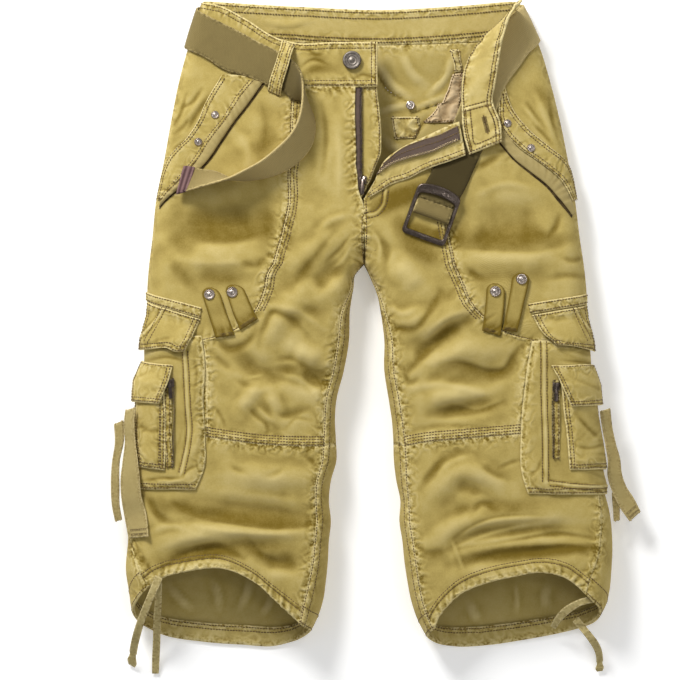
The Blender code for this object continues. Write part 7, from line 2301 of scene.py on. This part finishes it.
@dataclass
class Trimmings:
    """Thread and zip teeth, set along the lines that the pieces gave."""

    wrap: Wrap
    wardrobe: Wardrobe
    sewing: Sewing
    waist: Waist
    stitch_pitch: float = 3.1
    stitch_size: tuple[float, float, float] = (2.8, 1.4, 0.8)
    tack_pitch: float = 0.8
    tack_size: tuple[float, float, float] = (0.9, 0.5, 0.6)
    jitter: float = 0.12
    tooth_pitch: float = 1.5
    tooth_length: float = 0.85
    tooth_height: float = 1.3
    tooth_stagger: float = 0.9

    def thread(self) -> None:
        """Every row of thread, one mesh for each colour."""
        for thread in Thread:
            tack = thread is Thread.TACK
            size = self.tack_size if tack else self.stitch_size
            pitch = self.tack_pitch if tack else self.stitch_pitch
            for side in ("left", "right"):
                lines = [row for row in self.sewing.rows[thread]
                         if (row[0][:, 0].mean() < 0) == (side == "left")]
                if lines:
                    made = Trail.along(f"{thread.value}_{side}", lines, Bead.STITCH, pitch, size,
                                       self.wardrobe.finishes[thread.value], jitter=self.jitter)
                    self.wardrobe.hang(made, thread.value)

    def zips(self) -> None:
        """The cargo zips' tapes, and the teeth of every zip."""
        lines, cargo = [self.wrap.drawn(TAPE_TEETH, -WALL - LAY_GAP + 0.7, 80)], []
        for name, side, plain, toothed in CARGO_TAPES:
            top = self.wrap.on_top
            tape = self.waist.tape(name, side, top(side, plain), top(side, toothed), 6.8, 1.0, "twill", 5, 40)
            self.sewing.edging(tape, [Border.LEFT], (1.2, 5.6))
            tape.tone -= 0.3
            self.wardrobe.sheet(tape, [])
            cargo.append(self.wrap.drawn(toothed, 8.0, 60))
        for name, rows, finish, wide in (("zip_teeth", lines, "gunmetal", 2.6),
                                         ("zip_teeth_cargo", cargo, "gunmetal", 1.5),
                                         ("zip_teeth_turned", [self.waist.turned_teeth], "brass", 2.6)):
            made = Trail.along(name, rows, Bead.TOOTH, self.tooth_pitch,
                               (self.tooth_length, wide, self.tooth_height),
                               self.wardrobe.finishes[finish], stagger=self.tooth_stagger)
            self.wardrobe.hang(made, finish)

    def build(self) -> None:
        """Build the zips and the thread."""
        self.zips()
        self.thread()


class Nodes:
    """A short way to add and join nodes in a tree."""

    def __init__(self, tree: bpy.types.NodeTree) -> None:
        """Take the tree that nodes are added to."""
        self.tree = tree

    def add(self, kind: str, inputs: Optional[dict] = None, **settings: object) -> bpy.types.Node:
        """Add a node.

        Args:
            kind: The node's type.
            inputs: A value or another node's socket for each input, by name or place.
            settings: The node's own settings.
        Returns:
            The node.
        """
        node = self.tree.nodes.new(kind)
        for key, value in settings.items():
            setattr(node, key, value)
        self.feed(node, inputs or {})
        return node

    def feed(self, node: bpy.types.Node, inputs: dict) -> None:
        """Give each named input of a node its value, or another node's socket."""
        for key, value in inputs.items():
            if isinstance(value, bpy.types.NodeSocket):
                self.tree.links.new(value, node.inputs[key])
            else:
                node.inputs[key].default_value = value

    def math(self, operation: str, a: object, b: object = 0.0, clamp: bool = False) -> bpy.types.NodeSocket:
        """Join two values."""
        return self.add("ShaderNodeMath", {0: a, 1: b}, operation=operation, use_clamp=clamp).outputs[0]

    def mix(self, factor: object, a: object, b: object) -> bpy.types.NodeSocket:
        """Mix two colours."""
        return self.add("ShaderNodeMix", {0: factor, 6: a, 7: b}, data_type="RGBA").outputs[2]

    def total(self, *terms: tuple) -> bpy.types.NodeSocket:
        """Sum of pairs of a value and its weight."""
        result = self.math("MULTIPLY", *terms[0])
        for value, weight in terms[1:]:
            result = self.math("ADD", result, self.math("MULTIPLY", value, weight))
        return result

    def place(self) -> bpy.types.NodeSocket:
        """Object coordinates in millimetres."""
        return self.scale(self.add("ShaderNodeTexCoord").outputs["Object"], 1 / MM)

    def noise(self, vector: object, size: float, detail: float = 3.0,
              roughness: float = 0.55) -> bpy.types.NodeSocket:
        """Noise whose features are about a size across, on coordinates in millimetres."""
        return self.add("ShaderNodeTexNoise", {"Vector": vector, "Scale": 1.0 / size, "Detail": detail,
                                               "Roughness": roughness}).outputs[0]

    def scale(self, vector: object, factor: float) -> bpy.types.NodeSocket:
        """A vector scaled by a number."""
        return self.add("ShaderNodeVectorMath", {0: vector, "Scale": factor}, operation="SCALE").outputs[0]

    def ramp(self, value: object, low: float, high: float) -> bpy.types.NodeSocket:
        """A value brought from between two limits to between 0 and 1."""
        return self.add("ShaderNodeMapRange", {0: value, 1: low, 2: high},
                        interpolation_type="SMOOTHSTEP").outputs[0]


class Effects:
    """Shader node groups that more than one finish uses."""

    def __init__(self) -> None:
        """Build every group once."""
        self.groups = {"weave": self.weave(), "wear_and_shade": self.wear_and_shade(), "webbing": self.webbing(),
                       "metal": self.metal()}

    @staticmethod
    def group(name: str, inputs: dict[str, tuple],
              outputs: Sequence[str]) -> tuple[bpy.types.NodeTree, Nodes, object]:
        """A new group with its sockets: (kind, default) for each input, and values out."""
        tree = bpy.data.node_groups.new(name, "ShaderNodeTree")
        for key, (kind, default) in inputs.items():
            socket = tree.interface.new_socket(key, in_out="INPUT", socket_type="NodeSocket" + kind)
            if default is not None:
                socket.default_value = default
        for key in outputs:
            tree.interface.new_socket(key, in_out="OUTPUT", socket_type="NodeSocketFloat")
        nodes = Nodes(tree)
        return tree, nodes, nodes.add("NodeGroupInput").outputs

    @classmethod
    def weave(cls) -> bpy.types.NodeTree:
        """Twill: slanted ribs broken by the threads that cross them; the map is in millimetres."""
        tree, nodes, given = cls.group("twill_weave", {
            "Vector": ("Vector", None), "Rib": ("Float", 0.9), "Slub": ("Float", 0.4)}, ("Height", "Rib"))
        wobble = nodes.noise(given["Vector"], 6.0, 2.0)
        parts = nodes.add("ShaderNodeSeparateXYZ", {0: given["Vector"]}).outputs
        slant = nodes.math("ADD", parts[0], nodes.math("MULTIPLY", parts[1], 0.62))
        slant = nodes.math("ADD", nodes.math("DIVIDE", slant, given["Rib"]),
                           nodes.math("MULTIPLY", wobble, 1.5))
        rib = nodes.math("SINE", nodes.math("MULTIPLY", slant, 2 * math.pi))
        cross = nodes.math("SINE", nodes.math("MULTIPLY", nodes.math("DIVIDE", parts[1], given["Rib"]),
                                              4 * math.pi))
        fibre = nodes.noise(given["Vector"], 0.7, 3.0)
        height = nodes.total((rib, 0.3), (cross, 0.12), (fibre, given["Slub"]))
        nodes.add("NodeGroupOutput", {"Height": height, "Rib": nodes.math("MULTIPLY", rib, 0.5)})
        return tree

    @classmethod
    def wear_and_shade(cls) -> bpy.types.NodeTree:
        """Garment wash with painted light and shade: the tone, made lighter by painted light and wear and
        darker by painted shade, with wash mottling and rubbed edges.
        """
        tree, nodes, given = cls.group("wash_and_painted_shade", {
            "Vector": ("Vector", None), "Tone": ("Float", 0.0), "Edge": ("Float", 50.0),
            "Reach": ("Float", 3.0), "Mottle": ("Float", 1.0), "Crimp": ("Float", 1.0)},
            ("Worn_and_lit", "Deep_and_shaded", "Height"))
        cloud = nodes.math("SUBTRACT", nodes.noise(given["Vector"], 60.0, 2.0), 0.5)
        patch = nodes.math("SUBTRACT", nodes.noise(given["Vector"], 9.0, 4.0, 0.6), 0.5)
        speck = nodes.math("SUBTRACT", nodes.noise(given["Vector"], 1.6, 3.0, 0.6), 0.5)
        ladder = nodes.math("SUBTRACT", nodes.noise(given["Vector"], 2.6, 1.0, 0.4), 0.5)
        rubbed = nodes.math("SUBTRACT", 1.0, nodes.math("DIVIDE", given["Edge"], given["Reach"]), clamp=True)
        rubbed = nodes.math("MULTIPLY", rubbed, nodes.math("ADD", patch, 0.85))
        sewn_reach = nodes.math("MULTIPLY", given["Reach"], 3.2)
        sewn = nodes.math("SUBTRACT", 1.0, nodes.math("DIVIDE", given["Edge"], sewn_reach), clamp=True)
        crimp = nodes.math("SINE", nodes.math("MULTIPLY", nodes.noise(given["Vector"], 17.0, 1.5, 0.4), 30.0))
        close = nodes.math("SUBTRACT", 1.0, nodes.math("DIVIDE", given["Edge"], 17.0), clamp=True)
        crimp = nodes.math("MULTIPLY", nodes.math("MULTIPLY", crimp, close), given["Crimp"])
        ladder = nodes.math("MULTIPLY", ladder, sewn)
        drift = nodes.total((cloud, 0.7), (patch, 0.5), (speck, 0.5), (ladder, 3.6))
        drift = nodes.total((drift, given["Mottle"]), (crimp, 0.42))
        light = nodes.math("ADD", given["Tone"], drift)
        worn_and_lit = nodes.math("ADD", light, nodes.math("MULTIPLY", rubbed, 0.8), clamp=True)
        deep_and_shaded = nodes.math("MULTIPLY", light, -1.0, clamp=True)
        height = nodes.total((patch, 0.8), (speck, 0.5), (ladder, 3.6), (crimp, 1.8))
        nodes.add("NodeGroupOutput", {"Worn_and_lit": worn_and_lit, "Deep_and_shaded": deep_and_shaded, "Height": height})
        return tree

    @classmethod
    def webbing(cls) -> bpy.types.NodeTree:
        """Webbing: ribs across and a chevron along them; the map is in millimetres."""
        tree, nodes, given = cls.group("web_weave", {
            "Vector": ("Vector", None), "Rib": ("Float", 1.6), "Chevron": ("Float", 5.0)}, ("Height", "Rib"))
        parts = nodes.add("ShaderNodeSeparateXYZ", {0: given["Vector"]}).outputs
        fold = nodes.math("PINGPONG", parts[0], given["Chevron"])
        run = nodes.math("ADD", parts[1], nodes.math("MULTIPLY", fold, 0.45))
        rib = nodes.math("SINE", nodes.math("MULTIPLY", nodes.math("DIVIDE", run, given["Rib"]), 2 * math.pi))
        cord = nodes.math("SINE", nodes.math("MULTIPLY", parts[0], 2 * math.pi / 1.1))
        fibre = nodes.noise(given["Vector"], 0.8, 3.0)
        height = nodes.total((rib, 0.45), (cord, 0.22), (fibre, 0.5))
        nodes.add("NodeGroupOutput", {"Height": height, "Rib": nodes.math("MULTIPLY", rib, 0.5)})
        return tree

    @classmethod
    def metal(cls) -> bpy.types.NodeTree:
        """Worn plating: tarnish in patches and fine scratches; coordinates are in millimetres."""
        tree, nodes, given = cls.group("metal_age", {
            "Vector": ("Vector", None), "Age": ("Float", 1.0)}, ("Tarnish", "Scratch", "Height"))
        patch = nodes.noise(given["Vector"], 5.0, 5.0, 0.65)
        fine = nodes.noise(given["Vector"], 0.7, 4.0, 0.6)
        long = nodes.add("ShaderNodeMapping", {"Vector": given["Vector"], "Rotation": (0.1, 0.2, 0.6),
                                               "Scale": (0.12, 3.0, 1.0)}).outputs[0]
        scratch = nodes.ramp(nodes.noise(long, 0.9, 2.0), 0.56, 0.7)
        tarnish = nodes.math("MULTIPLY", nodes.ramp(patch, 0.1, 0.62), given["Age"])
        height = nodes.total((fine, 0.5), (scratch, -0.5))
        nodes.add("NodeGroupOutput", {"Tarnish": tarnish, "Scratch": scratch, "Height": height})
        return tree

    def use(self, nodes: Nodes, name: str, inputs: dict) -> bpy.types.Node:
        """Place a group in a material."""
        return nodes.add("ShaderNodeGroup", inputs, node_tree=self.groups[name])


class Weave(Enum):
    """How a cloth is woven, as the group that draws it."""

    TWILL = "weave"
    WEB = "webbing"


def paint(name: str) -> tuple[bpy.types.Material, Nodes, bpy.types.Node]:
    """A new material with its shader."""
    made = bpy.data.materials.new(name)
    made.use_nodes = True
    return made, Nodes(made.node_tree), made.node_tree.nodes["Principled BSDF"]


@dataclass(frozen=True)
class ClothFinish:
    """A woven finish that is washed and rubbed, with colours for its painted light and shade."""

    name: str
    base: tuple[float, float, float]
    worn_and_lit: tuple[float, float, float]
    deep_and_shaded: tuple[float, float, float]
    weave: Weave = Weave.TWILL
    rib: float = 0.9
    mottle: float = 1.0
    reach: float = 3.0
    roughness: float = 0.88
    bump: float = 0.5
    crimp: float = 1.0

    def build(self, effects: Effects) -> bpy.types.Material:
        """Make the material."""
        made, nodes, shader = paint(self.name)
        place = nodes.place()
        weave_map = nodes.scale(nodes.add("ShaderNodeUVMap", uv_map="weave").outputs[0], 100.0)
        tone = nodes.add("ShaderNodeAttribute", attribute_name="tone").outputs["Fac"]
        edge = nodes.add("ShaderNodeAttribute", attribute_name="edge").outputs["Fac"]
        wear_and_shade = effects.use(nodes, "wear_and_shade", {"Vector": place, "Tone": tone, "Edge": edge, "Reach": self.reach,
                                           "Mottle": self.mottle, "Crimp": self.crimp}).outputs
        weave = effects.use(nodes, self.weave.value, {"Vector": weave_map, "Rib": self.rib}).outputs
        # Painted shade and dark dye go towards the dark colour, painted light and wear towards the pale one
        colour = nodes.mix(wear_and_shade["Deep_and_shaded"], (*self.base, 1), (*self.deep_and_shaded, 1))
        colour = nodes.mix(wear_and_shade["Worn_and_lit"], colour, (*self.worn_and_lit, 1))
        colour = nodes.mix(nodes.math("MULTIPLY", nodes.math("SUBTRACT", 0.5, weave["Rib"]), 0.22), colour,
                           (*self.deep_and_shaded, 1))
        height = nodes.math("ADD", nodes.math("MULTIPLY", weave["Height"], 0.3), wear_and_shade["Height"])
        bump = nodes.add("ShaderNodeBump", {"Strength": self.bump, "Distance": 0.0006, "Height": height})
        rough = nodes.math("ADD", nodes.math("MULTIPLY", wear_and_shade["Worn_and_lit"], -0.08), self.roughness)
        nodes.feed(shader, {"Base Color": colour, "Normal": bump.outputs[0], "Roughness": rough,
                            "Sheen Weight": 0.04, "Sheen Roughness": 0.6, "Specular IOR Level": 0.15})
        return made


@dataclass(frozen=True)
class MetalFinish:
    """A plated metal that is rubbed bright in places and tarnished in others."""

    name: str
    bright: tuple[float, float, float]
    dark: tuple[float, float, float]
    roughness: float = 0.34
    age: float = 0.8

    def build(self, effects: Effects) -> bpy.types.Material:
        """Make the material."""
        made, nodes, shader = paint(self.name)
        place = nodes.place()
        age = effects.use(nodes, "metal", {"Vector": place, "Age": self.age}).outputs
        colour = nodes.mix(age["Tarnish"], (*self.bright, 1), (*self.dark, 1))
        colour = nodes.mix(nodes.math("MULTIPLY", age["Scratch"], 0.35), colour, (*self.bright, 1))
        rough = nodes.math("ADD", nodes.math("MULTIPLY", age["Tarnish"], 0.25), self.roughness)
        bump = nodes.add("ShaderNodeBump", {"Strength": 0.1, "Distance": 0.0002, "Height": age["Height"]})
        nodes.feed(shader, {"Base Color": colour, "Normal": bump.outputs[0], "Roughness": rough,
                            "Metallic": 1.0})
        return made


@dataclass(frozen=True)
class ThreadFinish:
    """Sewing thread with its twist."""

    name: str
    colour: tuple[float, float, float]
    faded: tuple[float, float, float]

    def build(self, effects: Effects) -> bpy.types.Material:
        """Make the material."""
        made, nodes, shader = paint(self.name)
        place = nodes.place()
        long, fine = nodes.noise(place, 14.0, 3.0), nodes.noise(place, 0.5, 2.0)
        colour = nodes.mix(nodes.ramp(long, 0.35, 0.7), (*self.colour, 1), (*self.faded, 1))
        bump = nodes.add("ShaderNodeBump", {"Strength": 0.4, "Distance": 0.0002, "Height": fine})
        nodes.feed(shader, {"Base Color": colour, "Normal": bump.outputs[0], "Roughness": 0.7})
        return made


FINISHES = [
    # the finish, and the slot it stands for
    (ClothFinish("twill", (0.47, 0.36, 0.108), (0.70, 0.58, 0.265), (0.165, 0.108, 0.010)), "twill"),
    (ClothFinish("twill_inside", (0.53, 0.415, 0.14), (0.74, 0.62, 0.30), (0.24, 0.16, 0.03)), "twill"),
    (ClothFinish("twill_back", (0.47, 0.36, 0.108), (0.70, 0.58, 0.265), (0.165, 0.108, 0.010)),
     "twill_back"),
    (ClothFinish("lining", (0.57, 0.42, 0.23), (0.72, 0.56, 0.34), (0.24, 0.15, 0.06)), "twill"),
    (ClothFinish("lining_shadow", (0.05, 0.03, 0.008), (0.09, 0.06, 0.02), (0.02, 0.012, 0.004)), "twill"),
    (ClothFinish("belt", (0.27, 0.205, 0.075), (0.58, 0.455, 0.2), (0.055, 0.04, 0.012), Weave.WEB, 1.7,
                 0.4, 1.7, crimp=0.0), "webbing"),
    (ClothFinish("webbing", (0.40, 0.315, 0.125), (0.57, 0.465, 0.23), (0.2, 0.14, 0.04), Weave.WEB, 1.4,
                 0.8, 1.8, crimp=0.15), "webbing"),
    (ClothFinish("tie", (0.45, 0.365, 0.155), (0.62, 0.52, 0.26), (0.2, 0.14, 0.04), Weave.TWILL, 0.9,
                 0.9, 1.6, crimp=0.3), "webbing"),
    (ClothFinish("zip_tape", (0.115, 0.08, 0.062), (0.2, 0.15, 0.12), (0.05, 0.032, 0.024), Weave.WEB, 0.9,
                 0.6, 1.0, crimp=0.1), "zip_tape"),
    (ClothFinish("binding", (0.14, 0.075, 0.075), (0.22, 0.13, 0.12), (0.06, 0.03, 0.03), Weave.WEB, 0.9,
                 0.6, 1.0, crimp=0.1), "webbing"),
    (MetalFinish("gunmetal", (0.27, 0.215, 0.18), (0.05, 0.037, 0.03), 0.16, 0.8), "gunmetal"),
    (MetalFinish("nickel", (0.68, 0.61, 0.55), (0.2, 0.15, 0.12), 0.2, 0.5), "steel"),
    (MetalFinish("brass", (0.72, 0.58, 0.36), (0.3, 0.21, 0.1), 0.3, 0.5), "gunmetal"),
    (MetalFinish("antique", (0.42, 0.37, 0.32), (0.06, 0.05, 0.042), 0.33, 0.75), "steel"),
    (ThreadFinish("seam_thread", (0.085, 0.048, 0.014), (0.17, 0.105, 0.03)), "twill"),
    (ThreadFinish("pale_thread", (0.33, 0.25, 0.09), (0.45, 0.35, 0.14)), "webbing"),
    (ThreadFinish("tack_thread", (0.075, 0.042, 0.014), (0.14, 0.085, 0.028)), "twill"),
]


WHITE = (1.0, 1.0, 1.0, 1.0)
LIGHTS = [
    # name, place, size, power
    ("key", (-1.2, 2.1, 1.7), 0.8, 88.0),
    ("fill", (1.8, -1.2, 2.2), 2.0, 10.0),
    ("glint", (0.4, 0.35, 2.6), 0.25, 3.0),
    ("edge", (0.9, 1.3, 2.2), 0.3, 3.0),
]


@dataclass
class Studio:
    """Plain pale floor, soft light and the camera over the shorts."""

    field_mm: float = 748.0
    distance: float = 5.0
    sky: float = 0.43
    floor_glow: float = 0.22
    centre: tuple[float, float] = (-0.04457, -0.01763)

    def camera(self) -> None:
        """The camera, straight over the shorts with the waist at the top of the picture."""
        data = bpy.data.cameras.new("camera")
        data.sensor_width, data.lens = 36.0, 36.0 * self.distance / (self.field_mm * MM)
        data.clip_end = 20.0
        made = bpy.data.objects.new("camera", data)
        made.location = (*self.centre, self.distance)
        bpy.context.scene.collection.objects.link(made)
        bpy.context.scene.camera = made

    def floor(self) -> None:
        """The floor."""
        mesh = bpy.data.meshes.new("floor")
        mesh.from_pydata([(-4, -4, -0.0006), (4, -4, -0.0006), (4, 4, -0.0006), (-4, 4, -0.0006)], [],
                         [(0, 1, 2, 3)])
        made = bpy.data.objects.new("floor", mesh)
        finish, nodes, shader = paint("floor")
        shade = nodes.noise(nodes.add("ShaderNodeTexCoord").outputs["Object"], 0.4, 2.0)
        colour = nodes.mix(shade, (0.95, 0.95, 0.945, 1), (0.97, 0.97, 0.965, 1))
        nodes.feed(shader, {"Base Color": colour, "Roughness": 0.9, "Emission Color": WHITE,
                            "Emission Strength": self.floor_glow})
        mesh.materials.append(finish)
        bpy.context.scene.collection.objects.link(made)

    def light(self, name: str, place: Sequence[float], size: float, power: float) -> None:
        """A square light that faces the shorts."""
        data = bpy.data.lights.new(name, "AREA")
        data.shape, data.size, data.energy = "SQUARE", size, power
        made = bpy.data.objects.new(name, data)
        made.location = place
        made.rotation_euler = (-Vector(place)).to_track_quat("-Z", "Y").to_euler()
        bpy.context.scene.collection.objects.link(made)

    def build(self) -> None:
        """Set the studio up."""
        self.camera()
        self.floor()
        for row in LIGHTS:
            self.light(*row)
        world = bpy.data.worlds.new("studio")
        world.use_nodes = True
        nodes = Nodes(world.node_tree)
        incoming = nodes.add("ShaderNodeNewGeometry").outputs["Incoming"]
        up = nodes.add("ShaderNodeSeparateXYZ", {0: incoming}).outputs["Z"]
        dim = nodes.add("ShaderNodeMapRange", {
            "Value": up, "From Min": -0.998, "From Max": -0.88, "To Min": 0.0, "To Max": self.sky},
            interpolation_type="SMOOTHSTEP")
        nodes.feed(world.node_tree.nodes["Background"], {"Strength": dim.outputs["Result"], "Color": WHITE})
        bpy.context.scene.world = world
        bpy.context.scene.view_settings.view_transform = "Standard"


def corners(box: tuple) -> list[list[float]]:
    """A box's corners as plain lists."""
    return [[float(value) for value in corner] for corner in box]


def main() -> None:
    """Build the shorts' looks piece by piece."""
    logging.basicConfig(level=logging.INFO, format="%(name)s: %(message)s")
    Studio().build()
    effects = Effects()
    wardrobe = Wardrobe({finish.name: finish.build(effects) for finish, _ in FINISHES},
                        {finish.name: slot for finish, slot in FINISHES})
    sewing = Sewing()
    Ties(wardrobe, sewing).build()
    LOG.info("ties")
    relief = Relief()
    wrap = Wrap(relief)
    seams = {side: Seams(wrap, side) for side in (-1, 1)}
    for side in (-1, 1):
        for name, strength in (("curved", 0.7), ("side_seam", 0.2), ("knee_side", 0.5), ("knee_centre", 0.5),
                               ("inseam", 0.6), ("inseam_lower", 0.6), ("outseam_lower", 0.4),
                               ("hem_front", 1.3), ("fly", 0.9)):
            relief.add_pucker(seams[side].plan(name)[::4], strength)
    for points in (WAIST_TOP_LEFT, WAIST_SEAM_LEFT, *(flap[-1] for flap in FLAPS if "slant" in flap[0])):
        relief.add_pucker(sample(np.array(points, float), 60), 1.1)
    relief.finish()
    legs = Legs(wrap, wardrobe, sewing, seams)
    legs.build()
    LOG.info("legs")
    waist = Waist(wrap, wardrobe, sewing, legs)
    waist.build()
    LOG.info("waist")
    belt = Belt(wrap, wardrobe, sewing, waist)
    belt.build()
    Buckle(wrap, wardrobe, sewing).build()
    LOG.info("belt and buckle")
    Overlays(wrap, wardrobe, sewing, belt).build()
    LOG.info("pockets, flaps, tabs and straps")
    Hardware(wrap, wardrobe).build()
    Trimmings(wrap, wardrobe, sewing, waist).build()
    LOG.info("metal, zips and thread")


if __name__ == "__main__":
    main()
